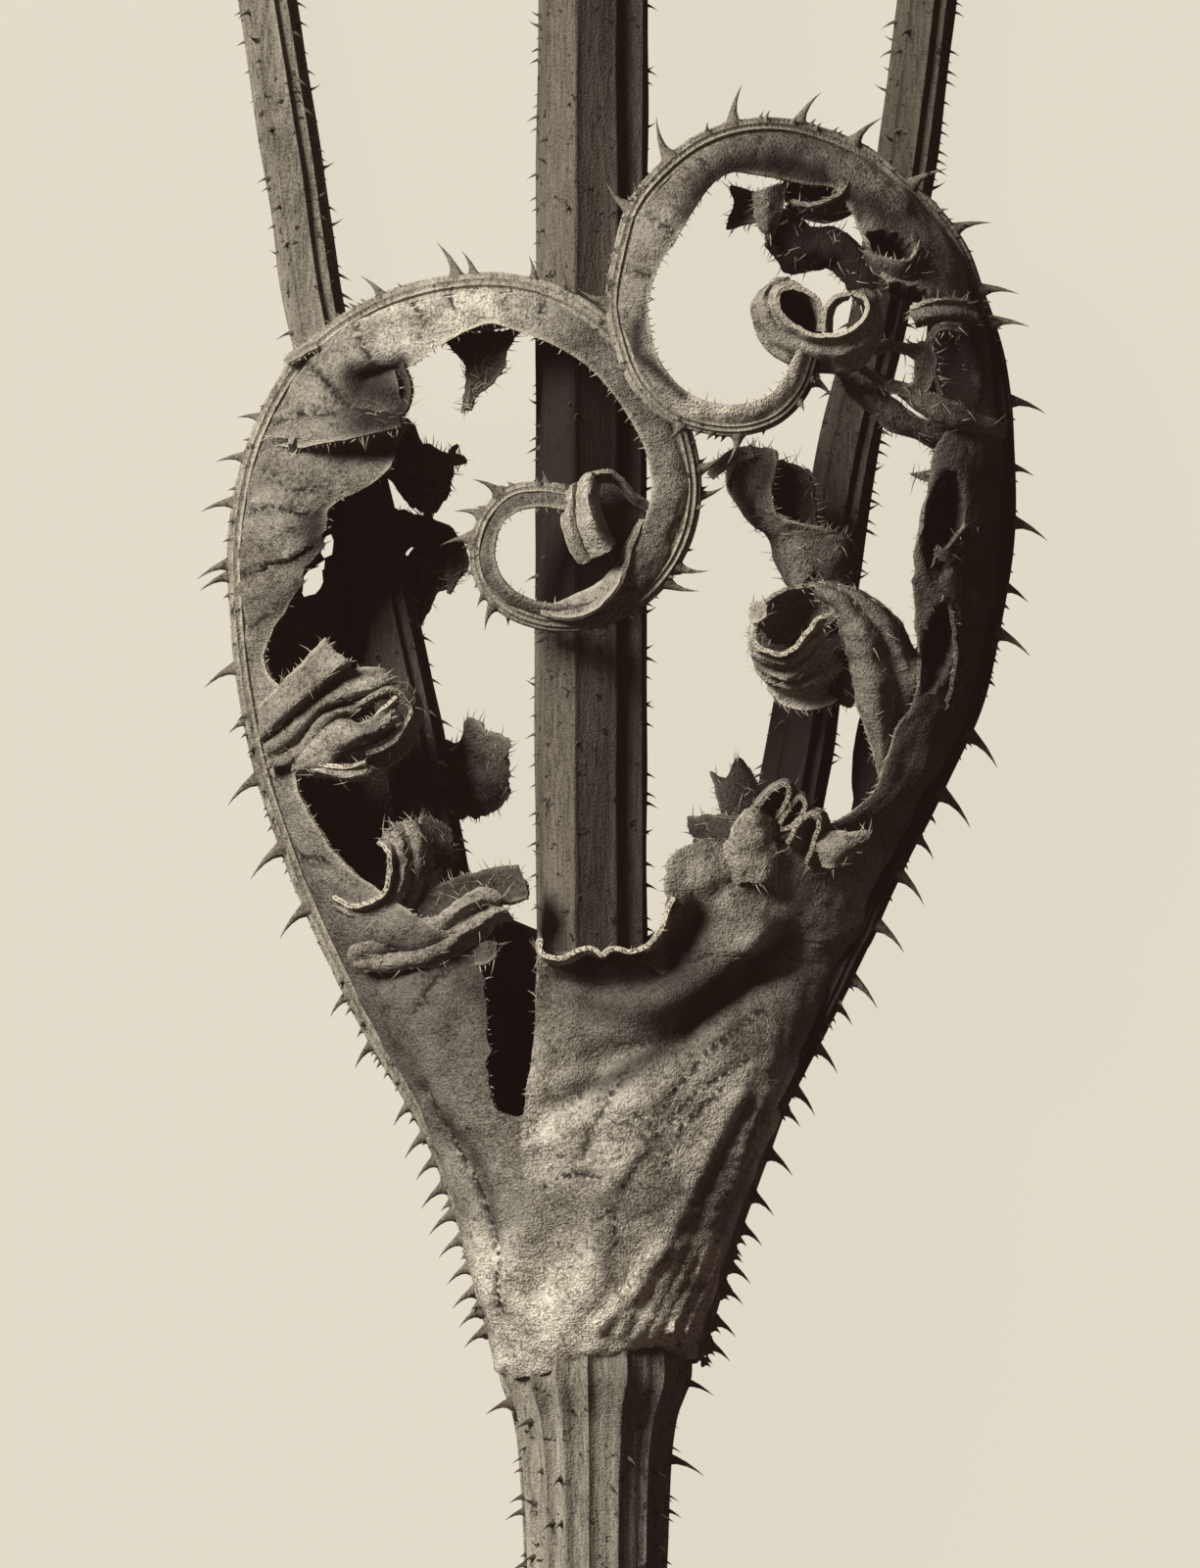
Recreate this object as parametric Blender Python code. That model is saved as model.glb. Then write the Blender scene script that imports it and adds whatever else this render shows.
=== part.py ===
"""A dried teasel stem with the leaf pair of one node, cut above and below it and lying on its back.

The two leaves stand opposite each other. Their bases are grown together into a cup round the stem, their midribs
carry prickles, and their torn lobes and tips are rolled up from drying. A side shoot rises from each leaf's axil.

Shapes are written in millimetres in the plant's own axes: x across the leaf pair, y along the stem from the node
towards the top, and z up from the stem's axis. world() turns them into metres, on a surface at z = 0.
"""

import math
import random

import bmesh
import bpy
from mathutils import Vector

MM = 0.001

# The stem's axis lies this far over the surface, and the model's box is centred on the origin.
AXIS_HEIGHT = 6.99
BOX_CENTRE_X = 1.62
BOX_CENTRE_Y = 30.1

LOWER_CUT_Y = -18.0
UPPER_CUT_Y = 78.0
STEM_RIBS = 8
STEM_RELIEF = 0.035
SHOOT_RIBS = 5
SHOOT_RELIEF = 0.04

# A blade's thickness. The midribs are round, and get thinner over the last part of their length.
BLADE = 0.6
MIDRIB_RADIUS = 0.55
MIDRIB_TAPER = 0.35
TAPER_STARTS = 0.6

# A prickle's foot reaches this far into what it grows from, and its tip is bent by this share of its length.
PRICKLE_SINK = 0.45
PRICKLE_BEND = 0.42
PRICKLE_SEED = 7

# How finely the shapes are divided: sides of the rods, steps over the blades, and millimetres between rows.
STEM_SIDES = 24
SHOOT_SIDES = 15
MIDRIB_SIDES = 6
UPPER_BLADE_STEPS = 4
LOWER_BLADE_STEPS = 3
LOBE_STEPS = 2
ROLL_STEP_DEGREES = 36
LEAF_ROW_SPACING = 1.7
LOBE_ROW_SPACING = 1.2
STEM_ROW_SPACING = 6.0

STEM_BROWN = (0.19, 0.165, 0.125, 1.0)
SHOOT_BROWN = (0.21, 0.185, 0.14, 1.0)
LEAF_FAWN = (0.33, 0.295, 0.235, 1.0)
LEAF_FAWN_SHADED = (0.29, 0.26, 0.205, 1.0)

# Centres and radii of the stem and the two side shoots: x, y, z, radius.
MAIN_STEM = [
    (0.1, LOWER_CUT_Y, 0.0, 3.55),
    (0.1, -10.0, 0.0, 3.6),
    (0.1, -5.0, 0.0, 3.8),
    (0.1, -2.0, 0.0, 4.25),
    (0.1, -0.5, 0.0, 4.75),
    (0.1, -0.1, 0.0, 4.85),
    (0.1, 0.1, 0.0, 3.65),
    (0.1, 2.5, 0.0, 3.3),
    (0.1, 7.0, 0.0, 2.95),
    (0.0, 30.0, 0.0, 2.9),
    (0.0, 50.0, 0.0, 2.85),
    (0.1, UPPER_CUT_Y, 0.0, 2.8),
]
LEFT_SHOOT = [
    (-4.4, 7.0, 0.0, 0.8),
    (-5.0, 9.5, -0.2, 1.15),
    (-6.0, 14.0, -0.6, 1.45),
    (-7.2, 21.0, -1.1, 1.6),
    (-8.7, 30.0, -1.9, 1.55),
    (-9.7, 35.0, -2.35, 1.55),
    (-11.9, 45.0, -3.3, 1.5),
    (-14.1, 54.0, -4.1, 1.45),
    (-15.3, 62.0, -4.7, 1.45),
    (-16.6, 70.0, -5.2, 1.43),
    (-17.8, UPPER_CUT_Y, -5.56, 1.42),
]
RIGHT_SHOOT = [
    (4.6, 7.0, 0.0, 0.8),
    (5.3, 9.5, -0.2, 1.15),
    (6.7, 14.0, -0.6, 1.45),
    (8.6, 21.0, -1.1, 1.6),
    (10.5, 31.0, -2.0, 1.65),
    (11.7, 38.5, -2.7, 1.6),
    (13.0, 46.5, -3.45, 1.5),
    (14.7, 54.0, -4.1, 1.45),
    (16.0, 61.0, -4.65, 1.45),
    (17.15, 70.0, -5.2, 1.43),
    (18.1, UPPER_CUT_Y, -5.56, 1.42),
]

# A leaf's stations, from its base to its tip. Each holds a point of the midrib, the blade's edge on the upper side
# with the height of its arch, and the edge on the lower side with the height of that arch.
LEFT_LEAF = [
    (-4.65, 0.6, 0.0, -3.15, 0.5, 3.95, 1.6, 0.1, 0.5, -4.8, 3.3),
    (-5.75, 5.1, 0.0, -3.4, 5.0, 4.55, 1.9, 0.1, 5.1, -6.2, 4.2),
    (-6.6, 8.2, 0.0, -3.7, 8.2, 4.8, 2.0, 0.1, 8.2, -6.7, 4.6),
    (-7.65, 11.2, 0.0, -4.15, 11.3, 5.0, 2.0, 0.1, 11.2, -6.6, 4.7),
    (-8.9, 13.8, 0.0, -4.9, 13.7, 5.2, 2.0, 0.1, 14.0, -6.3, 4.8),
    (-10.9, 17.2, 0.0, -5.3, 17.0, 5.5, 2.0, 0.0, 17.2, -5.9, 4.8),
    (-12.6, 20.6, 0.0, -5.6, 20.3, 5.4, 2.0, -2.6, 20.6, -5.5, 4.0),
    (-13.5, 22.5, 0.0, -7.4, 22.3, 5.1, 1.8, -4.0, 23.0, -5.6, 3.0),
    (-14.2, 24.1, 0.0, -9.4, 23.6, 4.4, 1.4, -5.4, 24.4, -5.7, 2.6),
    (-14.95, 25.9, 0.0, -13.0, 26.4, 2.4, 0.6, -8.4, 26.2, -5.7, 2.0),
    (-16.4, 30.1, 0.0, -15.0, 30.4, 1.6, 0.3, -8.6, 30.2, -5.7, 2.0),
    (-17.1, 33.0, 0.0, -14.3, 33.2, 2.6, 0.8, -9.0, 33.0, -5.7, 2.0),
    (-17.6, 36.0, 0.0, -16.7, 36.2, 1.0, 0.2, -9.6, 35.8, -5.7, 2.0),
    (-17.85, 38.8, 0.0, -15.3, 39.4, 2.4, 0.8, -9.8, 38.8, -5.7, 2.2),
    (-17.95, 41.8, 0.0, -13.5, 42.2, 3.4, 1.8, -10.4, 42.0, -5.8, 2.4),
    (-17.7, 44.6, 0.0, -11.3, 44.8, 3.8, 2.6, -10.6, 44.8, -5.9, 2.6),
    (-17.3, 46.4, 0.0, -10.3, 46.3, 3.6, 3.0, -13.0, 46.3, -5.5, 1.8),
    (-16.8, 47.7, 0.0, -9.9, 47.2, 3.4, 3.2, -15.6, 47.6, -1.4, 0.2),
    (-15.9, 49.6, 0.0, -9.6, 48.8, 3.0, 3.2, -14.9, 49.2, -1.2, 0.2),
    (-14.55, 51.6, 0.2, -10.0, 50.8, 3.6, 2.2, -13.7, 50.9, -0.8, 0.2),
    (-12.7, 53.2, 0.8, -9.5, 51.2, 3.9, 1.4, -12.0, 52.3, 0.0, 0.2),
    (-10.5, 54.4, 1.6, -8.7, 51.6, 4.2, 1.1, -9.9, 53.1, 0.9, 0.2),
    (-8.2, 55.1, 2.7, -7.0, 52.7, 4.7, 0.9, -7.8, 53.2, 1.8, 0.3),
    (-5.7, 55.4, 3.7, -5.2, 53.4, 5.2, 0.8, -5.5, 53.1, 2.7, 0.3),
    (-3.4, 55.2, 4.4, -3.3, 52.9, 5.5, 0.8, -3.5, 53.3, 3.9, 0.2),
    (-1.4, 54.5, 4.8, -2.0, 52.4, 5.8, 0.8, -2.0, 52.9, 4.3, 0.2),
    (0.15, 53.5, 5.0, -0.5, 51.5, 5.9, 0.8, -0.5, 52.1, 4.5, 0.2),
    (1.9, 51.8, 5.0, 0.9, 50.1, 5.9, 0.8, 1.0, 50.8, 4.5, 0.2),
    (3.6, 49.8, 5.0, 1.9, 48.6, 5.9, 0.9, 2.3, 49.0, 4.5, 0.2),
    (4.6, 47.5, 5.0, 2.7, 47.1, 5.8, 0.8, 3.3, 47.2, 4.5, 0.2),
    (5.0, 45.0, 4.9, 3.1, 45.1, 5.7, 0.8, 3.8, 45.0, 4.4, 0.2),
    (4.6, 42.7, 4.8, 2.6, 43.2, 5.8, 0.7, 3.6, 43.0, 4.3, 0.2),
    (3.6, 40.8, 4.7, 2.0, 41.6, 6.0, 0.5, 2.9, 41.4, 4.3, 0.2),
    (2.1, 39.35, 4.7, 1.2, 40.2, 6.1, 0.4, 1.6, 40.0, 4.3, 0.2),
    (-0.1, 38.4, 4.8, -0.2, 39.3, 6.0, 0.3, -0.2, 39.2, 4.5, 0.2),
    (-2.6, 38.4, 4.9, -2.4, 39.2, 5.7, 0.3, -2.4, 39.1, 4.6, 0.2),
    (-4.7, 39.4, 5.0, -4.1, 40.0, 5.7, 0.3, -4.2, 39.9, 4.7, 0.2),
    (-5.7, 41.2, 5.1, -4.9, 41.4, 5.8, 0.3, -5.0, 41.4, 4.8, 0.2),
    (-5.4, 43.2, 5.2, -4.7, 42.9, 5.9, 0.3, -4.8, 43.0, 4.9, 0.2),
    (-4.2, 44.6, 5.3, -3.9, 43.8, 6.0, 0.3, -3.9, 43.9, 5.0, 0.2),
    (-2.7, 44.9, 5.3, -2.6, 44.1, 6.0, 0.3, -2.6, 44.2, 5.0, 0.2),
    (-1.2, 44.7, 5.2, -1.3, 43.9, 5.9, 0.3, -1.3, 44.0, 4.9, 0.2),
]
RIGHT_LEAF = [
    (5.35, 0.6, 0.0, -2.8, 0.5, 4.1, 5.2, 0.45, 0.5, -4.8, 3.2),
    (6.4, 4.6, 0.0, -3.05, 4.7, 4.65, 5.8, 0.45, 4.7, -6.2, 4.1),
    (7.5, 8.2, 0.0, -3.35, 8.2, 4.95, 6.2, 0.45, 8.2, -6.7, 4.6),
    (8.5, 11.0, 0.0, -3.8, 11.2, 5.2, 6.4, 0.45, 11.2, -6.6, 4.8),
    (9.5, 13.8, 0.0, -3.4, 13.6, 5.0, 6.2, 0.45, 14.0, -6.3, 4.9),
    (11.0, 16.8, 0.0, -2.9, 16.8, 4.5, 5.8, 0.5, 17.0, -5.9, 4.9),
    (12.4, 19.6, 0.0, -2.75, 20.0, 3.9, 5.0, 1.2, 19.8, -5.4, 4.7),
    (12.9, 20.7, 0.0, -2.8, 21.7, 3.6, 4.6, 1.8, 20.8, -5.2, 4.5),
    (13.2, 21.3, 0.0, -1.2, 21.2, 3.8, 4.2, 2.2, 21.3, -5.1, 4.4),
    (13.5, 21.9, 0.0, 0.8, 21.3, 3.9, 3.8, 2.6, 21.9, -5.0, 4.3),
    (13.8, 22.5, 0.0, 2.7, 21.6, 4.1, 3.4, 3.0, 22.3, -4.9, 4.2),
    (14.2, 23.4, 0.0, 3.8, 23.3, 4.6, 3.0, 4.4, 23.0, -4.8, 3.8),
    (15.2, 25.6, 0.0, 3.8, 25.8, 5.2, 2.6, 8.6, 24.6, -4.4, 2.2),
    (16.0, 27.2, 0.0, 5.4, 27.2, 5.0, 2.2, 11.6, 26.6, -3.8, 1.4),
    (16.9, 28.9, 0.0, 8.4, 27.2, 4.6, 2.0, 13.3, 28.6, -3.2, 0.8),
    (17.7, 30.6, 0.0, 12.0, 27.9, 3.6, 1.6, 13.3, 30.4, -3.0, 0.8),
    (18.5, 32.2, 0.0, 14.3, 29.6, 2.4, 1.2, 13.5, 32.2, -3.0, 0.8),
    (19.2, 33.8, 0.0, 15.4, 32.4, 2.0, 0.9, 14.0, 33.9, -3.0, 0.8),
    (19.7, 35.4, 0.0, 16.6, 35.0, 1.8, 0.8, 15.6, 35.7, -2.6, 0.6),
    (20.25, 38.1, 0.0, 16.5, 38.3, 1.8, 0.9, 17.4, 38.4, -1.8, 0.4),
    (20.75, 41.0, 0.0, 16.4, 41.2, 2.2, 1.1, 17.6, 41.2, -2.0, 0.4),
    (21.0, 44.0, 0.0, 17.0, 44.4, 2.6, 1.3, 17.5, 44.2, -2.4, 0.6),
    (20.9, 47.2, 0.0, 17.6, 47.3, 2.6, 1.2, 17.4, 47.4, -2.8, 0.8),
    (20.8, 49.2, 0.0, 19.6, 49.4, 1.2, 0.3, 17.2, 49.4, -3.0, 0.9),
    (20.45, 51.6, 0.0, 19.5, 51.7, 0.9, 0.2, 17.2, 51.6, -2.9, 0.8),
    (19.95, 53.4, 0.0, 18.4, 53.8, 1.8, 0.5, 17.2, 53.4, -2.6, 0.7),
    (19.45, 54.8, 0.0, 15.8, 54.6, 3.2, 1.3, 17.2, 54.8, -2.1, 0.4),
    (18.55, 57.2, 0.1, 14.3, 57.0, 4.0, 1.8, 17.1, 56.8, -1.1, 0.2),
    (17.15, 59.1, 0.4, 13.3, 59.0, 4.2, 1.8, 16.2, 58.4, -0.7, 0.2),
    (15.7, 60.35, 0.9, 12.6, 60.1, 4.3, 1.6, 14.9, 59.6, -0.2, 0.2),
    (14.1, 61.75, 1.5, 11.8, 60.4, 4.5, 1.3, 13.5, 60.7, 0.6, 0.2),
    (12.1, 62.7, 2.3, 10.4, 60.6, 5.0, 1.1, 11.8, 61.4, 1.5, 0.2),
    (9.9, 63.3, 3.3, 8.9, 60.9, 5.6, 0.9, 9.7, 61.9, 2.6, 0.2),
    (7.8, 63.25, 4.4, 7.2, 61.1, 6.2, 0.8, 7.8, 61.9, 3.7, 0.2),
    (5.8, 62.6, 5.4, 6.0, 60.3, 6.9, 0.8, 6.1, 61.3, 4.8, 0.2),
    (4.0, 61.3, 6.2, 5.0, 58.9, 7.6, 0.8, 4.8, 60.2, 5.7, 0.2),
    (2.4, 59.4, 6.9, 4.2, 57.5, 8.0, 0.8, 3.5, 58.7, 6.4, 0.2),
    (1.65, 57.0, 7.3, 3.4, 56.3, 8.3, 0.7, 2.7, 56.8, 6.8, 0.2),
    (1.25, 54.5, 7.6, 2.9, 54.5, 8.4, 0.6, 2.3, 54.5, 7.1, 0.2),
    (1.6, 52.5, 7.6, 3.0, 53.0, 8.4, 0.5, 2.5, 52.8, 7.1, 0.2),
    (2.4, 50.5, 7.6, 3.5, 51.4, 8.4, 0.4, 3.1, 51.1, 7.1, 0.2),
    (3.9, 49.0, 7.5, 4.6, 50.1, 8.3, 0.4, 4.4, 49.8, 7.0, 0.2),
    (5.8, 48.3, 7.4, 6.0, 49.4, 8.1, 0.4, 5.9, 49.1, 6.9, 0.2),
    (7.7, 48.2, 7.2, 7.6, 49.3, 7.9, 0.4, 7.6, 49.0, 6.7, 0.2),
    (9.4, 48.8, 7.0, 9.0, 49.8, 7.6, 0.3, 9.1, 49.6, 6.5, 0.2),
    (10.6, 50.1, 6.8, 9.8, 50.8, 7.4, 0.3, 9.9, 50.7, 6.4, 0.2),
    (11.2, 51.7, 6.7, 10.5, 52.1, 7.3, 0.3, 10.6, 52.0, 6.3, 0.2),
]

# Torn lobes that lie open. Each row crosses the lobe: a point of one edge, a point of the other, and its arch.
LEFT_LOBES = {
    "folded_flap": [
        (-16.9, 35.0, 1.2, -16.6, 31.6, 1.2, 0.4),
        (-15.2, 36.0, 2.6, -15.0, 33.2, 2.6, 0.5),
        (-13.7, 36.6, 3.8, -13.2, 34.6, 3.8, 0.5),
        (-12.6, 36.9, 4.4, -11.7, 35.8, 4.4, 0.3),
    ],
    "overlapping_fold": [
        (-16.4, 48.6, 1.6, -16.1, 47.2, 2.2, 0.1),
        (-14.4, 48.9, 4.2, -14.0, 47.5, 4.9, 0.1),
        (-12.0, 48.9, 4.9, -11.6, 47.8, 5.6, 0.1),
        (-10.0, 48.7, 3.9, -9.9, 47.9, 4.6, 0.1),
    ],
    "hanging_lobe": [
        (-8.4, 53.2, 2.4, -3.8, 53.6, 4.2, 0.1),
        (-6.8, 51.7, 2.6, -4.5, 52.0, 3.4, 0.2),
        (-6.25, 50.7, 2.6, -4.8, 50.8, 3.0, 0.2),
        (-6.25, 49.8, 2.5, -5.5, 50.1, 2.8, 0.1),
        (-6.7, 48.9, 2.5, -6.1, 49.1, 2.6, 0.1),
    ],
    "curled_strap": [
        (-10.6, 51.6, 3.0, -9.8, 52.2, 3.4, 0.1),
        (-9.9, 50.8, 2.6, -9.2, 50.8, 2.8, 0.1),
        (-9.9, 49.8, 2.6, -9.2, 49.5, 2.8, 0.1),
        (-10.5, 48.6, 3.3, -9.9, 48.3, 3.3, 0.1),
    ],
    "upper_dark_lobe": [
        (-9.9, 48.2, -4.4, -8.6, 48.0, -3.0, 0.1),
        (-9.7, 47.2, -4.8, -7.5, 47.1, -2.4, 0.2),
        (-10.1, 46.0, -5.2, -7.1, 46.3, -2.2, 0.3),
        (-10.7, 44.4, -5.8, -7.7, 44.9, -2.4, 0.3),
        (-11.1, 43.0, -5.8, -8.3, 43.4, -2.8, 0.3),
    ],
    "middle_dark_lobe": [
        (-10.9, 43.9, -5.8, -8.2, 43.8, -3.4, 0.3),
        (-10.8, 42.2, -5.8, -6.8, 42.3, -2.4, 0.5),
        (-10.4, 40.6, -5.7, -6.4, 40.9, -2.2, 0.5),
        (-10.1, 39.0, -5.7, -7.4, 39.4, -2.8, 0.4),
        (-10.0, 37.8, -5.7, -8.9, 37.7, -3.8, 0.2),
    ],
    "lower_dark_lobe": [
        (-9.0, 32.4, -5.5, -9.0, 28.4, -5.5, 0.3),
        (-7.4, 32.1, -4.2, -7.4, 28.3, -4.2, 0.4),
        (-6.3, 33.6, -3.2, -6.2, 28.4, -3.0, 0.4),
        (-5.1, 32.8, -2.5, -5.1, 28.6, -2.2, 0.3),
        (-4.1, 32.3, -2.2, -4.2, 29.2, -2.0, 0.2),
    ],
    "cup_lobe_back": [
        (-9.6, 24.4, 3.6, -9.6, 22.6, 4.2, 0.1),
        (-7.4, 25.3, 3.2, -7.4, 23.0, 4.2, 0.2),
        (-5.6, 25.9, 3.2, -5.4, 23.8, 4.2, 0.2),
        (-4.2, 26.0, 3.4, -4.0, 24.1, 4.0, 0.2),
        (-3.7, 25.2, 3.6, -3.7, 24.0, 3.8, 0.1),
    ],
    "cup_lobe_front": [
        (-11.2, 22.6, 3.0, -10.6, 21.0, 3.8, 0.2),
        (-8.8, 23.0, 4.9, -8.4, 21.5, 5.2, 0.5),
        (-6.9, 23.9, 5.4, -6.7, 22.6, 5.9, 0.6),
        (-5.4, 24.7, 5.2, -5.1, 23.7, 5.5, 0.5),
        (-4.6, 24.6, 4.4, -4.4, 24.1, 4.6, 0.2),
    ],
    "behind_the_curl": [
        (-9.6, 27.6, 1.6, -9.6, 25.2, 1.6, 0.2),
        (-8.4, 28.2, 0.6, -8.4, 25.6, 0.6, 0.3),
        (-7.2, 27.6, 0.4, -7.1, 25.9, 0.4, 0.2),
    ],
}
RIGHT_LOBES = {
    "ring_side_strap": [
        (7.1, 60.2, 3.7, 7.0, 58.2, 3.7, 0.1),
        (8.2, 59.8, 4.3, 8.2, 58.6, 4.3, 0.1),
        (8.7, 60.0, 5.0, 8.8, 57.6, 5.0, 0.3),
        (9.6, 59.6, 4.4, 9.6, 57.9, 4.4, 0.3),
        (10.3, 59.0, 3.2, 10.3, 56.7, 3.2, 0.1),
        (11.9, 58.7, 2.8, 11.7, 56.5, 2.8, 0.1),
        (13.4, 58.0, 3.2, 13.3, 55.8, 3.2, 0.1),
        (15.4, 57.4, 4.0, 15.4, 55.4, 4.0, 0.1),
    ],
    "long_strap": [
        (12.9, 51.0, 4.2, 13.2, 50.1, 4.2, 0.1),
        (14.6, 50.8, 3.9, 14.7, 49.0, 3.9, 0.3),
        (16.8, 50.0, 3.2, 16.5, 47.3, 3.2, 0.4),
        (18.8, 48.8, 2.2, 18.9, 46.6, 2.2, 0.4),
        (20.5, 48.0, 0.8, 20.5, 46.2, 0.8, 0.1),
    ],
    "upper_flap": [
        (14.6, 52.7, 3.4, 15.0, 50.4, 3.8, 0.3),
        (15.8, 52.4, 3.0, 16.3, 49.6, 3.4, 0.3),
        (17.3, 52.1, 2.2, 17.5, 49.3, 2.9, 0.3),
    ],
    "folded_ends": [
        (16.3, 54.6, 4.0, 16.3, 53.5, 4.2, 0.3),
        (17.8, 54.8, 2.9, 17.8, 53.6, 3.1, 0.3),
        (19.2, 54.6, 0.9, 19.2, 53.2, 0.9, 0.1),
    ],
    "roll_arm": [
        (11.6, 40.1, 3.4, 12.2, 37.9, 3.9, 0.4),
        (13.3, 39.7, 3.5, 13.2, 36.4, 4.1, 0.8),
        (15.0, 38.5, 3.0, 13.6, 34.4, 3.7, 0.9),
        (16.3, 36.8, 2.3, 13.9, 32.4, 3.1, 0.8),
        (17.2, 35.0, 1.8, 14.3, 30.5, 2.5, 0.6),
        (17.5, 33.0, 1.4, 14.7, 29.3, 2.1, 0.4),
    ],
    "two_pointed_scrap": [
        (6.3, 26.0, 4.4, 8.3, 25.8, 3.8, 0.1),
        (6.6, 27.4, 4.6, 8.6, 27.2, 4.4, 0.1),
        (6.2, 29.5, 3.8, 8.3, 29.6, 3.6, 0.2),
        (6.3, 30.8, 3.2, 7.2, 31.0, 3.2, 0.1),
    ],
    "narrow_tip": [
        (6.0, 45.6, 2.0, 6.5, 45.4, 2.0, 0.1),
        (6.6, 46.6, 2.0, 7.1, 46.3, 2.0, 0.1),
        (8.0, 47.5, 2.6, 8.4, 46.9, 2.6, 0.1),
    ],
    "dark_side_scrap": [
        (4.8, 28.2, 4.2, 5.2, 26.8, 4.9, 0.1),
        (6.1, 28.4, 4.0, 6.5, 26.6, 4.7, 0.1),
        (7.1, 28.5, 4.0, 7.3, 26.0, 4.2, 0.1),
    ],
    "lit_triangle": [
        (7.2, 28.5, 6.0, 7.9, 28.4, 6.0, 0.1),
        (6.8, 26.9, 5.7, 8.2, 26.9, 5.6, 0.2),
        (7.1, 24.9, 4.2, 8.8, 24.9, 3.8, 0.2),
    ],
    "pale_flap": [
        (11.7, 27.3, 5.0, 11.9, 25.8, 5.0, 0.2),
        (12.8, 27.3, 4.6, 12.9, 26.0, 4.6, 0.3),
        (14.3, 27.4, 1.8, 14.3, 26.0, 1.8, 0.2),
    ],
}

# Rolled lobes. A roll has a first and a last angle in degrees, how much it winds inwards over its whole sweep, and
# its stations: the centre, then one half-width and the other of its oval.
LEFT_ROLLS = {
    "upper_loop": (70, 350, 0.0, [
        (-15.8, 33.1, 1.0, 0.9, 0.5, 0.5, -0.3, 0.7, 0.2),
        (-13.2, 33.7, 3.0, 1.2, 0.6, 0.5, -0.4, 0.8, 0.2),
        (-11.0, 34.2, 4.8, 1.3, 0.6, 0.4, -0.4, 0.8, 0.1),
    ]),
    "lower_loop": (60, 350, 0.0, [
        (-15.6, 31.4, 0.8, 1.2, 0.7, 0.5, -0.4, 0.8, 0.2),
        (-13.2, 31.6, 2.0, 1.7, 1.1, 0.5, -0.6, 0.9, 0.2),
        (-11.0, 32.4, 3.3, 1.9, 1.5, 0.4, -0.7, 0.9, 0.1),
    ]),
    "lower_curl": (195, 420, 0.1, [
        (-11.9, 25.7, 3.9, 1.85, 0.0, 0.0, 0.0, 1.85, 0.0),
        (-10.9, 25.6, 2.9, 2.1, 0.0, 0.0, 0.0, 2.1, 0.0),
        (-9.8, 25.7, 1.7, 2.1, 0.0, 0.0, 0.0, 2.1, 0.0),
    ]),
}
RIGHT_ROLLS = {
    "horn": (60, 390, 0.0, [
        (10.2, 38.3, 4.4, 2.0, 0.1, 0.0, 0.0, 1.65, 0.3),
        (10.6, 37.3, 3.1, 2.2, 0.1, 0.0, 0.0, 1.8, 0.3),
        (11.1, 36.2, 1.8, 2.4, 0.1, 0.0, 0.0, 1.9, 0.3),
        (12.0, 35.4, 0.9, 2.2, 0.1, 0.0, 0.0, 1.8, 0.3),
    ]),
    "lobe_by_the_shoot": (60, 300, 0.05, [
        (13.0, 38.6, 1.8, 1.4, 0.0, 0.0, 0.0, 0.0, 1.0),
        (11.5, 41.6, 1.2, 1.7, 0.0, 0.0, 0.0, 0.0, 1.2),
        (10.3, 43.6, 1.3, 2.0, 0.0, 0.0, 0.0, 0.0, 1.5),
        (9.3, 45.3, 1.6, 2.2, 0.0, 0.0, 0.0, 0.0, 1.7),
        (8.8, 46.8, 1.7, 1.6, 0.0, 0.0, 0.0, 0.0, 1.3),
    ]),
    "first_small_loop": (-60, 210, 0.0, [
        (9.3, 29.1, 6.0, 0.7, 0.6, 0.0, -0.5, 0.7, 0.0),
        (9.7, 27.6, 5.5, 0.7, 0.6, 0.0, -0.5, 0.7, 0.0),
        (10.0, 25.6, 3.3, 0.7, 0.6, 0.0, -0.5, 0.7, 0.0),
    ]),
    "last_small_loop": (-60, 210, 0.0, [
        (10.9, 27.7, 5.8, 0.8, 0.4, 0.0, -0.5, 1.1, 0.0),
        (11.3, 26.2, 4.2, 0.8, 0.4, 0.0, -0.5, 1.1, 0.0),
        (11.9, 24.8, 2.4, 0.7, 0.4, 0.0, -0.4, 0.9, 0.0),
    ]),
    "ring_side_pocket": (-140, 140, 0.0, [
        (11.3, 60.1, 5.3, 1.6, -0.1, 0.0, 0.1, 0.8, 0.1),
        (11.9, 59.9, 4.0, 1.7, -0.1, 0.0, 0.1, 0.9, 0.1),
        (12.6, 59.7, 2.8, 1.6, -0.1, 0.0, 0.1, 0.9, 0.1),
    ]),
}

# Prickles of the midribs: x and y of the foot, and the length.
LEFT_PRICKLES = [
    (-17.0, 48.75, 1.1), (-17.6, 46.6, 1.4), (-17.9, 44.5, 1.7), (-18.0, 41.1, 1.7), (-17.6, 36.1, 1.8),
    (-17.2, 33.3, 1.0), (-16.4, 30.6, 2.0), (-15.1, 27.0, 2.1), (-13.8, 24.0, 1.9), (-11.8, 19.6, 1.3),
    (-10.5, 17.0, 1.4), (-8.9, 13.8, 1.2), (-8.1, 12.3, 1.4), (-7.5, 11.0, 1.3), (-7.0, 9.5, 1.5),
    (-6.6, 8.2, 1.5), (-6.2, 6.8, 1.4), (-5.8, 5.4, 1.3), (-5.6, 4.3, 1.3), (-5.3, 3.2, 1.2), (-5.0, 2.1, 1.2),
    (-10.6, 54.4, 1.4), (-6.7, 55.4, 1.9), (-5.9, 55.4, 1.3), (-3.0, 55.1, 1.2), (-1.6, 54.6, 1.1),
    (4.6, 46.0, 1.6), (4.7, 44.7, 1.3), (3.7, 41.4, 1.5), (3.2, 40.7, 1.6), (-4.6, 39.4, 1.2),
    (-5.4, 42.2, 1.5), (-5.0, 43.3, 1.2), (-4.2, 44.2, 1.4),
]
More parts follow.
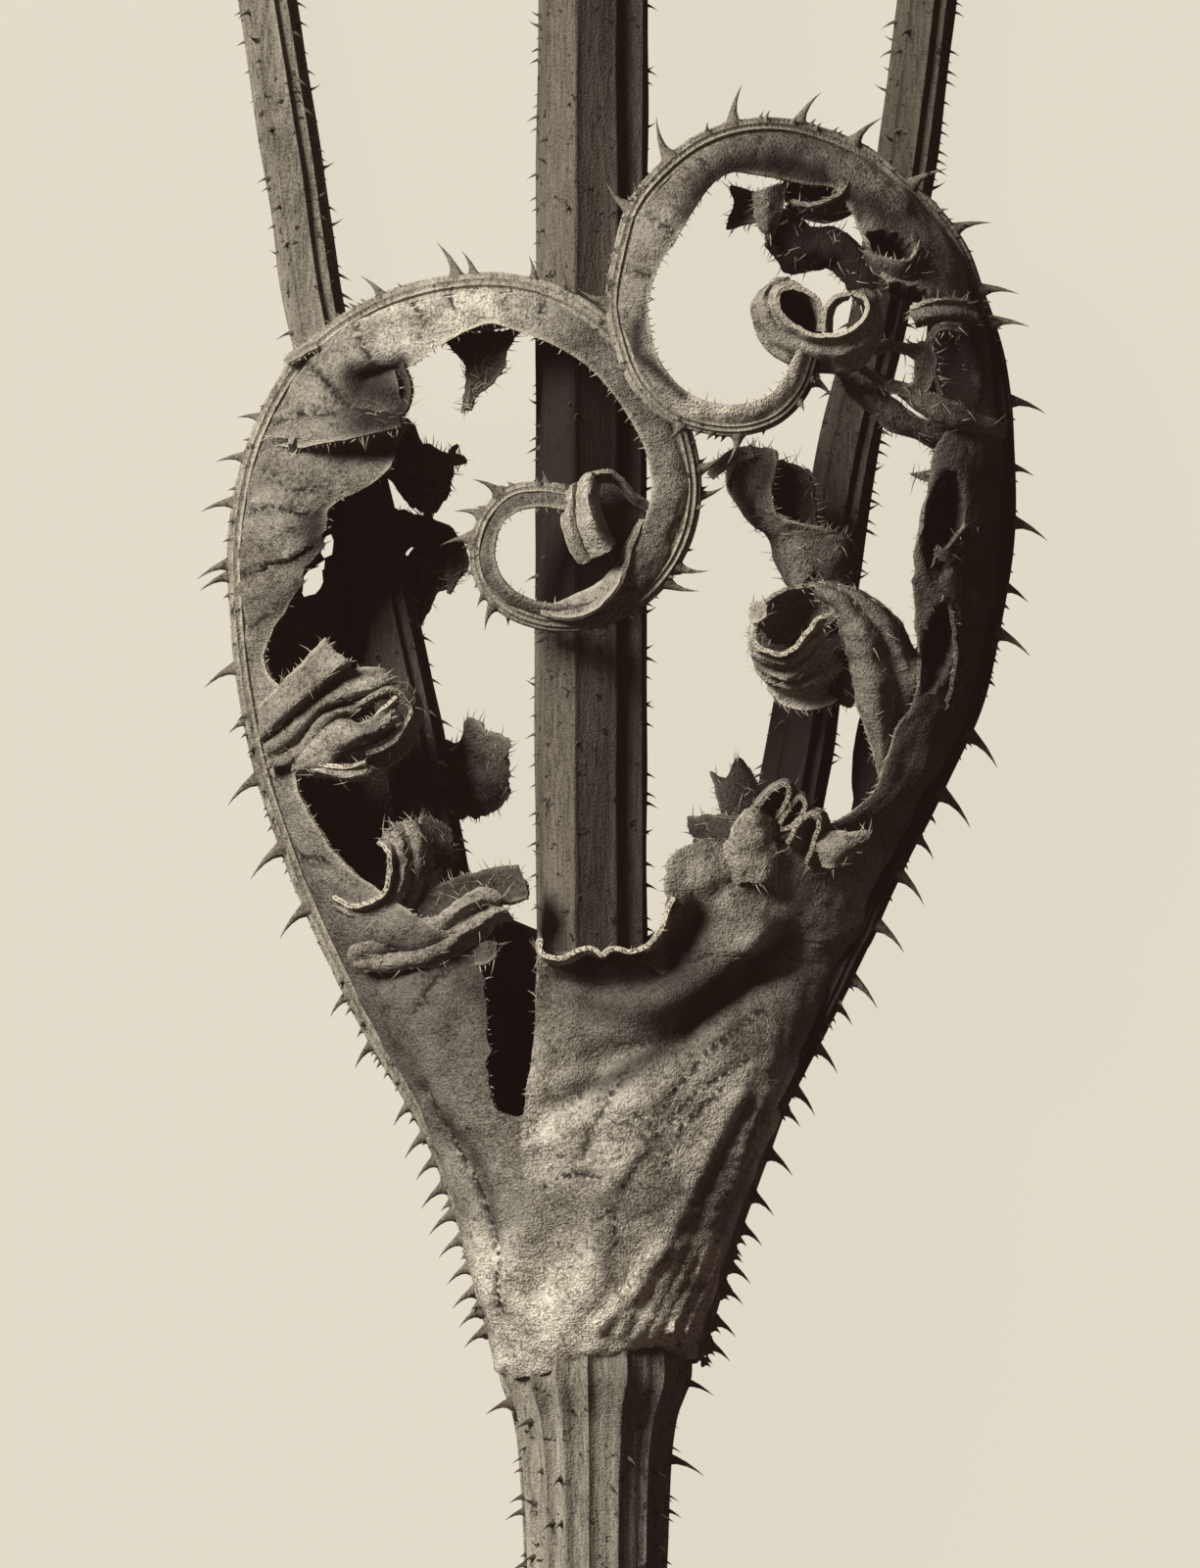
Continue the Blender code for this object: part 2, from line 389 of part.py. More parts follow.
RIGHT_PRICKLES = [
    (18.2, 58.0, 1.8), (19.4, 55.0, 1.8), (20.0, 53.3, 1.8), (20.8, 49.5, 1.9), (20.9, 46.2, 1.1),
    (21.0, 43.4, 1.9), (20.6, 40.0, 1.3), (20.2, 37.8, 1.9), (18.7, 32.7, 2.1), (17.2, 29.9, 2.2),
    (16.1, 27.6, 1.3), (15.2, 25.6, 1.9), (14.0, 23.0, 1.9), (12.7, 20.3, 1.9), (12.0, 18.9, 1.2),
    (11.0, 16.9, 1.6), (9.8, 14.5, 1.6), (9.4, 13.5, 1.1), (8.6, 11.4, 1.5), (7.8, 9.1, 1.3), (7.2, 7.5, 1.2),
    (6.6, 5.6, 1.2), (6.4, 4.4, 1.1), (5.9, 2.7, 1.2), (5.6, 1.6, 1.2),
    (16.0, 60.2, 1.9), (13.0, 62.0, 1.8), (10.4, 62.9, 1.8), (7.3, 62.8, 1.9), (4.3, 61.2, 2.0),
    (2.4, 59.0, 1.5), (1.3, 54.6, 1.5), (7.5, 48.6, 1.4), (4.8, 48.9, 1.0), (10.6, 50.8, 1.3),
]


def world(point):
    """A point of the plant, in millimetres, as a place over the surface, in metres."""
    return Vector((point[0] - BOX_CENTRE_X, point[1] - BOX_CENTRE_Y, point[2] + AXIS_HEIGHT)) * MM


def clear_scene():
    for obj in list(bpy.data.objects):
        bpy.data.objects.remove(obj)


def material(name, colour, roughness):
    made = bpy.data.materials.new(name)
    made.use_nodes = True
    shader = made.node_tree.nodes["Principled BSDF"]
    shader.inputs["Base Color"].default_value = colour
    shader.inputs["Roughness"].default_value = roughness
    shader.inputs["Metallic"].default_value = 0.0
    return made


def mesh_object(name, points, faces):
    """A mesh object of points in the plant's millimetres, with its faces turned outwards where it is closed."""
    mesh = bpy.data.meshes.new(name)
    mesh.from_pydata([world(p) for p in points], [], faces)
    work = bmesh.new()
    work.from_mesh(mesh)
    bmesh.ops.recalc_face_normals(work, faces=work.faces)
    work.to_mesh(mesh)
    work.free()
    obj = bpy.data.objects.new(name, mesh)
    bpy.context.scene.collection.objects.link(obj)
    return obj


def apply_modifiers(obj):
    bpy.ops.object.select_all(action="DESELECT")
    bpy.context.view_layer.objects.active = obj
    obj.select_set(True)
    for modifier in list(obj.modifiers):
        bpy.ops.object.modifier_apply(modifier=modifier.name)


def drop_scraps(obj):
    """Keep the largest closed surface of a mesh, without loose scraps and sealed hollows."""
    work = bmesh.new()
    work.from_mesh(obj.data)
    unseen = set(work.faces)
    largest = []
    while unseen:
        shell, edge_of_it = [], [unseen.pop()]
        while edge_of_it:
            face = edge_of_it.pop()
            shell.append(face)
            for edge in face.edges:
                for other in edge.link_faces:
                    if other in unseen:
                        unseen.remove(other)
                        edge_of_it.append(other)
        if len(shell) > len(largest):
            largest = shell
    kept = set(largest)
    bmesh.ops.delete(work, geom=[face for face in work.faces if face not in kept], context="FACES")
    work.to_mesh(obj.data)
    work.free()


def fuse(name, pieces, finish):
    """One solid of pieces that overlap where they grow from each other."""
    body, rest = pieces[0], pieces[1:]
    grown = bpy.data.collections.new(name + "_grown_on")
    bpy.context.scene.collection.children.link(grown)
    for piece in rest:
        bpy.context.scene.collection.objects.unlink(piece)
        grown.objects.link(piece)
    join = body.modifiers.new("Grown together", "BOOLEAN")
    join.operation = "UNION"
    join.operand_type = "COLLECTION"
    join.collection = grown
    join.solver = "MANIFOLD"
    apply_modifiers(body)
    drop_scraps(body)
    for piece in rest:
        bpy.data.objects.remove(piece)
    bpy.data.collections.remove(grown)
    body.name = name
    body.data.name = name
    body.data.materials.clear()
    body.data.materials.append(finish)
    body.data.shade_smooth()
    body.data.set_sharp_from_angle(angle=math.radians(40))
    return body


def smooth_rows(rows, spacing):
    """Rows of numbers made denser along a smooth curve through each column, about spacing apart."""
    dense = []
    for i in range(len(rows) - 1):
        around = (rows[max(i - 1, 0)], rows[i], rows[i + 1], rows[min(i + 2, len(rows) - 1)])
        steps = max(1, round(math.dist(rows[i][0:3], rows[i + 1][0:3]) / spacing))
        for step in range(steps):
            dense.append([curve_value(column, step / steps) for column in zip(*around)])
    dense.append(list(rows[-1]))
    return dense


def curve_value(four, t):
    before, start, end, after = four
    bend = (2 * before - 5 * start + 4 * end - after) * t**2 + (3 * start - before - 3 * end + after) * t**3
    return 0.5 * (2 * start + (end - before) * t + bend)


def arc(start, end, along, height, steps):
    """Points from start to end over an arch, which stands across the line of growth."""
    pull = (start + end) / 2 + (end - start).cross(along).normalized() * height
    shares = [i / steps for i in range(steps + 1)]
    return [start * (1 - t) ** 2 + pull * (2 * t * (1 - t)) + end * t**2 for t in shares]


def sheet(name, grid):
    """A thin solid through a grid of points, split into triangles alike on both faces."""
    columns = len(grid[0])
    faces = []
    for i in range(len(grid) - 1):
        for j in range(columns - 1):
            a = i * columns + j
            b = a + columns
            faces += [(a, b, b + 1), (a, b + 1, a + 1)]
    obj = mesh_object(name, [p for row in grid for p in row], faces)
    thick = obj.modifiers.new("Thickness", "SOLIDIFY")
    thick.thickness = BLADE * MM
    thick.offset = 0.0
    apply_modifiers(obj)
    return obj


def half_blade(name, rows, first, side, steps):
    """The half of a leaf's blade whose edge is at column first of its rows. side is 1 or -1."""
    grid = []
    for i, row in enumerate(rows):
        rib = Vector(row[0:3])
        along = Vector(rows[min(i + 1, len(rows) - 1)][0:3]) - Vector(rows[max(i - 1, 0)][0:3])
        grid.append(arc(rib, Vector(row[first : first + 3]), along * side, row[first + 3], steps))
    return sheet(name, grid)


def lobe(name, rows):
    """A torn lobe that lies open."""
    dense = smooth_rows(rows, LOBE_ROW_SPACING)
    grid = []
    for i, row in enumerate(dense):
        before, after = dense[max(i - 1, 0)], dense[min(i + 1, len(dense) - 1)]
        along = Vector(after[0:3]) + Vector(after[3:6]) - Vector(before[0:3]) - Vector(before[3:6])
        first, second = Vector(row[0:3]), Vector(row[3:6])
        height = row[6]
        if (second - first).cross(along).z < 0:
            height = -height
        grid.append(arc(first, second, along, height, LOBE_STEPS))
    return sheet(name, grid)


def roll(name, shape):
    """A lobe rolled into an open tube."""
    first_angle, last_angle, winding, stations = shape
    steps = round((last_angle - first_angle) / ROLL_STEP_DEGREES)
    grid = []
    for row in smooth_rows(stations, LOBE_ROW_SPACING):
        centre, wide, high = Vector(row[0:3]), Vector(row[3:6]), Vector(row[6:9])
        ring = []
        for k in range(steps + 1):
            angle = math.radians(first_angle + (last_angle - first_angle) * k / steps)
            share = 1.0 - winding * k / steps
            ring.append(centre + (wide * math.cos(angle) + high * math.sin(angle)) * share)
        grid.append(ring)
    return sheet(name, grid)


def rod(name, centres, radii, sides, ribs=0, relief=0.0):
    """A closed rod through a line of centres, with lengthwise ribs."""
    points, faces = [], []
    side = Vector((0, 0, 1))
    for i, centre in enumerate(centres):
        ahead = (centres[min(i + 1, len(centres) - 1)] - centres[max(i - 1, 0)]).normalized()
        side = (side - ahead * side.dot(ahead)).normalized()
        across = ahead.cross(side)
        for j in range(sides):
            angle = 2 * math.pi * j / sides
            radius = radii[i] * (1 + relief * math.cos(ribs * angle))
            points.append(centre + (side * math.cos(angle) + across * math.sin(angle)) * radius)
    for i in range(len(centres) - 1):
        for j in range(sides):
            a, b = i * sides + j, i * sides + (j + 1) % sides
            faces.append((a, b, b + sides, a + sides))
    faces.append(tuple(reversed(range(sides))))
    faces.append(tuple(range(len(points) - sides, len(points))))
    return mesh_object(name, points, faces)


def prickle(foot, outward, towards_root, length):
    """A three-sided prickle with its foot sunk well in, bent towards the plant's root."""
    radius = 0.15 + 0.13 * length
    outward = outward.normalized()
    across = outward.cross(towards_root).normalized()
    along = across.cross(outward)
    points = []
    for height, bend, share in ((-PRICKLE_SINK, 0.0, 1.0), (0.45 * length, 0.2 * PRICKLE_BEND * length, 0.5)):
        for k in range(3):
            angle = 2 * math.pi * k / 3 + 0.5
            spread = (across * math.cos(angle) + along * 1.5 * math.sin(angle)) * radius * share
            points.append(foot + outward * height + along * bend + spread)
    points.append(foot + outward * length + along * PRICKLE_BEND * length)
    faces = [(0, 1, 2)]
    for k in range(3):
        n = (k + 1) % 3
        faces += [(k, n, n + 3), (k, n + 3, k + 3), (k + 3, n + 3, 6)]
    return mesh_object("prickle", points, faces)


def midrib_prickles(rows, spots, draw):
    """The prickles along a midrib's outer side, each at the midrib's point nearest to its spot."""
    made = []
    for x, y, length in spots:
        i = min(range(len(rows)), key=lambda k: (rows[k][0] - x) ** 2 + (rows[k][1] - y) ** 2)
        here = Vector(rows[i][0:3])
        along = Vector(rows[min(i + 1, len(rows) - 1)][0:3]) - Vector(rows[max(i - 1, 0)][0:3])
        middle = (Vector(rows[i][3:6]) + Vector(rows[i][7:10])) / 2
        outward = here - middle
        outward.z = 0
        outward -= along * outward.dot(along) / along.length_squared
        outward = outward.normalized() + Vector((0, 0, draw.uniform(-0.25, 0.25)))
        foot = here + outward * MIDRIB_RADIUS * 0.8
        made.append(prickle(foot, outward, -along, length))
    return made


def leaf(name, stations, side, lobes, rolls, tip, spots, finish):
    """One leaf: its midrib, both halves of its blade, its torn and rolled lobes, its coiled tip and prickles."""
    rows = smooth_rows(stations, LEAF_ROW_SPACING)
    centres = [Vector(row[0:3]) for row in rows]
    last = len(centres) - 1
    shares = [max(0.0, i / last - TAPER_STARTS) / (1 - TAPER_STARTS) for i in range(last + 1)]
    radii = [MIDRIB_RADIUS * (1 - MIDRIB_TAPER * share) for share in shares]
    pieces = [
        rod(name + "_midrib", centres, radii, MIDRIB_SIDES),
        half_blade(name + "_upper_blade", rows, 3, side, UPPER_BLADE_STEPS),
        half_blade(name + "_lower_blade", rows, 7, -side, LOWER_BLADE_STEPS),
        tip,
    ]
    pieces += [lobe(key, shape) for key, shape in lobes.items()]
    pieces += [roll(key, shape) for key, shape in rolls.items()]
    pieces += midrib_prickles(rows, spots, random.Random(PRICKLE_SEED))
    return fuse(name, pieces, finish)


def coiled_tip(name, centre, axis, up, path, width):
    """A leaf's tip, wound into a band. path gives two distances of each point from the centre."""
    axis = axis.normalized()
    across = up.cross(axis).normalized()
    grid = []
    for a, b in smooth_rows(path, LOBE_ROW_SPACING):
        middle = centre + across * a + up.normalized() * b
        grid.append([middle + axis * width * share for share in (-0.5, 0.0, 0.5)])
    return sheet(name, grid)


def left_tip():
    path = [(0.9, 1.6), (0.0, 2.4), (-1.3, 1.6), (-1.9, 0.0), (-1.5, -1.7), (-0.2, -2.6), (1.2, -1.6), (1.4, 0.2)]
    return coiled_tip("left_tip", Vector((0.6, 42.9, 6.4)), Vector((0.8, -0.1, 0.6)), Vector((0.1, 1.0, 0)), path, 2.2)


def right_tip():
    path = [
        (0.2, 0.6), (-0.4, 2.0), (-1.7, 2.6), (-2.9, 1.5), (-2.7, -0.4), (-1.0, -1.6), (1.2, -1.5),
        (2.6, -0.4), (2.7, 1.2), (1.8, 2.0), (0.9, 1.6), (0.8, 0.5),
    ]
    centre = Vector((11.5, 53.0, 6.6))
    return coiled_tip("right_tip", centre, Vector((0, 0.7, 0.7)), Vector((0, 0.7, -0.7)), path, 1.9)


def stem(name, stations, sides, ribs, relief, spots, finish):
    """A ribbed stem with its small prickles."""
    rows = smooth_rows(stations, STEM_ROW_SPACING)
    centres = [Vector(row[0:3]) for row in rows]
    pieces = [rod(name, centres, [row[3] for row in rows], sides, ribs, relief)]
    for y, degrees, length in spots:
        angle = math.radians(degrees)
        outward = Vector((math.cos(angle), 0, math.sin(angle)))
        row = row_at(rows, y)
        foot = Vector(row[0:3]) + outward * row[3] * (1 - relief)
        pieces.append(prickle(foot, outward, Vector((0, -1, 0)), length))
    return fuse(name, pieces, finish)


def row_at(rows, y):
    """A row of a stem at a height, between the rows next to it."""
    for lower, upper in zip(rows, rows[1:]):
        if lower[1] <= y <= upper[1]:
            t = (y - lower[1]) / (upper[1] - lower[1])
            return [a + (b - a) * t for a, b in zip(lower, upper)]
    return rows[-1]


def spread_prickles(first_y, last_y, count, seed, faces):
    """Heights, angles and lengths of small prickles, spread evenly along a stem."""
    draw = random.Random(seed)
    spots = []
    for i in range(count):
        y = first_y + (last_y - first_y) * (i + draw.uniform(0.2, 0.8)) / count
        spots.append((y, faces[i % len(faces)] + draw.uniform(-12, 12), draw.uniform(0.6, 1.0)))
    return spots


def main():
    clear_scene()
    stem_finish = material("dry_stem", STEM_BROWN, 0.75)
    left_shoot_finish = material("dry_left_shoot", SHOOT_BROWN, 0.75)
    right_shoot_finish = material("dry_right_shoot", SHOOT_BROWN, 0.75)
    left_finish = material("dry_left_leaf", LEAF_FAWN, 0.85)
    right_finish = material("dry_right_leaf", LEAF_FAWN_SHADED, 0.85)

    low = spread_prickles(-16.0, -2.0, 10, 1, (180, 0, 200, -20, 150))
    high = spread_prickles(24.0, 76.0, 22, 2, (180, 0, 165, 20))
    stem("main_stem", MAIN_STEM, STEM_SIDES, STEM_RIBS, STEM_RELIEF, low + high, stem_finish)
    left = spread_prickles(36.0, 75.0, 20, 3, (180, 0, 160, 10))
    stem("left_shoot", LEFT_SHOOT, SHOOT_SIDES, SHOOT_RIBS, SHOOT_RELIEF, left, left_shoot_finish)
    right = spread_prickles(24.0, 75.0, 20, 4, (180, 0, 20, 170))
    stem("right_shoot", RIGHT_SHOOT, SHOOT_SIDES, SHOOT_RIBS, SHOOT_RELIEF, right, right_shoot_finish)

    leaf("left_leaf", LEFT_LEAF, 1, LEFT_LOBES, LEFT_ROLLS, left_tip(), LEFT_PRICKLES, left_finish)
    leaf("right_leaf", RIGHT_LEAF, -1, RIGHT_LOBES, RIGHT_ROLLS, right_tip(), RIGHT_PRICKLES, right_finish)


main()
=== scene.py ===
"""The looks of a dried teasel stem with its leaf pair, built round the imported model.

Lengths are in millimetres in the plant's own axes: x across the leaf pair, y up the stem from the node,
z up from the stem's axis. plant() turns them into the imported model's metres.
"""
import math
import random

import bmesh
import bpy
from mathutils import Matrix, Vector, noise


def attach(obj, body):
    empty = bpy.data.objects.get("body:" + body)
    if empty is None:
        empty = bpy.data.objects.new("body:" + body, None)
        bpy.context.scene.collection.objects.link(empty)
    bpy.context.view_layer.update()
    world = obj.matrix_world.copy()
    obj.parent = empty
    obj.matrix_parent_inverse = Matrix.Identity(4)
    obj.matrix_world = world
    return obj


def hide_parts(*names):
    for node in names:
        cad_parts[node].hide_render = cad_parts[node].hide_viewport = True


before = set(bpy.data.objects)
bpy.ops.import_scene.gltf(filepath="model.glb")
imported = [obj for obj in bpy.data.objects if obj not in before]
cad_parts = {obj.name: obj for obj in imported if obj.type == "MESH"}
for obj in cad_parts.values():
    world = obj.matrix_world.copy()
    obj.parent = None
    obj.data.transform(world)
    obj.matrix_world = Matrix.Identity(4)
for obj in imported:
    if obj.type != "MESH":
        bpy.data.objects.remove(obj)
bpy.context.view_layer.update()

# Studio. The cut stem lies on pale cream card that is lit from below, so that it shows no shadows and sends
# no light back up. One window-like light stands low at the upper left, and the camera looks straight down
# through a long lens. The print's darkest tone is a warm, not quite full black.
MM = 0.001
CARD_WIDE = 10
CARD_GLOW = 0.97
WINDOW_PLACE = (-0.29, 0.24, 0.28)
WINDOW_WIDE = 0.16
WINDOW_POWER = 5.6
ROOM_GLOW = 0.08
FIELD_TALL = 80 * MM
FIELD_CENTRE = Vector((-1.2, -0.1, 7.0)) * MM
LENS = 800.0
SENSOR = 36.0
PRINT_BLACK = (-0.0111, -0.0060, -0.0048)


def linear(hex_colour):
    """An sRGB hex colour as a linear one with alpha."""
    shares = [int(hex_colour[i : i + 2], 16) / 255 for i in (1, 3, 5)]
    return [s / 12.92 if s <= 0.04045 else ((s + 0.055) / 1.055) ** 2.4 for s in shares] + [1.0]


def node(tree, kind, inputs=None, **settings):
    """Add a node with its settings. inputs gives a socket a value, or links it to another node's output."""
    made = tree.nodes.new(kind)
    for key, value in settings.items():
        setattr(made, key, value)
    for socket, value in (inputs or {}).items():
        if isinstance(value, bpy.types.NodeSocket):
            tree.links.new(value, made.inputs[socket])
        else:
            made.inputs[socket].default_value = value
    return made


def material(name, roughness, specular):
    """A new material with its roughness and its gloss. Gives back its nodes and its shader too."""
    made = bpy.data.materials.new(name)
    made.use_nodes = True
    shader = made.node_tree.nodes["Principled BSDF"]
    shader.inputs["Roughness"].default_value = roughness
    shader.inputs["Specular IOR Level"].default_value = specular
    return made, made.node_tree, shader


bpy.ops.object.select_all(action="DESELECT")
bpy.ops.mesh.primitive_plane_add(size=CARD_WIDE)
card = bpy.context.object
card.name = "card"
card_finish, card_tree, card_shader = material("Cream card", 0.95, 0.1)
card_shader.inputs["Base Color"].default_value = linear("#1d1c19")
card_shader.inputs["Emission Color"].default_value = linear("#e3dbc9")
card_shader.inputs["Emission Strength"].default_value = CARD_GLOW
card.data.materials.append(card_finish)
card.visible_diffuse = False
card.visible_glossy = False

bpy.ops.object.light_add(type="AREA", location=WINDOW_PLACE)
window = bpy.context.object
window.data.shape = "SQUARE"
window.data.size = WINDOW_WIDE
window.data.energy = WINDOW_POWER
window.data.color = linear("#fffdf9")[:3]
window.rotation_euler = (-window.location).to_track_quat("-Z", "Y").to_euler()

room = bpy.data.worlds.new("Dim room")
room.use_nodes = True
room.node_tree.nodes["Background"].inputs["Color"].default_value = linear("#ffe6d8")
room.node_tree.nodes["Background"].inputs["Strength"].default_value = ROOM_GLOW
bpy.context.scene.world = room

bpy.ops.object.camera_add(location=FIELD_CENTRE + Vector((0, 0, FIELD_TALL / SENSOR * LENS)))
camera = bpy.context.object
camera.data.lens = LENS
camera.data.sensor_width = SENSOR
bpy.context.scene.camera = camera
look = bpy.context.scene.view_settings
look.view_transform = "Standard"
look.use_curve_mapping = True
look.curve_mapping.black_level = PRINT_BLACK
look.curve_mapping.update()

# Main stem. A dead, woody stem, ridged lengthwise. Below the node it is thicker and closely fluted, and it
# flares under the leaf bases. Both ends are clean, flat cuts.
MODEL_ORIGIN = (1.62, 30.1, -6.99)
BARK_RELIEF = 0.07
BARK_CREASE = 50
ARCH_FOOT = 37.6
ARCH_TOP = 53.6


def pick(thing):
    """Select one object alone, and make it the active one."""
    bpy.ops.object.select_all(action="DESELECT")
    thing.select_set(True)
    bpy.context.view_layer.objects.active = thing


def placed(name, data):
    """A new object of a mesh or a curve, in the scene."""
    made = bpy.data.objects.new(name, data)
    bpy.context.scene.collection.objects.link(made)
    return made


def smooth_skin(thing, crease):
    """Smooth shading, but for edges that turn by more than the crease, in degrees."""
    thing.data.shade_smooth()
    thing.data.set_sharp_from_angle(angle=math.radians(crease))


def plant(point):
    """A point in the plant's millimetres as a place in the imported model, in metres."""
    return Vector([along - start for along, start in zip(point, MODEL_ORIGIN)]) * MM


def clamped(share):
    """A share held between 0 and 1."""
    return max(0.0, min(1.0, share))


def rod_finish(name, light, dark, fleck, grain_tall):
    """Dead bark, dull and dry: fine streaks along the grain, dark scars, pale felt, a raised grain.
    The felt's hairs are too fine to show, so their tufts are drawn 0.11 mm wide. A darkening given for each
    point of the mesh is painted shade."""
    made, tree, shader = material(name, 0.8, 0.08)
    place = node(tree, "ShaderNodeTexCoord").outputs["Object"]
    stretch = (1.0, 1.0 / grain_tall, 1.0)
    along = node(tree, "ShaderNodeMapping", {"Vector": place, "Scale": stretch}).outputs["Vector"]
    grains = []
    for way, wide, detail, rough in (
        (along, 0.17, 2.0, 0.6), (along, 1.8, 4.0, 0.6), (place, 0.11, 1.0, 0.7), (place, 0.75, 3.0, 0.8),
    ):
        grain = node(tree, "ShaderNodeTexNoise", {
            "Vector": way, "Scale": 1 / (wide * MM), "Detail": detail, "Roughness": rough,
        })
        grains.append(grain.outputs["Fac"])
    streaks, patches, felt, scars = grains
    scarred = node(tree, "ShaderNodeMapRange", {"Value": scars, "From Min": 0.34, "From Max": 0.40})
    patched = node(tree, "ShaderNodeMath", {0: streaks, 1: patches}, operation="ADD")
    felted = node(tree, "ShaderNodeMath", {0: patched.outputs[0], 1: felt}, operation="ADD")
    share = node(tree, "ShaderNodeMapRange", {
        "Value": felted.outputs[0], "From Min": 1.15, "From Max": 1.85,
    })
    bark = node(tree, "ShaderNodeMix", {
        0: share.outputs[0], 6: linear(dark), 7: linear(light),
    }, data_type="RGBA")
    flecked = node(tree, "ShaderNodeMix", {
        0: scarred.outputs[0], 6: linear(fleck), 7: bark.outputs[2],
    }, data_type="RGBA")
    painted_shading = node(tree, "ShaderNodeAttribute", attribute_name="painted_shading").outputs["Fac"]
    with_painted_shading = node(tree, "ShaderNodeMix", {
        0: painted_shading, 6: flecked.outputs[2], 7: linear("#15110d"),
    }, data_type="RGBA")
    tree.links.new(with_painted_shading.outputs[2], shader.inputs["Base Color"])
    height = node(tree, "ShaderNodeMath", {0: streaks, 1: felt}, operation="ADD")
    raised = node(tree, "ShaderNodeBump", {
        "Height": height.outputs[0], "Distance": BARK_RELIEF * MM, "Strength": 0.8,
    })
    tree.links.new(raised.outputs["Normal"], shader.inputs["Normal"])
    return made


def on_circle(angle, radius):
    """A point at an angle in degrees and a radius."""
    return Vector((radius * math.cos(math.radians(angle)), radius * math.sin(math.radians(angle))))


def section(name, corners, bead, width, count=150):
    """A closed outline with corners at angles in degrees and radii of about 1, flat between them, and a
    small bead on each corner."""
    outline = bpy.data.curves.new(name, "CURVE")
    outline.dimensions = "2D"
    line = outline.splines.new("POLY")
    line.use_cyclic_u = True
    line.points.add(count - 1)
    ring = sorted((angle % 360, radius) for angle, radius in corners)
    for i in range(count):
        angle = 360 * i / count
        before = max((c for c in ring if c[0] <= angle), default=(ring[-1][0] - 360, ring[-1][1]))
        after = min((c for c in ring if c[0] > angle), default=(ring[0][0] + 360, ring[0][1]))
        spot = on_circle(*before).lerp(on_circle(*after), (angle - before[0]) / (after[0] - before[0]))
        near = min(angle - before[0], after[0] - angle) / width
        spot *= 1 + bead * max(0.0, 1 - near**2)
        line.points[i].co = (*spot, 0, 1)
    return placed(name, outline)


def ribbed_rod(name, stations, outline, spacing):
    """A rod swept along stations of x, y, z and radius, with the section's outline, made a closed mesh."""
    rows = smooth_rows(stations, spacing)
    path = bpy.data.curves.new(name, "CURVE")
    path.dimensions = "3D"
    path.twist_mode = "Z_UP"
    line = path.splines.new("POLY")
    line.points.add(len(rows) - 1)
    for spot, row in zip(line.points, rows):
        spot.co = (*plant(row[0:3]), 1)
        spot.radius = row[3] * MM
    path.bevel_mode = "OBJECT"
    path.bevel_object = outline
    path.use_fill_caps = True
    pick(placed(name, path))
    bpy.ops.object.convert(target="MESH")
    bpy.data.objects.remove(outline)
    bpy.ops.object.mode_set(mode="EDIT")
    bpy.ops.mesh.select_all(action="SELECT")
    bpy.ops.mesh.remove_doubles(threshold=0.001 * MM)
    bpy.ops.mesh.normals_make_consistent(inside=False)
    bpy.ops.object.mode_set(mode="OBJECT")
    return bpy.context.object


def curve_value(four, t):
    """A value on the smooth curve through four, at a share t of the way from the second to the third."""
    before, start, end, after = four
    bend = (2 * before - 5 * start + 4 * end - after) * t**2 + (3 * start - before - 3 * end + after) * t**3
    return 0.5 * (2 * start + (end - before) * t + bend)


def rows_between(rows, i, steps):
    """Rows of numbers on a smooth curve, from row i as far as the next one, which is left out."""
    around = rows[max(i - 1, 0)], rows[i], rows[i + 1], rows[min(i + 2, len(rows) - 1)]
    return [[curve_value(column, step / steps) for column in zip(*around)] for step in range(steps)]


def smooth_rows(rows, spacing):
    """Rows of numbers made denser along a smooth curve through each column, about spacing apart."""
    dense = []
    for i in range(len(rows) - 1):
        dense += rows_between(rows, i, max(1, round(math.dist(rows[i][0:3], rows[i + 1][0:3]) / spacing)))
    return dense + [list(rows[-1])]


def weathered(rod, depth, size, seed):
    """Uneven growth of a rod, as small moves of its skin in and out, four times longer along the grain."""
    rod.data.update()
    moves = [(vert.index, vert.normal.copy()) for vert in rod.data.vertices]
    for index, normal in moves:
        here = rod.data.vertices[index].co
        place = Vector((here.x, here.y * 0.25, here.z)) / (size * MM) + Vector((seed, 0, 0))
        here += normal * noise.noise(place) * depth * MM


def paint_shade_on_rod(rod, amount):
    """Painted shade on a rod, from 0 to 1, given for each x and y."""
    layer = rod.data.attributes.new("painted_shading", "FLOAT", "POINT")
    for vert, spot in zip(rod.data.vertices, layer.data):
        spot.value = amount(vert.co.x / MM + MODEL_ORIGIN[0], vert.co.y / MM + MODEL_ORIGIN[1])


def behind_the_arch(x, y):
    """Painted shade on the main stem: the shadow of the left leaf's arch, and shade down its right side."""
    shade = clamped((y - ARCH_FOOT) / 0.8) * clamped((ARCH_TOP - y) / 1.5)
    middle = 0.3 if y > 45 else 0.42 if y > 1 else 0.12
    right_side_shade = middle * clamped((x + 0.9) / 0.4) + 0.22 * clamped((x - 1.0) / 0.4)
    return max(shade * (0.93 if x < -1.1 else 0.98), right_side_shade)


stem_finish = rod_finish("Dead teasel stem", "#625c51", "#312d26", "#1b1712", 9.0)
lower_finish = rod_finish("Dead teasel lower stem", "#958f80", "#4a453b", "#241f19", 9.0)

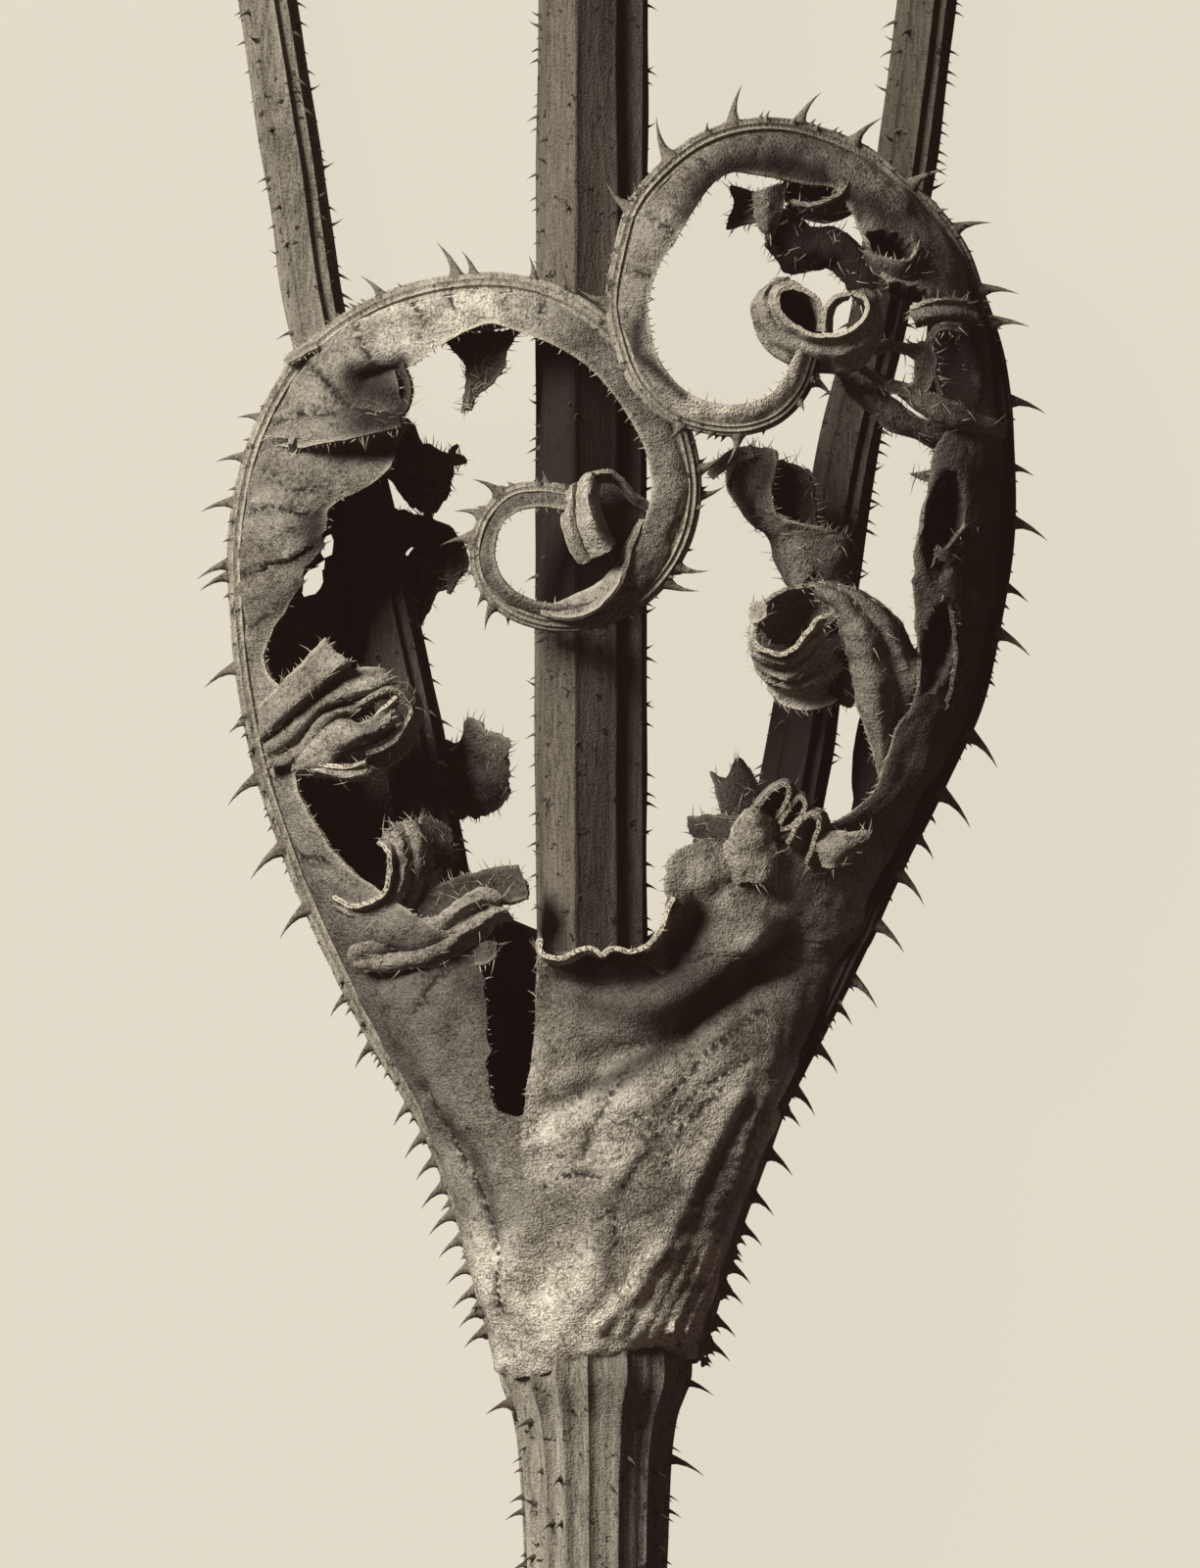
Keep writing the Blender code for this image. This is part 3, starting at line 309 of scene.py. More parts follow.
upper_corners = [
    (-6, 1.0), (24, 0.98), (33, 0.76), (56, 0.79), (107, 1.05), (146, 1.02), (186, 1.02), (222, 1.03),
    (258, 1.03), (294, 1.03), (330, 1.03),
]
upper_line = [
    (0.1, 0.2, 0.0, 3.3), (0.1, 2.5, 0.0, 3.1), (0.1, 7.0, 0.0, 2.8), (0.0, 30.0, 0.0, 2.78),
    (0.0, 50.0, 0.0, 2.75), (0.1, 78.0, 0.0, 2.72),
]
upper_section = section("upper_stem_section", upper_corners, 0.035, 5.0)
upper_stem = ribbed_rod("upper_stem", upper_line, upper_section, 0.5)
lower_corners = []
for i in range(16):
    angle = 22.5 * i + 5 * math.sin(5 * i)
    lower_corners += [(angle, 1.05 + 0.02 * math.sin(3 * i)), (angle + 11, 0.94 + 0.03 * math.sin(7 * i))]
lower_line = [
    (0.1, -18.0, 0.0, 3.38), (0.1, -10.0, 0.0, 3.42), (0.1, -5.0, 0.0, 3.6), (0.1, -2.5, 0.0, 3.9),
    (0.1, -1.4, 0.0, 4.25), (0.1, -0.5, 0.0, 4.55), (0.1, 0.4, 0.0, 4.6), (0.1, 1.3, 0.0, 4.45),
    (0.1, 2.1, 0.0, 3.7),
]
lower_section = section("lower_stem_section", lower_corners, 0.03, 3.0)
lower_stem = ribbed_rod("lower_stem", lower_line, lower_section, 0.3)
for rod, finish in ((upper_stem, stem_finish), (lower_stem, lower_finish)):
    weathered(rod, 0.12, 1.6, 3.0)
    paint_shade_on_rod(rod, behind_the_arch)
    rod.data.materials.append(finish)
    smooth_skin(rod, BARK_CREASE)
    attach(rod, "root")
    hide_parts("main_stem")

# Side shoots. One thin shoot rises from each leaf's axil and leans back. They are the same wood as the
# stem, with seven low ridges and one groove, and end in clean cuts level with the stem's.
left_shoot_finish = rod_finish("Dead teasel shoot", "#7a7467", "#3b372f", "#221d17", 7.0)
# The right shoot's finish is darker than the left's: painted shade.
right_shoot_finish = rod_finish("Dead teasel shoot in shade", "#565045", "#2b2822", "#181410", 7.0)
shoot_corners = [
    (12, 1.08), (50, 1.1), (62, 0.86), (76, 1.08), (128, 1.06), (176, 1.08), (232, 1.06), (300, 1.06),
]
left_line = [
    (-4.4, 7.0, 0.0, 0.75), (-5.0, 9.5, -0.2, 1.1), (-6.0, 14.0, -0.6, 1.36), (-7.2, 21.0, -1.1, 1.48),
    (-8.7, 30.0, -1.9, 1.46), (-9.7, 35.0, -2.35, 1.46), (-11.9, 45.0, -3.3, 1.42),
    (-14.1, 54.0, -4.1, 1.37), (-15.3, 62.0, -4.7, 1.37), (-16.6, 70.0, -5.2, 1.35),
    (-17.8, 78.0, -5.56, 1.34),
]
right_line = [
    (4.6, 7.0, 0.0, 0.75), (5.3, 9.5, -0.2, 1.1), (6.7, 14.0, -0.6, 1.36), (8.6, 21.0, -1.1, 1.5),
    (10.5, 31.0, -2.0, 1.55), (11.7, 38.5, -2.7, 1.5), (13.0, 46.5, -3.45, 1.42), (14.7, 54.0, -4.1, 1.37),
    (16.0, 61.0, -4.65, 1.37), (17.15, 70.0, -5.2, 1.35), (18.1, 78.0, -5.56, 1.34),
]


def inside_the_leaf(x, y):
    """Painted shade on the left shoot, where it runs inside its leaf and the leaf shades it."""
    return 0.8 * clamped((47.5 - y) / 1.5) + 0.15 * clamped((33.5 - y) / 2)


def in_the_shade(x, y):
    """Painted shade on the right shoot, which the stem and its leaf keep in shade."""
    return 0.25 + 0.75 * clamped((38.5 - y) / 3)


for side, line, finish, painted_shading in (
    ("left", left_line, left_shoot_finish, inside_the_leaf),
    ("right", right_line, right_shoot_finish, in_the_shade),
):
    shoot_section = section(side + "_shoot_section", shoot_corners, 0.05, 8.0)
    shoot = ribbed_rod(side + "_side_shoot", line, shoot_section, 0.5)
    weathered(shoot, 0.10, 1.3, 9.0)
    paint_shade_on_rod(shoot, painted_shading)
    shoot.data.materials.append(finish)
    smooth_skin(shoot, BARK_CREASE)
    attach(shoot, "root")
    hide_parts(side + "_shoot")

# Leaf pair. Two dead leaves stand opposite each other, with their bases grown into one cup round the stem.
# Each blade is a quarter of a millimetre of felted tissue folded along its midrib, arched over and torn
# where it dried.
BLADE = 0.24
BLADE_CREASE = 60
LEAF_SPACING = 0.3
CUP_STEPS = 18
CUP_INTERVALS = 4
BACK_STEPS = 13
BACK_INTERVALS = 7
RIM_STEPS = 6
RIM_INTERVALS = 13
UPPER_STEPS = 40
LOWER_STEPS = 20
WRINKLES = [(2.6, 0.17), (1.1, 0.12), (0.5, 0.07), (0.3, 0.03)]
TEAR_WIDE = 0.9
TEAR_DEPTH = 1.6
RIM_WIDE = 0.25
VEIN_WIDE = 0.22
VEIN_REACH = 0.4
VEIN_DEPTH = 0.1

# Stations from base to tip: a point of the midrib, the upper side's edge with its arch, the lower side's
# edge with its arch, how raggedly the upper edge is torn, and the tone, from 0 dark to 1 pale. The tone is
# painted light and shade: it is low where the blade lies in shade and high where it is lit.
LEFT_LEAF = [
    (-4.65, 0.6, 0.0, -3.15, 0.5, 3.95, 1.6, 0.1, 0.5, -4.8, 3.3, 0.0, 1.0),
    (-5.75, 5.1, 0.0, -3.4, 5.0, 4.55, 1.9, 0.1, 5.1, -6.2, 4.2, 0.0, 0.95),
    (-6.6, 8.2, 0.0, -3.7, 8.2, 4.8, 2.0, 0.1, 8.2, -6.7, 4.6, 0.0, 0.38),
    (-7.65, 11.2, 0.0, -4.15, 11.3, 5.0, 2.0, 0.1, 11.2, -6.6, 4.7, 0.1, 0.38),
    (-8.9, 13.8, 0.0, -4.9, 13.7, 5.2, 2.0, 0.1, 14.0, -6.3, 4.8, 0.2, 0.28),
    (-10.9, 17.2, 0.0, -5.3, 17.0, 5.5, 2.0, 0.0, 17.2, -5.9, 4.8, 0.2, 0.19),
    (-12.6, 20.6, 0.0, -5.6, 20.3, 5.4, 2.0, -2.6, 20.6, -5.5, 4.0, 0.2, 0.17),
    (-13.5, 22.5, 0.0, -7.4, 22.3, 5.1, 1.8, -4.0, 23.0, -5.6, 3.0, 0.2, 0.22),
    (-14.2, 24.1, 0.0, -9.4, 23.6, 4.4, 1.4, -5.4, 24.4, -5.7, 2.6, 0.1, 0.25),
    (-14.95, 25.9, 0.0, -13.0, 26.4, 2.4, 0.6, -8.4, 26.2, -5.7, 2.0, 0.1, 0.3),
    (-16.4, 30.1, 0.0, -15.0, 30.4, 1.6, 0.3, -8.6, 30.2, -5.7, 2.0, 0.1, 0.32),
    (-17.1, 33.0, 0.0, -14.3, 33.2, 2.6, 0.8, -9.0, 33.0, -5.7, 2.0, 0.1, 0.34),
    (-17.6, 36.0, 0.0, -16.7, 36.2, 1.0, 0.2, -9.6, 35.8, -5.7, 2.0, 0.1, 0.34),
    (-17.85, 38.8, 0.0, -15.3, 39.4, 2.4, 0.8, -9.8, 38.8, -5.7, 2.2, 0.3, 0.32),
    (-17.95, 41.8, 0.0, -13.8, 42.2, 3.4, 1.8, -10.4, 42.0, -5.8, 2.4, 0.4, 0.32),
    (-17.7, 44.3, 0.0, -13.1, 44.2, 3.8, 2.2, -10.6, 44.8, -5.9, 2.6, 0.1, 0.32),
    (-17.3, 46.2, 0.0, -10.5, 45.8, 4.2, 3.0, -13.0, 46.3, -5.5, 1.8, 0.1, 0.32),
    (-16.8, 47.7, 0.0, -9.9, 47.2, 3.4, 3.2, -15.6, 47.6, -1.4, 0.2, 0.2, 0.34),
    (-15.9, 49.6, 0.0, -9.6, 48.8, 3.0, 3.2, -14.9, 49.2, -1.2, 0.2, 0.2, 0.36),
    (-14.55, 51.6, 0.2, -10.0, 50.8, 3.6, 2.2, -13.7, 50.9, -0.8, 0.2, 0.1, 0.4),
    (-12.7, 53.2, 0.8, -9.5, 51.2, 3.9, 1.4, -12.0, 52.3, 0.0, 0.2, 0.0, 0.55),
    (-10.5, 54.4, 1.6, -8.7, 51.6, 4.2, 1.1, -9.9, 53.1, 0.9, 0.2, 0.0, 0.7),
    (-8.2, 55.1, 2.7, -7.0, 52.7, 4.7, 0.9, -7.8, 53.2, 1.8, 0.3, 0.0, 0.74),
    (-5.7, 55.4, 3.7, -5.2, 53.4, 5.2, 0.8, -5.5, 53.1, 2.7, 0.3, 0.0, 0.75),
    (-3.4, 55.2, 4.4, -3.3, 52.9, 5.5, 0.8, -3.5, 53.3, 3.9, 0.2, 0.0, 0.5),
    (-1.4, 54.5, 4.8, -2.0, 52.4, 5.8, 0.8, -2.0, 52.9, 4.3, 0.2, 0.0, 0.34),
    (0.15, 53.5, 5.0, -0.5, 51.5, 5.9, 0.8, -0.5, 52.1, 4.5, 0.2, 0.0, 0.29),
    (1.9, 51.8, 5.0, 0.9, 50.1, 5.9, 0.8, 1.0, 50.8, 4.5, 0.2, 0.0, 0.28),
    (3.6, 49.8, 5.0, 1.9, 48.6, 5.9, 0.9, 2.3, 49.0, 4.5, 0.2, 0.0, 0.28),
    (4.6, 47.5, 5.0, 2.7, 47.1, 5.8, 0.8, 3.3, 47.2, 4.5, 0.2, 0.0, 0.32),
    (5.0, 45.0, 4.9, 3.1, 45.1, 5.7, 0.8, 3.8, 45.0, 4.4, 0.2, 0.0, 0.32),
    (4.6, 42.7, 4.8, 2.6, 43.2, 5.8, 0.7, 3.6, 43.0, 4.3, 0.2, 0.0, 0.34),
    (3.6, 40.8, 4.7, 2.0, 41.6, 6.0, 0.5, 2.9, 41.4, 4.3, 0.2, 0.0, 0.34),
    (2.1, 39.35, 4.7, 1.2, 40.2, 6.1, 0.4, 1.6, 40.0, 4.3, 0.2, 0.0, 0.32),
    (-0.1, 38.4, 4.8, -0.2, 39.3, 6.0, 0.3, -0.2, 39.2, 4.5, 0.2, 0.0, 0.22),
    (-2.6, 38.4, 4.9, -2.4, 39.2, 5.7, 0.3, -2.4, 39.1, 4.6, 0.2, 0.0, 0.2),
    (-4.7, 39.4, 5.0, -4.1, 40.0, 5.7, 0.3, -4.2, 39.9, 4.7, 0.2, 0.0, 0.18),
    (-5.7, 41.2, 5.1, -4.9, 41.4, 5.8, 0.3, -5.0, 41.4, 4.8, 0.2, 0.0, 0.17),
    (-5.4, 43.2, 5.2, -4.7, 42.9, 5.9, 0.3, -4.8, 43.0, 4.9, 0.2, 0.0, 0.18),
    (-4.2, 44.6, 5.3, -3.9, 43.8, 6.0, 0.3, -3.9, 43.9, 5.0, 0.2, 0.0, 0.2),
    (-2.7, 44.9, 5.3, -2.6, 44.1, 6.0, 0.3, -2.6, 44.2, 5.0, 0.2, 0.0, 0.28),
    (-1.2, 44.7, 5.2, -1.3, 43.9, 5.9, 0.3, -1.3, 44.0, 4.9, 0.2, 0.0, 0.28),
]
RIGHT_LEAF = [
    (5.35, 0.6, 0.0, -2.8, 0.5, 4.1, 5.2, 0.45, 0.5, -4.8, 3.2, 0.0, 1.0),
    (6.4, 4.6, 0.0, -3.05, 4.7, 4.65, 5.8, 0.45, 4.7, -6.2, 4.1, 0.0, 1.0),
    (7.5, 8.2, 0.0, -3.35, 8.2, 4.95, 6.2, 0.45, 8.2, -6.7, 4.6, 0.0, 0.44),
    (8.5, 11.0, 0.0, -3.8, 11.2, 5.2, 6.4, 0.45, 11.2, -6.6, 4.8, 0.0, 0.7),
    (9.5, 13.8, 0.0, -3.4, 13.6, 5.0, 6.2, 0.45, 14.0, -6.3, 4.9, 0.1, 0.72),
    (11.0, 16.8, 0.0, -2.9, 16.8, 4.5, 5.8, 0.5, 17.0, -5.9, 4.9, 0.1, 0.38),
    (12.4, 19.6, 0.0, -2.75, 20.0, 3.9, 5.0, 1.2, 19.8, -5.4, 4.7, 0.0, 0.3),
    (12.9, 20.7, 0.0, -2.7, 21.3, 3.5, 4.6, 1.8, 20.8, -5.2, 4.5, 0.0, 0.3),
    (13.1, 21.1, 0.0, -1.6, 21.32, 3.8, 4.2, 2.2, 21.1, -5.1, 4.4, 0.0, 0.3),
    (13.3, 21.5, 0.0, -0.4, 21.36, 3.9, 3.9, 2.6, 21.5, -5.0, 4.3, 0.0, 0.32),
    (13.5, 21.9, 0.0, 0.6, 21.4, 3.9, 3.8, 2.6, 21.9, -5.0, 4.3, 0.0, 0.35),
    (13.7, 22.2, 0.0, 1.4, 21.45, 3.9, 3.6, 2.8, 22.1, -5.0, 4.3, 0.0, 0.4),
    (13.9, 22.6, 0.0, 2.7, 21.6, 4.0, 3.4, 3.2, 22.4, -4.9, 4.2, 0.0, 0.45),
    (14.2, 23.4, 0.0, 3.8, 23.3, 4.5, 3.0, 4.4, 23.0, -4.8, 3.8, 0.2, 0.5),
    (15.2, 25.6, 0.0, 3.8, 25.8, 5.2, 2.6, 8.6, 24.6, -4.4, 2.2, 0.4, 0.42),
    (16.0, 27.2, 0.0, 5.4, 27.2, 5.0, 2.2, 11.6, 26.6, -3.8, 1.4, 0.3, 0.25),
    (16.9, 28.9, 0.0, 8.4, 27.2, 4.6, 2.0, 13.3, 28.6, -3.2, 0.8, 0.2, 0.2),
    (17.7, 30.6, 0.0, 12.0, 27.9, 3.8, 1.6, 13.3, 30.4, -3.0, 0.8, 0.1, 0.17),
    (18.5, 32.2, 0.0, 14.3, 29.6, 3.4, 1.4, 13.5, 32.2, -3.0, 0.8, 0.1, 0.12),
    (19.2, 33.8, 0.0, 15.4, 32.4, 3.4, 1.4, 14.0, 33.9, -3.0, 0.8, 0.1, 0.1),
    (19.7, 35.4, 0.0, 16.6, 35.0, 3.2, 1.4, 15.6, 35.7, -2.6, 0.6, 0.1, 0.09),
    (20.25, 38.1, 0.0, 16.5, 38.3, 3.6, 1.6, 17.4, 38.4, -1.8, 0.4, 0.1, 0.09),
    (20.75, 41.0, 0.0, 16.4, 41.2, 4.0, 1.8, 17.6, 41.2, -2.0, 0.4, 0.1, 0.09),
    (21.0, 44.0, 0.0, 17.0, 44.4, 4.0, 1.8, 17.5, 44.2, -2.4, 0.6, 0.1, 0.09),
    (20.9, 47.2, 0.0, 17.6, 47.3, 3.8, 1.6, 17.4, 47.4, -2.8, 0.8, 0.1, 0.11),
    (20.8, 49.2, 0.0, 19.4, 49.4, 2.0, 0.5, 17.2, 49.4, -3.0, 0.9, 0.1, 0.25),
    (20.45, 51.6, 0.0, 19.3, 51.7, 1.8, 0.4, 17.2, 51.6, -2.9, 0.8, 0.1, 0.25),
    (19.95, 53.4, 0.0, 18.0, 53.8, 2.6, 0.9, 17.2, 53.4, -2.6, 0.7, 0.2, 0.25),
    (19.45, 54.8, 0.0, 15.8, 54.6, 3.8, 1.7, 17.2, 54.8, -2.1, 0.4, 0.2, 0.3),
    (18.55, 57.2, 0.1, 14.3, 57.0, 4.4, 2.0, 17.1, 56.8, -1.1, 0.2, 0.1, 0.3),
    (17.15, 59.1, 0.4, 13.3, 59.0, 4.4, 1.9, 16.2, 58.4, -0.7, 0.2, 0.1, 0.35),
    (15.7, 60.35, 0.9, 12.6, 60.1, 4.4, 1.6, 14.9, 59.6, -0.2, 0.2, 0.0, 0.4),
    (14.1, 61.75, 1.5, 11.8, 60.4, 4.5, 1.3, 13.5, 60.7, 0.6, 0.2, 0.0, 0.3),
    (12.1, 62.7, 2.3, 10.4, 60.6, 5.0, 1.1, 11.8, 61.4, 1.5, 0.2, 0.0, 0.24),
    (9.9, 63.3, 3.3, 8.9, 60.9, 5.6, 0.9, 9.7, 61.9, 2.6, 0.2, 0.0, 0.22),
    (7.8, 63.25, 4.4, 7.2, 61.1, 6.2, 0.8, 7.8, 61.9, 3.7, 0.2, 0.0, 0.25),
    (5.8, 62.6, 5.4, 6.0, 60.3, 6.9, 0.8, 6.1, 61.3, 4.8, 0.2, 0.0, 0.3),
    (4.0, 61.3, 6.2, 5.0, 58.9, 7.6, 0.8, 4.8, 60.2, 5.7, 0.2, 0.0, 0.36),
    (2.4, 59.4, 6.9, 4.2, 57.5, 8.0, 0.8, 3.5, 58.7, 6.4, 0.2, 0.0, 0.36),
    (1.65, 57.0, 7.3, 3.4, 56.3, 8.3, 0.7, 2.7, 56.8, 6.8, 0.2, 0.0, 0.35),
    (1.25, 54.5, 7.6, 2.9, 54.5, 8.4, 0.6, 2.3, 54.5, 7.1, 0.2, 0.0, 0.34),
    (1.6, 52.5, 7.6, 3.0, 53.0, 8.4, 0.5, 2.5, 52.8, 7.1, 0.2, 0.0, 0.34),
    (2.4, 50.5, 7.6, 3.5, 51.4, 8.4, 0.4, 3.1, 51.1, 7.1, 0.2, 0.0, 0.4),
    (3.9, 49.0, 7.5, 4.6, 50.1, 8.3, 0.4, 4.4, 49.8, 7.0, 0.2, 0.0, 0.65),
    (5.8, 48.3, 7.4, 6.0, 49.4, 8.1, 0.4, 5.9, 49.1, 6.9, 0.2, 0.0, 0.9),
    (7.7, 48.2, 7.2, 7.6, 49.3, 7.9, 0.4, 7.6, 49.0, 6.7, 0.2, 0.0, 1.0),
    (9.4, 48.8, 7.0, 9.0, 49.8, 7.6, 0.3, 9.1, 49.6, 6.5, 0.2, 0.0, 1.0),
    (10.6, 50.1, 6.8, 9.8, 50.8, 7.4, 0.3, 9.9, 50.7, 6.4, 0.2, 0.0, 0.9),
    (11.2, 51.7, 6.7, 10.5, 52.1, 7.3, 0.3, 10.6, 52.0, 6.3, 0.2, 0.0, 0.8),
]

# Nerves that stand up from the leaves. Lines along their tops are painted paler: painted highlights.
LEFT_NERVES = [
    [(-17.2, 44.35), (-16.3, 44.25), (-15.2, 44.15), (-14.1, 43.9)],
    [(-16.0, 48.75), (-15.2, 48.85), (-14.5, 49.1), (-13.3, 49.1)],
]
FLANK_NERVES = [
    [(3.0, 2.0), (3.8, 3.7), (4.55, 5.1), (5.5, 6.9), (6.1, 8.3), (6.85, 10.1), (7.85, 12.3), (9.3, 15.0)],
    [(3.9, 2.2), (5.0, 4.6), (5.8, 6.4), (6.4, 8.1), (7.0, 9.65), (7.8, 11.2), (8.7, 13.0), (10.3, 16.0)],
    [(4.7, 2.2), (5.6, 4.3), (6.4, 6.4), (7.15, 8.6), (7.9, 10.4), (8.5, 11.9), (9.15, 13.2)],
]
# Folds, veins and hollows of the upper faces, each with its height, its width, the side it is raised on and
# its points of x and y. Side 0 is a ridge or a valley, 1 or -1 a step, raised on the left or on the right.
# Past FADE_REACH times its width, a fold or a line of painted shade is gone.
FADE_REACH = 2.5
RELIEF = [
    (0.9, 2.6, 1, [(-16.3, 47.5), (-15.0, 47.1), (-14.3, 47.3), (-13.1, 47.5), (-11.5, 47.85),
        (-9.6, 48.2)]),
    (-0.6, 0.9, 0, [(-13.0, 46.7), (-11.0, 46.9), (-9.8, 47.1)]),
    (0.35, 0.8, 1, [(-14.6, 51.6), (-13.4, 50.4), (-12.35, 49.0)]),
    (-0.8, 0.55, 0, [(-11.6, 50.6), (-10.6, 51.0), (-9.6, 51.3)]),
    (0.3, 0.9, -1, [(-13.9, 42.4), (-15.2, 41.6), (-16.8, 41.1), (-17.7, 40.7)]),
    (-0.5, 0.8, 0, [(-14.4, 43.0), (-13.8, 42.3)]),
    (0.22, 0.22, 0, LEFT_NERVES[0]),
    (0.22, 0.22, 0, LEFT_NERVES[1]),
    (-0.45, 0.5, 0, [(-8.5, 14.4), (-6.8, 11.2), (-5.7, 9.0), (-4.8, 6.4)]),
    (0.25, 0.8, 0, [(-9.6, 13.4), (-7.6, 10.0), (-6.4, 7.0), (-5.5, 4.0)]),
    (-0.8, 0.8, 0, [(-10.6, 20.6), (-8.4, 20.8), (-6.2, 21.4)]),
    (-1.2, 0.9, 0, [(-1.7, 20.0), (0.0, 19.8), (1.6, 20.0), (2.9, 20.2), (4.2, 21.5), (5.4, 22.9)]),
    (0.5, 0.7, 0, [(2.65, 18.5), (4.8, 19.75), (6.8, 20.75), (8.55, 22.0)]),
    (-1.1, 1.0, 0, [(0.2, 16.0), (1.8, 16.5), (4.8, 17.25), (6.7, 18.75), (8.55, 20.5), (10.3, 22.0)]),
    (0.5, 0.5, 0, [(-2.9, 14.4), (-2.35, 15.75), (-2.6, 17.05), (-2.75, 18.5), (-2.6, 19.75)]),
    (-0.6, 0.7, 0, [(-2.8, 12.7), (-1.7, 13.5), (-0.5, 14.25), (0.4, 14.85)]),
    (0.5, 0.8, 0, [(-1.5, 18.1), (-1.2, 19.0)]),
    (0.2, 0.3, 0, [(0.73, 9.35), (1.5, 10.25), (2.55, 11.5), (3.18, 12.1)]),
    (0.3, 0.9, 0, [(-1.0, 3.0), (0.6, 6.0), (0.9, 9.0)]),
    (-0.3, 0.9, 0, [(-3.0, 10.5), (-2.0, 7.5), (-2.4, 4.5)]),
    (0.3, 0.35, 0, [(0.42, 2.46), (2.1, 4.3), (2.55, 5.2), (3.5, 6.45)]),
    (0.22, 0.35, 0, [(1.34, 2.15), (3.0, 5.2), (3.94, 6.9), (5.15, 9.65), (6.4, 12.1), (7.45, 14.1)]),
    (-0.18, 0.3, 0, [(4.6, 7.0), (5.8, 9.4), (6.9, 11.7), (8.1, 13.9)]),
    (0.25, 0.22, 0, [(2.3, 2.0), (3.2, 3.8), (3.86, 5.2), (4.5, 6.7), (5.2, 8.27)]),
    (0.22, 0.2, 0, FLANK_NERVES[0]),
    (0.34, 0.22, 0, FLANK_NERVES[1]),
    (0.42, 0.22, 0, FLANK_NERVES[2]),
]
# Pockets, where a lobe has curled over itself: the middle, both radii, the turn in degrees and the depth.
POCKETS = [
    (15.3, 57.3, 1.4, 0.65, -25, 1.5), (15.9, 54.6, 1.6, 0.8, -10, 1.6), (18.4, 50.9, 1.2, 2.4, -8, 1.6),
    (17.9, 43.2, 1.0, 2.8, -8, 1.6), (17.6, 37.0, 0.8, 2.4, -12, 1.2),
]
POCKET_REACH = 1.5
POCKET_LIP = 0.25
# Inside this share of its radius, a pocket's tissue is painted black: painted shade.
POCKET_EDGE = 0.97
# Painted shade over folds, hollows and cracks that stay in shade: the share of the tone that each takes,
# its width and its points. A share below nothing is a paler line, a painted highlight along a lit ridge.
PAINTED_SHADING_LINES = [
    (0.95, 0.8, [(5.6, 59.9), (6.6, 61.0), (7.8, 61.5), (9.2, 61.6), (10.6, 61.3), (11.6, 60.9)]),
    (0.9, 0.6, [(5.9, 59.8), (4.9, 58.9)]),
    (0.9, 0.35, [(2.35, 53.3), (2.3, 52.0), (3.45, 50.9), (4.65, 49.8)]),
    (0.95, 1.1, [(-0.3, 20.8), (1.6, 20.4), (3.2, 20.2), (4.4, 20.6), (5.0, 22.0), (5.8, 23.0)]),
    (0.7, 1.0, [(0.0, 18.6), (2.0, 18.2), (4.2, 18.4), (6.2, 19.8)]),
    (0.8, 0.7, [(-0.9, 14.5), (0.7, 14.8), (2.7, 15.9), (4.6, 17.2), (5.9, 18.5), (7.5, 19.8),
        (10.3, 22.0)]),
    (0.7, 0.9, [(-10.4, 21.2), (-8.4, 21.1), (-6.2, 21.3)]),
    (0.45, 0.6, [(-5.6, 20.3), (-5.3, 18.6), (-5.2, 17.2)]),
    (0.6, 0.4, [(-8.15, 13.5), (-7.2, 12.55), (-6.15, 11.35), (-5.55, 10.25), (-5.1, 8.9), (-4.9, 7.0)]),
    (0.5, 0.25, [(4.6, 7.0), (5.8, 9.4), (7.0, 11.7), (8.1, 13.9)]),
    (-0.3, 0.13, FLANK_NERVES[0]),
    (-0.8, 0.15, FLANK_NERVES[1]),
    (-1.1, 0.15, FLANK_NERVES[2]),
    (0.85, 0.7, [(-12.6, 46.7), (-11.0, 47.0), (-9.9, 47.2)]),
    (0.7, 0.7, [(-13.8, 43.6), (-14.0, 42.0), (-14.6, 40.4), (-15.4, 39.2)]),
    (0.9, 0.6, [(-12.2, 50.9), (-11.0, 50.8), (-9.8, 51.1)]),
    (0.95, 0.14, [(-14.3, 51.35), (-13.6, 50.65), (-12.9, 49.85), (-12.4, 49.15)]),
    (0.5, 0.3, [(0.42, 7.0), (0.5, 6.4), (0.9, 5.0)]),
    (0.4, 0.9, [(6.2, 8.2), (7.3, 10.8), (8.6, 13.4)]),
    (0.93, 1.1, [(-11.9, 50.1), (-10.9, 50.0), (-9.8, 49.8)]),
    (0.9, 0.3, [(-11.4, 48.5), (-9.7, 48.6)]),
    (0.85, 0.85, [(-14.4, 43.0), (-13.8, 42.3)]),
    (-0.5, 0.13, LEFT_NERVES[0]),
    (-0.5, 0.13, [(-17.9, 40.9), (-16.7, 41.4), (-15.8, 41.6), (-15.0, 41.8), (-14.4, 42.3)]),
    (-0.4, 0.13, LEFT_NERVES[1]),
    (0.93, 1.4, [(18.9, 52.7), (18.9, 51.4), (18.8, 50.2), (18.6, 49.2)]),
    (0.85, 0.8, [(13.6, 59.7), (14.6, 59.2), (15.3, 58.7)]),
    (0.6, 1.0, [(14.2, 57.2), (15.4, 56.9)]),
]
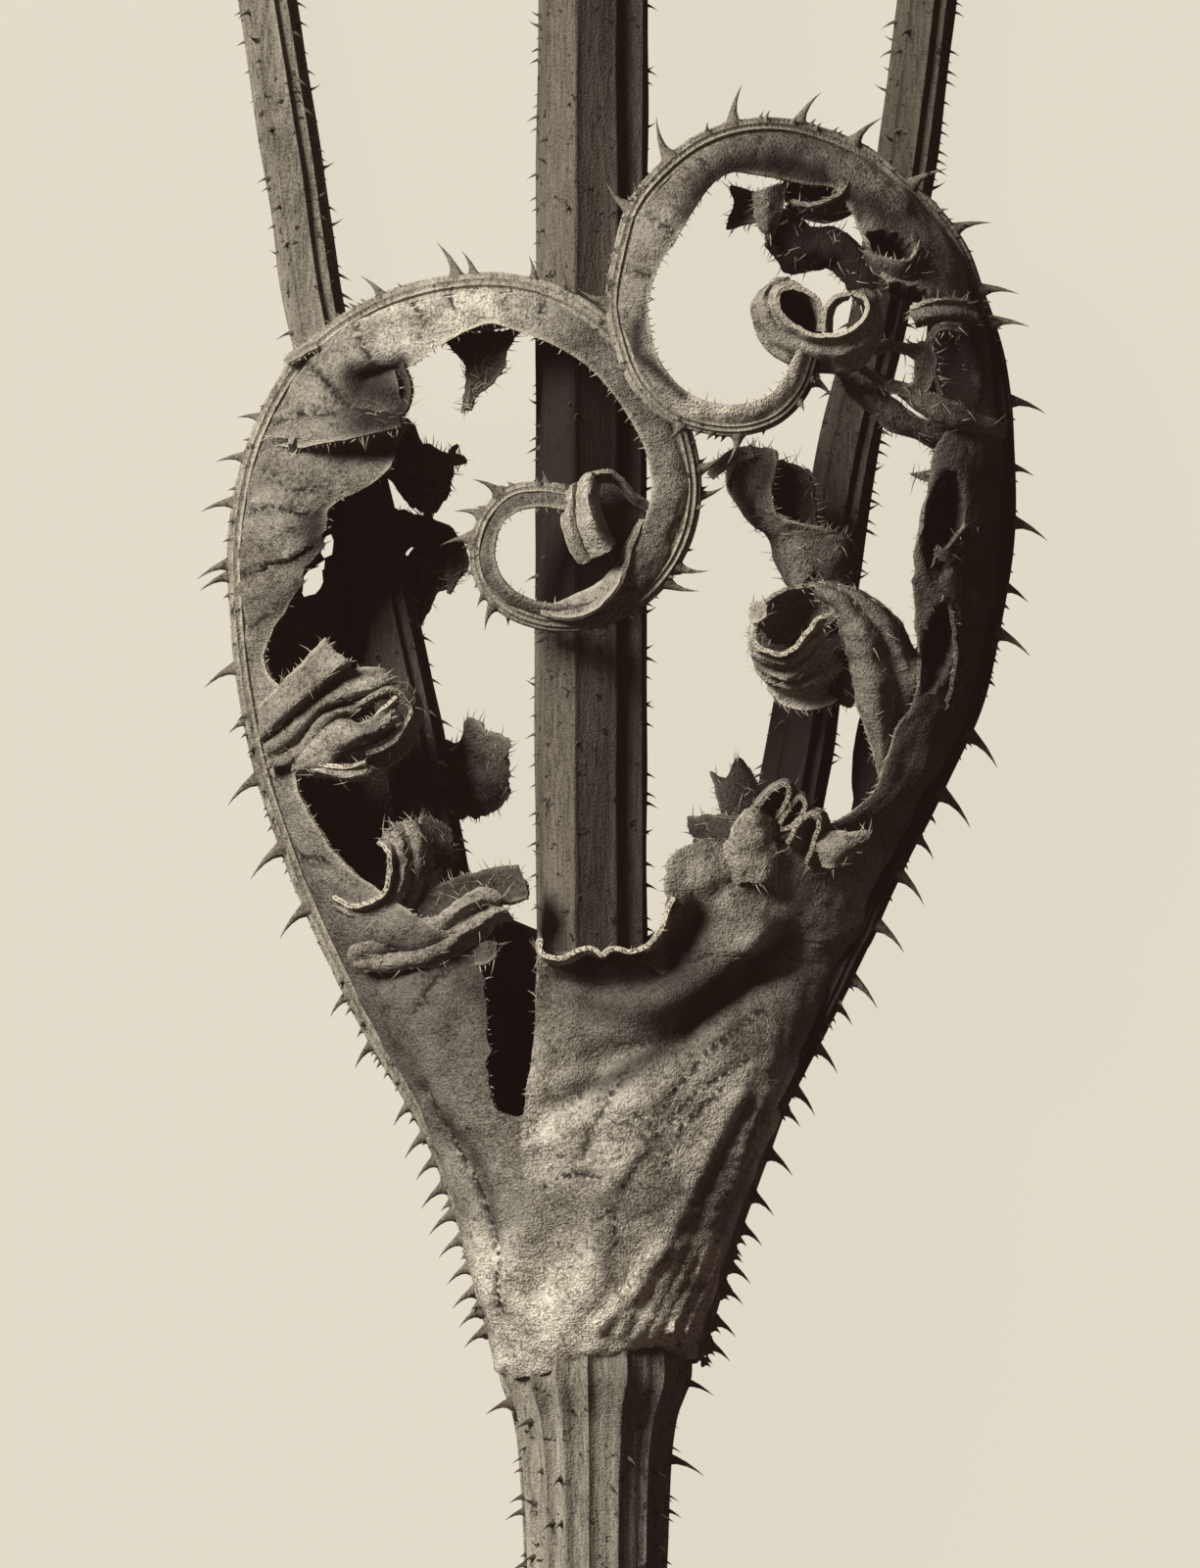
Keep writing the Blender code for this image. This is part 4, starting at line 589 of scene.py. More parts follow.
# Side veins, which are sunk a little and darker than the felt.
VEINS = [
    [(-16.2, 48.2), (-15.2, 48.6), (-14.5, 48.85), (-13.2, 48.9)],
    [(-17.3, 43.9), (-16.3, 44.1), (-15.2, 43.9), (-14.0, 43.7)],
    [(-17.9, 40.6), (-16.8, 41.1), (-15.8, 41.3), (-14.9, 41.6), (-14.2, 42.2)],
    [(-17.8, 38.0), (-17.0, 38.2), (-16.3, 38.8)],
    [(-16.6, 45.9), (-15.6, 45.3), (-14.6, 44.9), (-13.4, 45.3)],
    [(-14.6, 51.5), (-13.4, 50.3), (-12.4, 49.0)],
    [(-11.9, 53.2), (-11.6, 52.1), (-11.2, 51.5)],
    [(-9.3, 54.7), (-8.6, 53.7), (-8.2, 53.0)],
    [(-7.4, 55.0), (-6.9, 54.2)],
    [(-4.6, 55.2), (-4.4, 54.2)],
    [(-2.4, 54.7), (-2.7, 53.4)],
    [(8.6, 62.9), (8.4, 61.7)],
    [(5.4, 62.0), (6.2, 60.9)],
    [(3.0, 58.8), (4.1, 58.0)],
    [(2.0, 56.0), (3.0, 55.8)],
    [(2.6, 12.0), (4.0, 14.2), (6.2, 16.6), (8.6, 18.4)],
    [(1.5, 9.5), (3.0, 11.8), (5.5, 14.5), (8.0, 16.0)],
    [(3.4, 10.0), (4.6, 12.6), (6.6, 14.4)],
    [(-0.5, 11.0), (0.4, 13.2), (1.6, 15.2)],
    [(0.2, 7.8), (1.0, 8.6), (1.2, 6.4)],
    [(-2.6, 9.4), (-1.0, 10.2), (0.4, 10.0)],
    [(-9.0, 18.5), (-8.0, 20.0), (-6.6, 21.0)],
    [(-8.5, 14.3), (-6.8, 11.1), (-5.7, 8.9), (-4.8, 6.3), (-4.6, 3.0)],
    [(-16.9, 31.0), (-16.2, 30.6), (-15.4, 30.6)],
    [(-15.6, 27.0), (-14.6, 26.2), (-13.6, 26.2)],
]

# The cup's lower edge wavers. Its rise and fall at each x dies out over the first rows, and it lies against
# the stem as far out as the stem reaches.
BASE_ROWS = 9
BASE_RADIUS = 4.6
BASE_REACH = 4.2
BASE_EDGE = [
    (-5.1, -0.25), (-3.9, -0.6), (-2.5, -0.45), (-1.4, -0.05), (-0.6, 0.25), (1.0, 0.25), (1.95, 0.6),
    (3.2, 0.85), (4.7, 0.25), (5.6, 0.15),
]
# The cup's right flank. At each height, the x and z of its lower edge, of its shoulder and of the front's
# highest line.
CUP_BEND = [
    (0.5, 4.6, 2.6, 2.4, 4.2, 0.2, 4.75), (2.2, 5.0, 2.8, 2.4, 4.5, 0.0, 5.0),
    (5.5, 5.9, 2.9, 3.3, 4.9, 0.4, 5.5), (10.4, 7.5, 2.8, 5.6, 4.7, 0.9, 5.9),
    (13.8, 9.0, 2.4, 7.3, 4.2, 1.4, 5.9), (17.0, 10.4, 1.9, 9.0, 3.4, 3.0, 5.6),
    (20.7, 12.0, 1.5, 11.2, 2.6, 5.0, 5.0),
]
# Rough spots: the middle, how far each reaches, and how much deeper the wrinkles are there.
ROUGH_SPOTS = [
    (5.5, 25.3, 2.2, 1.6), (-1.2, 18.2, 1.6, 1.8), (8.4, 26.8, 1.5, 1.5), (14.6, 36.0, 3.0, 1.2),
    (-6.0, 22.8, 2.5, 1.0), (-10.5, 26.5, 2.0, 1.0), (3.0, 16.5, 2.5, 0.8), (-6.5, 31.0, 2.5, 1.5),
    (9.0, 44.5, 2.5, 1.0), (12.0, 58.0, 3.5, 1.0), (-15.5, 41.5, 3.5, 1.2), (-13.0, 50.0, 2.5, 0.8),
    (-8.5, 22.0, 3.0, 0.8),
]
# Holes through the left leaf and its lobes, where they hang below the stem's axis: middle, radii and turn.
# Points of the mesh out to HOLE_REACH times a hole's radius are moved to its edge.
HOLES = [(-13.5, 42.2, 0.35, 0.7, -8), (-14.25, 40.35, 0.5, 0.95, -30), (-9.25, 41.9, 0.35, 0.2, 30)]
HOLE_REACH = 1.3


def profile(points, steps):
    """Evenly spaced points along a smooth line through a few points."""
    fine = []
    for i in range(len(points) - 1):
        fine += [Vector(spot) for spot in rows_between(points, i, 12)]
    fine.append(Vector(points[-1]))
    lengths = [0.0]
    for a, b in zip(fine, fine[1:]):
        lengths.append(lengths[-1] + (b - a).length)
    made, k = [], 0
    for step in range(steps + 1):
        wanted = lengths[-1] * step / steps
        while k < len(fine) - 2 and lengths[k + 1] < wanted:
            k += 1
        share = (wanted - lengths[k]) / max(1e-9, lengths[k + 1] - lengths[k])
        made.append(fine[k].lerp(fine[k + 1], share))
    return made


def line_near(here, line, reach):
    """Whether a place is inside the box round a line, with the reach added on every side."""
    low_x, high_x = min(spot[0] for spot in line), max(spot[0] for spot in line)
    low_y, high_y = min(spot[1] for spot in line), max(spot[1] for spot in line)
    return low_x - reach < here.x < high_x + reach and low_y - reach < here.y < high_y + reach


def line_distance(here, line):
    """How far a place is from a line in x and y, on which side, and how far along from its nearer end."""
    best, side, passed, at = 99.0, 0, 0.0, 0.0
    for a, b in zip(line, line[1:]):
        start, run = Vector(a), Vector(b) - Vector(a)
        t = clamped((here - start).dot(run) / run.length_squared)
        gap = here - start - run * t
        if gap.length < best:
            best, at = gap.length, passed + run.length * t
            side = 1 if run.x * gap.y - run.y * gap.x > 0 else -1
        passed += run.length
    return best, side, min(at, passed - at)


def with_painted_shading(here, tone, painted_lines):
    """A tone with the painted shade and highlights of lines at a place: each takes its share of the tone,
    and a share below nothing adds to it.
    """
    for share, width, line in painted_lines:
        tone *= 1 - share * math.exp(-((line_distance(here, line)[0] / width) ** 2))
    return tone


def oval_share(here, x, y, wide, tall, turn):
    """How far out a place is in an oval, as a share of its radius there."""
    if abs(here.x - x) > 5 or abs(here.y - y) > 5:
        return 9.0
    off = here - Vector((x, y))
    off.rotate(Matrix.Rotation(math.radians(-turn), 2))
    return math.hypot(off.x / wide, off.y / tall)


def relief(place):
    """Height of the folds and hollows at a place on a leaf's upper face."""
    here = place.xy
    height = 0.0
    for depth, width, raised, line in RELIEF:
        if not line_near(here, line, FADE_REACH * width):
            continue
        gap, side, end = line_distance(here, line)
        if raised == 0:
            height += depth * math.exp(-((gap / width) ** 2))
        elif side == raised and gap < width:
            height += depth * (1 - gap / width) ** 2 * min(1.0, 0.25 + end)
    for *oval, depth in POCKETS:
        share = oval_share(here, *oval)
        if share < 1:
            height -= depth * (1 - share**6)
        elif share < POCKET_REACH:
            height += POCKET_LIP * (POCKET_REACH - share)
    return height


def arc(start, end, along, height, steps, reach=1.0):
    """Points over an arch from start to end, across the line of growth, out to a share of it, the reach."""
    pull = (start + end) / 2 + (end - start).cross(along).normalized() * height
    shares = [reach * i / steps for i in range(steps + 1)]
    return [start * (1 - t) ** 2 + pull * (2 * t * (1 - t)) + end * t**2 for t in shares]


def leaf_rows(stations):
    """A leaf's stations made dense, with the same number of rows in both leaves where they form the cup."""
    dense = []
    for i in range(len(stations) - 1):
        steps = max(1, round(math.dist(stations[i][0:3], stations[i + 1][0:3]) / LEAF_SPACING))
        if i < BACK_INTERVALS:
            steps = CUP_STEPS if i < CUP_INTERVALS else BACK_STEPS
        elif i < RIM_INTERVALS:
            steps = max(steps, RIM_STEPS)
        dense += rows_between(stations, i, steps)
    return dense + [list(stations[-1])]


def ragged(place, size):
    """An uneven number from about -1 to 1, for the tears along a margin."""
    return 0.7 * noise.noise(place / size) + 0.5 * noise.noise(place / (0.4 * size) + Vector((7, 0, 0)))


def leaf_grid(rows, side, tear, bend=()):
    """Rows of points across one leaf, from its upper edge over the midrib to its lower edge."""
    heights = smooth_rows([(row[0], 0, 0, *row) for row in bend], 0.2) if bend else []
    grid = []
    for i, row in enumerate(rows):
        rib, upper, lower = Vector(row[0:3]), Vector(row[3:6]), Vector(row[7:10])
        along = Vector(rows[min(i + 1, len(rows) - 1)][0:3]) - Vector(rows[max(i - 1, 0)][0:3])
        width = max(0.5, (upper - rib).length)
        reach = 1 + (row[11] * ragged(upper + tear, TEAR_WIDE) * TEAR_DEPTH) / width
        over = arc(rib, upper, along * side, row[6], UPPER_STEPS, reach)
        if bend and rib.y < bend[-1][0]:
            bent = next(spot for spot in heights if spot[3] >= rib.y)
            ways = [rib, *((bent[k], rib.y, bent[k + 1]) for k in (4, 6, 8)), upper]
            share = min(1.0, (bend[-1][0] - rib.y) / 5)
            over = [a.lerp(b, share) for a, b in zip(over, profile(ways, UPPER_STEPS))]
        under = arc(rib, lower, along * -side, row[10], LOWER_STEPS)
        grid.append(over[::-1] + under[1:])
    return grid


def wrinkle(place):
    """Height of the small wrinkles at a place. They are deeper on the rough spots."""
    depth = 1.0
    for x, y, reach, extra in ROUGH_SPOTS:
        depth += extra * math.exp(-(math.hypot(place.x - x, place.y - y) / reach) ** 2)
    heights = [height * noise.noise(place / size + Vector((size, 5, 0))) for size, height in WRINKLES]
    return depth * sum(heights)


def vein_share(place):
    """How near a place on the upper face is to a side vein, from 0 to 1."""
    here = place.xy
    near = [line_distance(here, line)[0] for line in VEINS if line_near(here, line, VEIN_REACH)]
    return math.exp(-((min(near) / VEIN_WIDE) ** 2)) if near else 0.0


def pushed_out(vert):
    """Whether a point below the stem's axis lies in a hole. It is moved to the hole's edge."""
    here = vert.co.xy
    for hole in HOLES:
        share = oval_share(here, *hole)
        if vert.co.z < 0 and share < HOLE_REACH:
            out = (here - Vector(hole[0:2])) / max(share, 0.2)
            vert.co.x, vert.co.y = hole[0] + out.x, hole[1] + out.y
            return True
    return False


def placed_mesh(name, work):
    """A finished mesh as a new object."""
    mesh = bpy.data.meshes.new(name)
    work.to_mesh(mesh)
    work.free()
    return placed(name, mesh)


def sheet(name, grids, finish, crumple=1.0, joined=0):
    """A thin closed mesh of grids of points, each with its tone, from 0 dark to 1, a flag for the way it
    faces and its own lifts. The first rows are joined to their neighbours. Gives back the mesh and the
    settled grids."""
    work = bmesh.new()
    layers = [work.verts.layers.float.new(key) for key in ("tone", "rim", "vein")]
    tone_layer, rim_layer, vein_layer = layers
    known, lift, inside, lines = {}, {}, set(), []
    for grid, tone, turned, lifts in grids:
        made = []
        for i, row in enumerate(grid):
            lengths = [0.0]
            for a, b in zip(row, row[1:]):
                lengths.append(lengths[-1] + (b - a).length)
            line = []
            for j, place in enumerate(row):
                key = tuple(round(c, 3) for c in place)
                if key not in known:
                    vert = known[key] = work.verts.new(place)
                    vert[tone_layer] = tone(i, j, place)
                    edge = min(lengths[j], lengths[-1] - lengths[j])
                    vert[rim_layer] = 0.0 if i < joined else max(0.0, 1 - edge / RIM_WIDE)
                    lift[vert] = lifts(i, j, place) if lifts else 0.0
                    if pushed_out(vert):
                        inside.add(vert)
                line.append(known[key])
            made.append(line)
        lines.append(made)
        for i in range(len(made) - 1):
            for j in range(len(made[i]) - 1):
                corners = [made[i][j], made[i][j + 1], made[i + 1][j + 1], made[i + 1][j]]
                open_patch = inside.issuperset(corners)
                if len(set(corners)) == 4 and work.faces.get(corners) is None and not open_patch:
                    work.faces.new(corners[::-1] if turned else corners)
    work.normal_update()
    for vert in work.verts:
        share = vein_share(vert.co) if vert.co.z > -0.5 else 0.0
        vert[vein_layer] = share
        upwards = (vert.normal + Vector((0, 0, 1))).normalized()
        vert.co += vert.normal * (crumple * wrinkle(vert.co) - VEIN_DEPTH * share) + upwards * lift[vert]
    settled = [[[vert.co.copy() for vert in line] for line in made] for made in lines]
    loose = [vert for vert in work.verts if not vert.link_faces]
    bmesh.ops.delete(work, geom=loose, context="VERTS")
    for vert in work.verts:
        vert.co = plant(vert.co)
    made = placed_mesh(name, work)
    thick = made.modifiers.new("Thickness", "SOLIDIFY")
    thick.thickness = BLADE * MM
    thick.offset = 0.0
    pick(made)
    bpy.ops.object.modifier_apply(modifier=thick.name)
    made.data.materials.append(finish)
    smooth_skin(made, BLADE_CREASE)
    return made, settled


def leaf_finish(name, light, dark, vein, rim):
    """Dead leaf, dull as blotting paper: a mottled felt over a fine net of veins, dark along the side
    veins.
    Its tone is painted light and shade, and its margins are paler where the tone is high: a painted
    highlight.
    The felt's hairs are too fine to show, so tufts are drawn 0.12 mm wide."""
    made, tree, shader = material(name, 0.85, 0.15)
    place = node(tree, "ShaderNodeTexCoord").outputs["Object"]
    grains = []
    for wide, detail, rough in (
        (2.4, 3.0, 0.5), (0.27, 3.0, 0.75), (0.12, 2.0, 0.6), (0.5, 2.0, 0.7), (0.28, 0.0, 0.5),
    ):
        grain = node(tree, "ShaderNodeTexNoise", {
            "Vector": place, "Scale": 1 / (wide * MM), "Detail": detail, "Roughness": rough,
        })
        grains.append(grain.outputs["Fac"])
    patches, mottle, felt, pits, dots = grains
    net = node(tree, "ShaderNodeTexVoronoi", {
        "Vector": place, "Scale": 1 / (1.3 * MM),
    }, feature="DISTANCE_TO_EDGE").outputs["Distance"]
    cell = node(tree, "ShaderNodeMapRange", {"Value": net, "From Min": 0.0, "From Max": 0.07})
    patched = node(tree, "ShaderNodeMath", {0: patches, 1: mottle}, operation="ADD")
    felted = node(tree, "ShaderNodeMath", {0: patched.outputs[0], 1: felt}, operation="ADD")
    share = node(tree, "ShaderNodeMapRange", {"Value": felted.outputs[0], "From Min": 1.2, "From Max": 1.8})
    pitted = node(tree, "ShaderNodeMapRange", {
        "Value": pits, "From Min": 0.39, "From Max": 0.33, "To Max": 0.6,
    })
    dotted = node(tree, "ShaderNodeMapRange", {"Value": dots, "From Min": 0.4, "From Max": 0.52})
    layers = [node(tree, "ShaderNodeAttribute", attribute_name=key) for key in ("vein", "rim", "tone")]
    veins, rims, tones = [layer.outputs["Fac"] for layer in layers]
    dark_vein = node(tree, "ShaderNodeMath", {0: veins, 1: dotted.outputs[0]}, operation="MULTIPLY")
    pale = node(tree, "ShaderNodeMath", {0: rims, 1: tones}, operation="MULTIPLY")
    rim_highlight = node(tree, "ShaderNodeMath", {0: pale.outputs[0], 1: 0.7}, operation="POWER")
    skin = node(tree, "ShaderNodeMix", {
        0: share.outputs[0], 6: linear(dark), 7: linear(light),
    }, data_type="RGBA")
    specked = node(tree, "ShaderNodeMix", {
        0: pitted.outputs[0], 6: skin.outputs[2], 7: linear(vein),
    }, data_type="RGBA")
    veined = node(tree, "ShaderNodeMix", {
        0: dark_vein.outputs[0], 6: specked.outputs[2], 7: linear(vein),
    }, data_type="RGBA")
    toned = node(tree, "ShaderNodeMix", {
        0: tones, 6: linear("#17120e"), 7: veined.outputs[2],
    }, data_type="RGBA")
    edged = node(tree, "ShaderNodeMix", {
        0: rim_highlight.outputs[0], 6: toned.outputs[2], 7: linear(rim),
    }, data_type="RGBA")
    tree.links.new(edged.outputs[2], shader.inputs["Base Color"])
    soft = node(tree, "ShaderNodeMath", {0: mottle, 1: 0.6}, operation="MULTIPLY")
    fuzz = node(tree, "ShaderNodeMath", {0: soft.outputs[0], 1: felt}, operation="ADD")
    rough = node(tree, "ShaderNodeBump", {
        "Height": fuzz.outputs[0], "Distance": 0.17 * MM, "Strength": 1.0,
    }).outputs["Normal"]
    netted = node(tree, "ShaderNodeBump", {
        "Height": cell.outputs[0], "Distance": 0.03 * MM, "Strength": 0.5, "Normal": rough,
    })
    tree.links.new(netted.outputs["Normal"], shader.inputs["Normal"])
    return made


leaf_skin = leaf_finish("Dead teasel leaf", "#d8d0bd", "#6a6254", "#17120d", "#b3ab97")


def upper_relief(rows, nerves):
    """Heights over a leaf's upper face: its folds, and nerves beside the midrib where it leaves the cup."""
    def height(i, j, place):
        off = UPPER_STEPS - j
        if off <= 0:
            return 0.0
        fade = clamped((22 - rows[i][1]) / 5) * max(0.0, 1 - off / 19)
        uneven = 0.6 + 0.6 * noise.noise(Vector((off * 0.9, rows[i][1] * 0.25, 3)))
        return relief(place) + nerves * fade * uneven * math.cos(2 * math.pi * off / 3)
    return height


def blade_tone(rows, under, pockets):
    """Tone over a leaf, which is painted light and shade: its stations' own with the painted shade lines,
    pockets painted black as shade, and the painted shade that darkens its lower side.
    """
    def tone(i, j, place):
        if j > UPPER_STEPS:
            return under * rows[i][12]
        here = place.xy
        if any(oval_share(here, *pocket[:5]) < POCKET_EDGE for pocket in pockets):
            return 0.0
        near = [painted_shading for painted_shading in PAINTED_SHADING_LINES if line_near(here, painted_shading[2], FADE_REACH * painted_shading[1])]
        return min(1.0, rows[i][12] * with_painted_shading(here, 1.0, near))
    return tone


# In the cup the leaves' edges are joined, and the front is eased across their seam.
EASING_TURNS = 12
left_rows, right_rows = leaf_rows(LEFT_LEAF), leaf_rows(RIGHT_LEAF)
left_grid = leaf_grid(left_rows, 1, Vector((0, 0, 0)))
right_grid = leaf_grid(right_rows, -1, Vector((0, 0, 40)), CUP_BEND)
cup_rows = CUP_INTERVALS * CUP_STEPS
back_rows = cup_rows + (BACK_INTERVALS - CUP_INTERVALS) * BACK_STEPS
joined_rows = cup_rows - 3
middle = UPPER_STEPS // 2
for i in range(back_rows):
    if i < joined_rows:
        left_grid[i][0] = right_grid[i][0] = (left_grid[i][0] + right_grid[i][0]) / 2
    left_grid[i][-1] = right_grid[i][-1] = (left_grid[i][-1] + right_grid[i][-1]) / 2
for i in range(joined_rows):
    whole = left_grid[i][middle:0:-1] + right_grid[i][:middle]
    for turn in range(EASING_TURNS):
        eased = [(a + b + c) / 3 for a, b, c in zip(whole, whole[1:], whole[2:])]
        whole = [whole[0]] + eased + [whole[-1]]
    for j in range(middle):
        left_grid[i][j] = whole[middle - j]
        right_grid[i][j] = whole[middle + j]

for grid in (left_grid, right_grid):
    for i in range(BASE_ROWS):
        share = 1 - i / BASE_ROWS
        for j in range(UPPER_STEPS):
            x = grid[i][j].x
            before = max((spot for spot in BASE_EDGE if spot[0] <= x), default=BASE_EDGE[0])
            after = min((spot for spot in BASE_EDGE if spot[0] > x), default=BASE_EDGE[-1])
            t = 0.0 if after == before else clamped((x - before[0]) / (after[0] - before[0]))
            rise = before[1] + (after[1] - before[1]) * t
            on_the_stem = math.sqrt(BASE_RADIUS**2 - min(abs(x), BASE_REACH) ** 2)
            sink = min(0.0, on_the_stem - grid[i][j].z) * share**2 - 0.2 * max(0.0, 1 - i / 3)
            grid[i][j] = grid[i][j] + Vector((0, rise * share, sink))

# Both blades are one piece. under is what a lower side keeps of its tone, which is painted shade on the
# undersides, and nerves how high its nerves stand.
blades = []
for grid, rows, turned, under, pockets, nerves in (
    (left_grid, left_rows, True, 0.3, (), 0.03), (right_grid, right_rows, False, 0.04, POCKETS, 0.2),
):
    blades.append((grid, blade_tone(rows, under, pockets), turned, upper_relief(rows, nerves)))
leaf_blades, blade_grids = sheet("leaf_pair_blades", blades, leaf_skin, joined=back_rows)
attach(leaf_blades, "root")
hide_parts("left_leaf", "right_leaf")

# Midribs. Each is a tough, grooved rod along the fold of its leaf, which keeps its curve when the blade
# shrivels. It thins towards the tip and is thinner in the cup, where it lies in the tissue.
RIB_RADIUS = 0.58
RIB_TIP_RADIUS = 0.42


def shaded_flank(x, y):
    """Painted shade on the right midrib, down the leaf's outer side, which faces away from the light."""
    return 0.92 * clamped((x - 8) / 3) * clamped((58 - y) / 3)


groove_corners = []
for i in range(12):
    groove_corners += [(30 * i, 1.1), (30 * i + 15, 0.86)]
rib_finish = rod_finish("Dead teasel midrib", "#958f80", "#4c473c", "#2b251d", 3.0)
for name, rows in (("left_midrib", LEFT_LEAF), ("right_midrib", RIGHT_LEAF)):
    stations = []
    for i, row in enumerate(rows):
        radius = RIB_RADIUS - (RIB_RADIUS - RIB_TIP_RADIUS) * max(0.0, i / len(rows) - 0.6) / 0.4
        stations.append((*row[0:3], min(radius, 0.3 + 0.015 * row[1])))
    rib = ribbed_rod(name, stations, section(name + "_section", groove_corners, 0.04, 6.0, 96), 0.35)
    weathered(rib, 0.03, 0.8, 4.0)
    paint_shade_on_rod(rib, shaded_flank)
    rib.data.materials.append(rib_finish)
    smooth_skin(rib, BARK_CREASE)
    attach(rib, "root")

# Torn and rolled lobes. The blades' margins split into lobes as they dried. Some hang open, some are
# pleated or rolled up, and both tips are wound into a band. They are the blades' own tissue.
LOBE_SPACING = 0.16
LOBE_CRUMPLE = 0.8
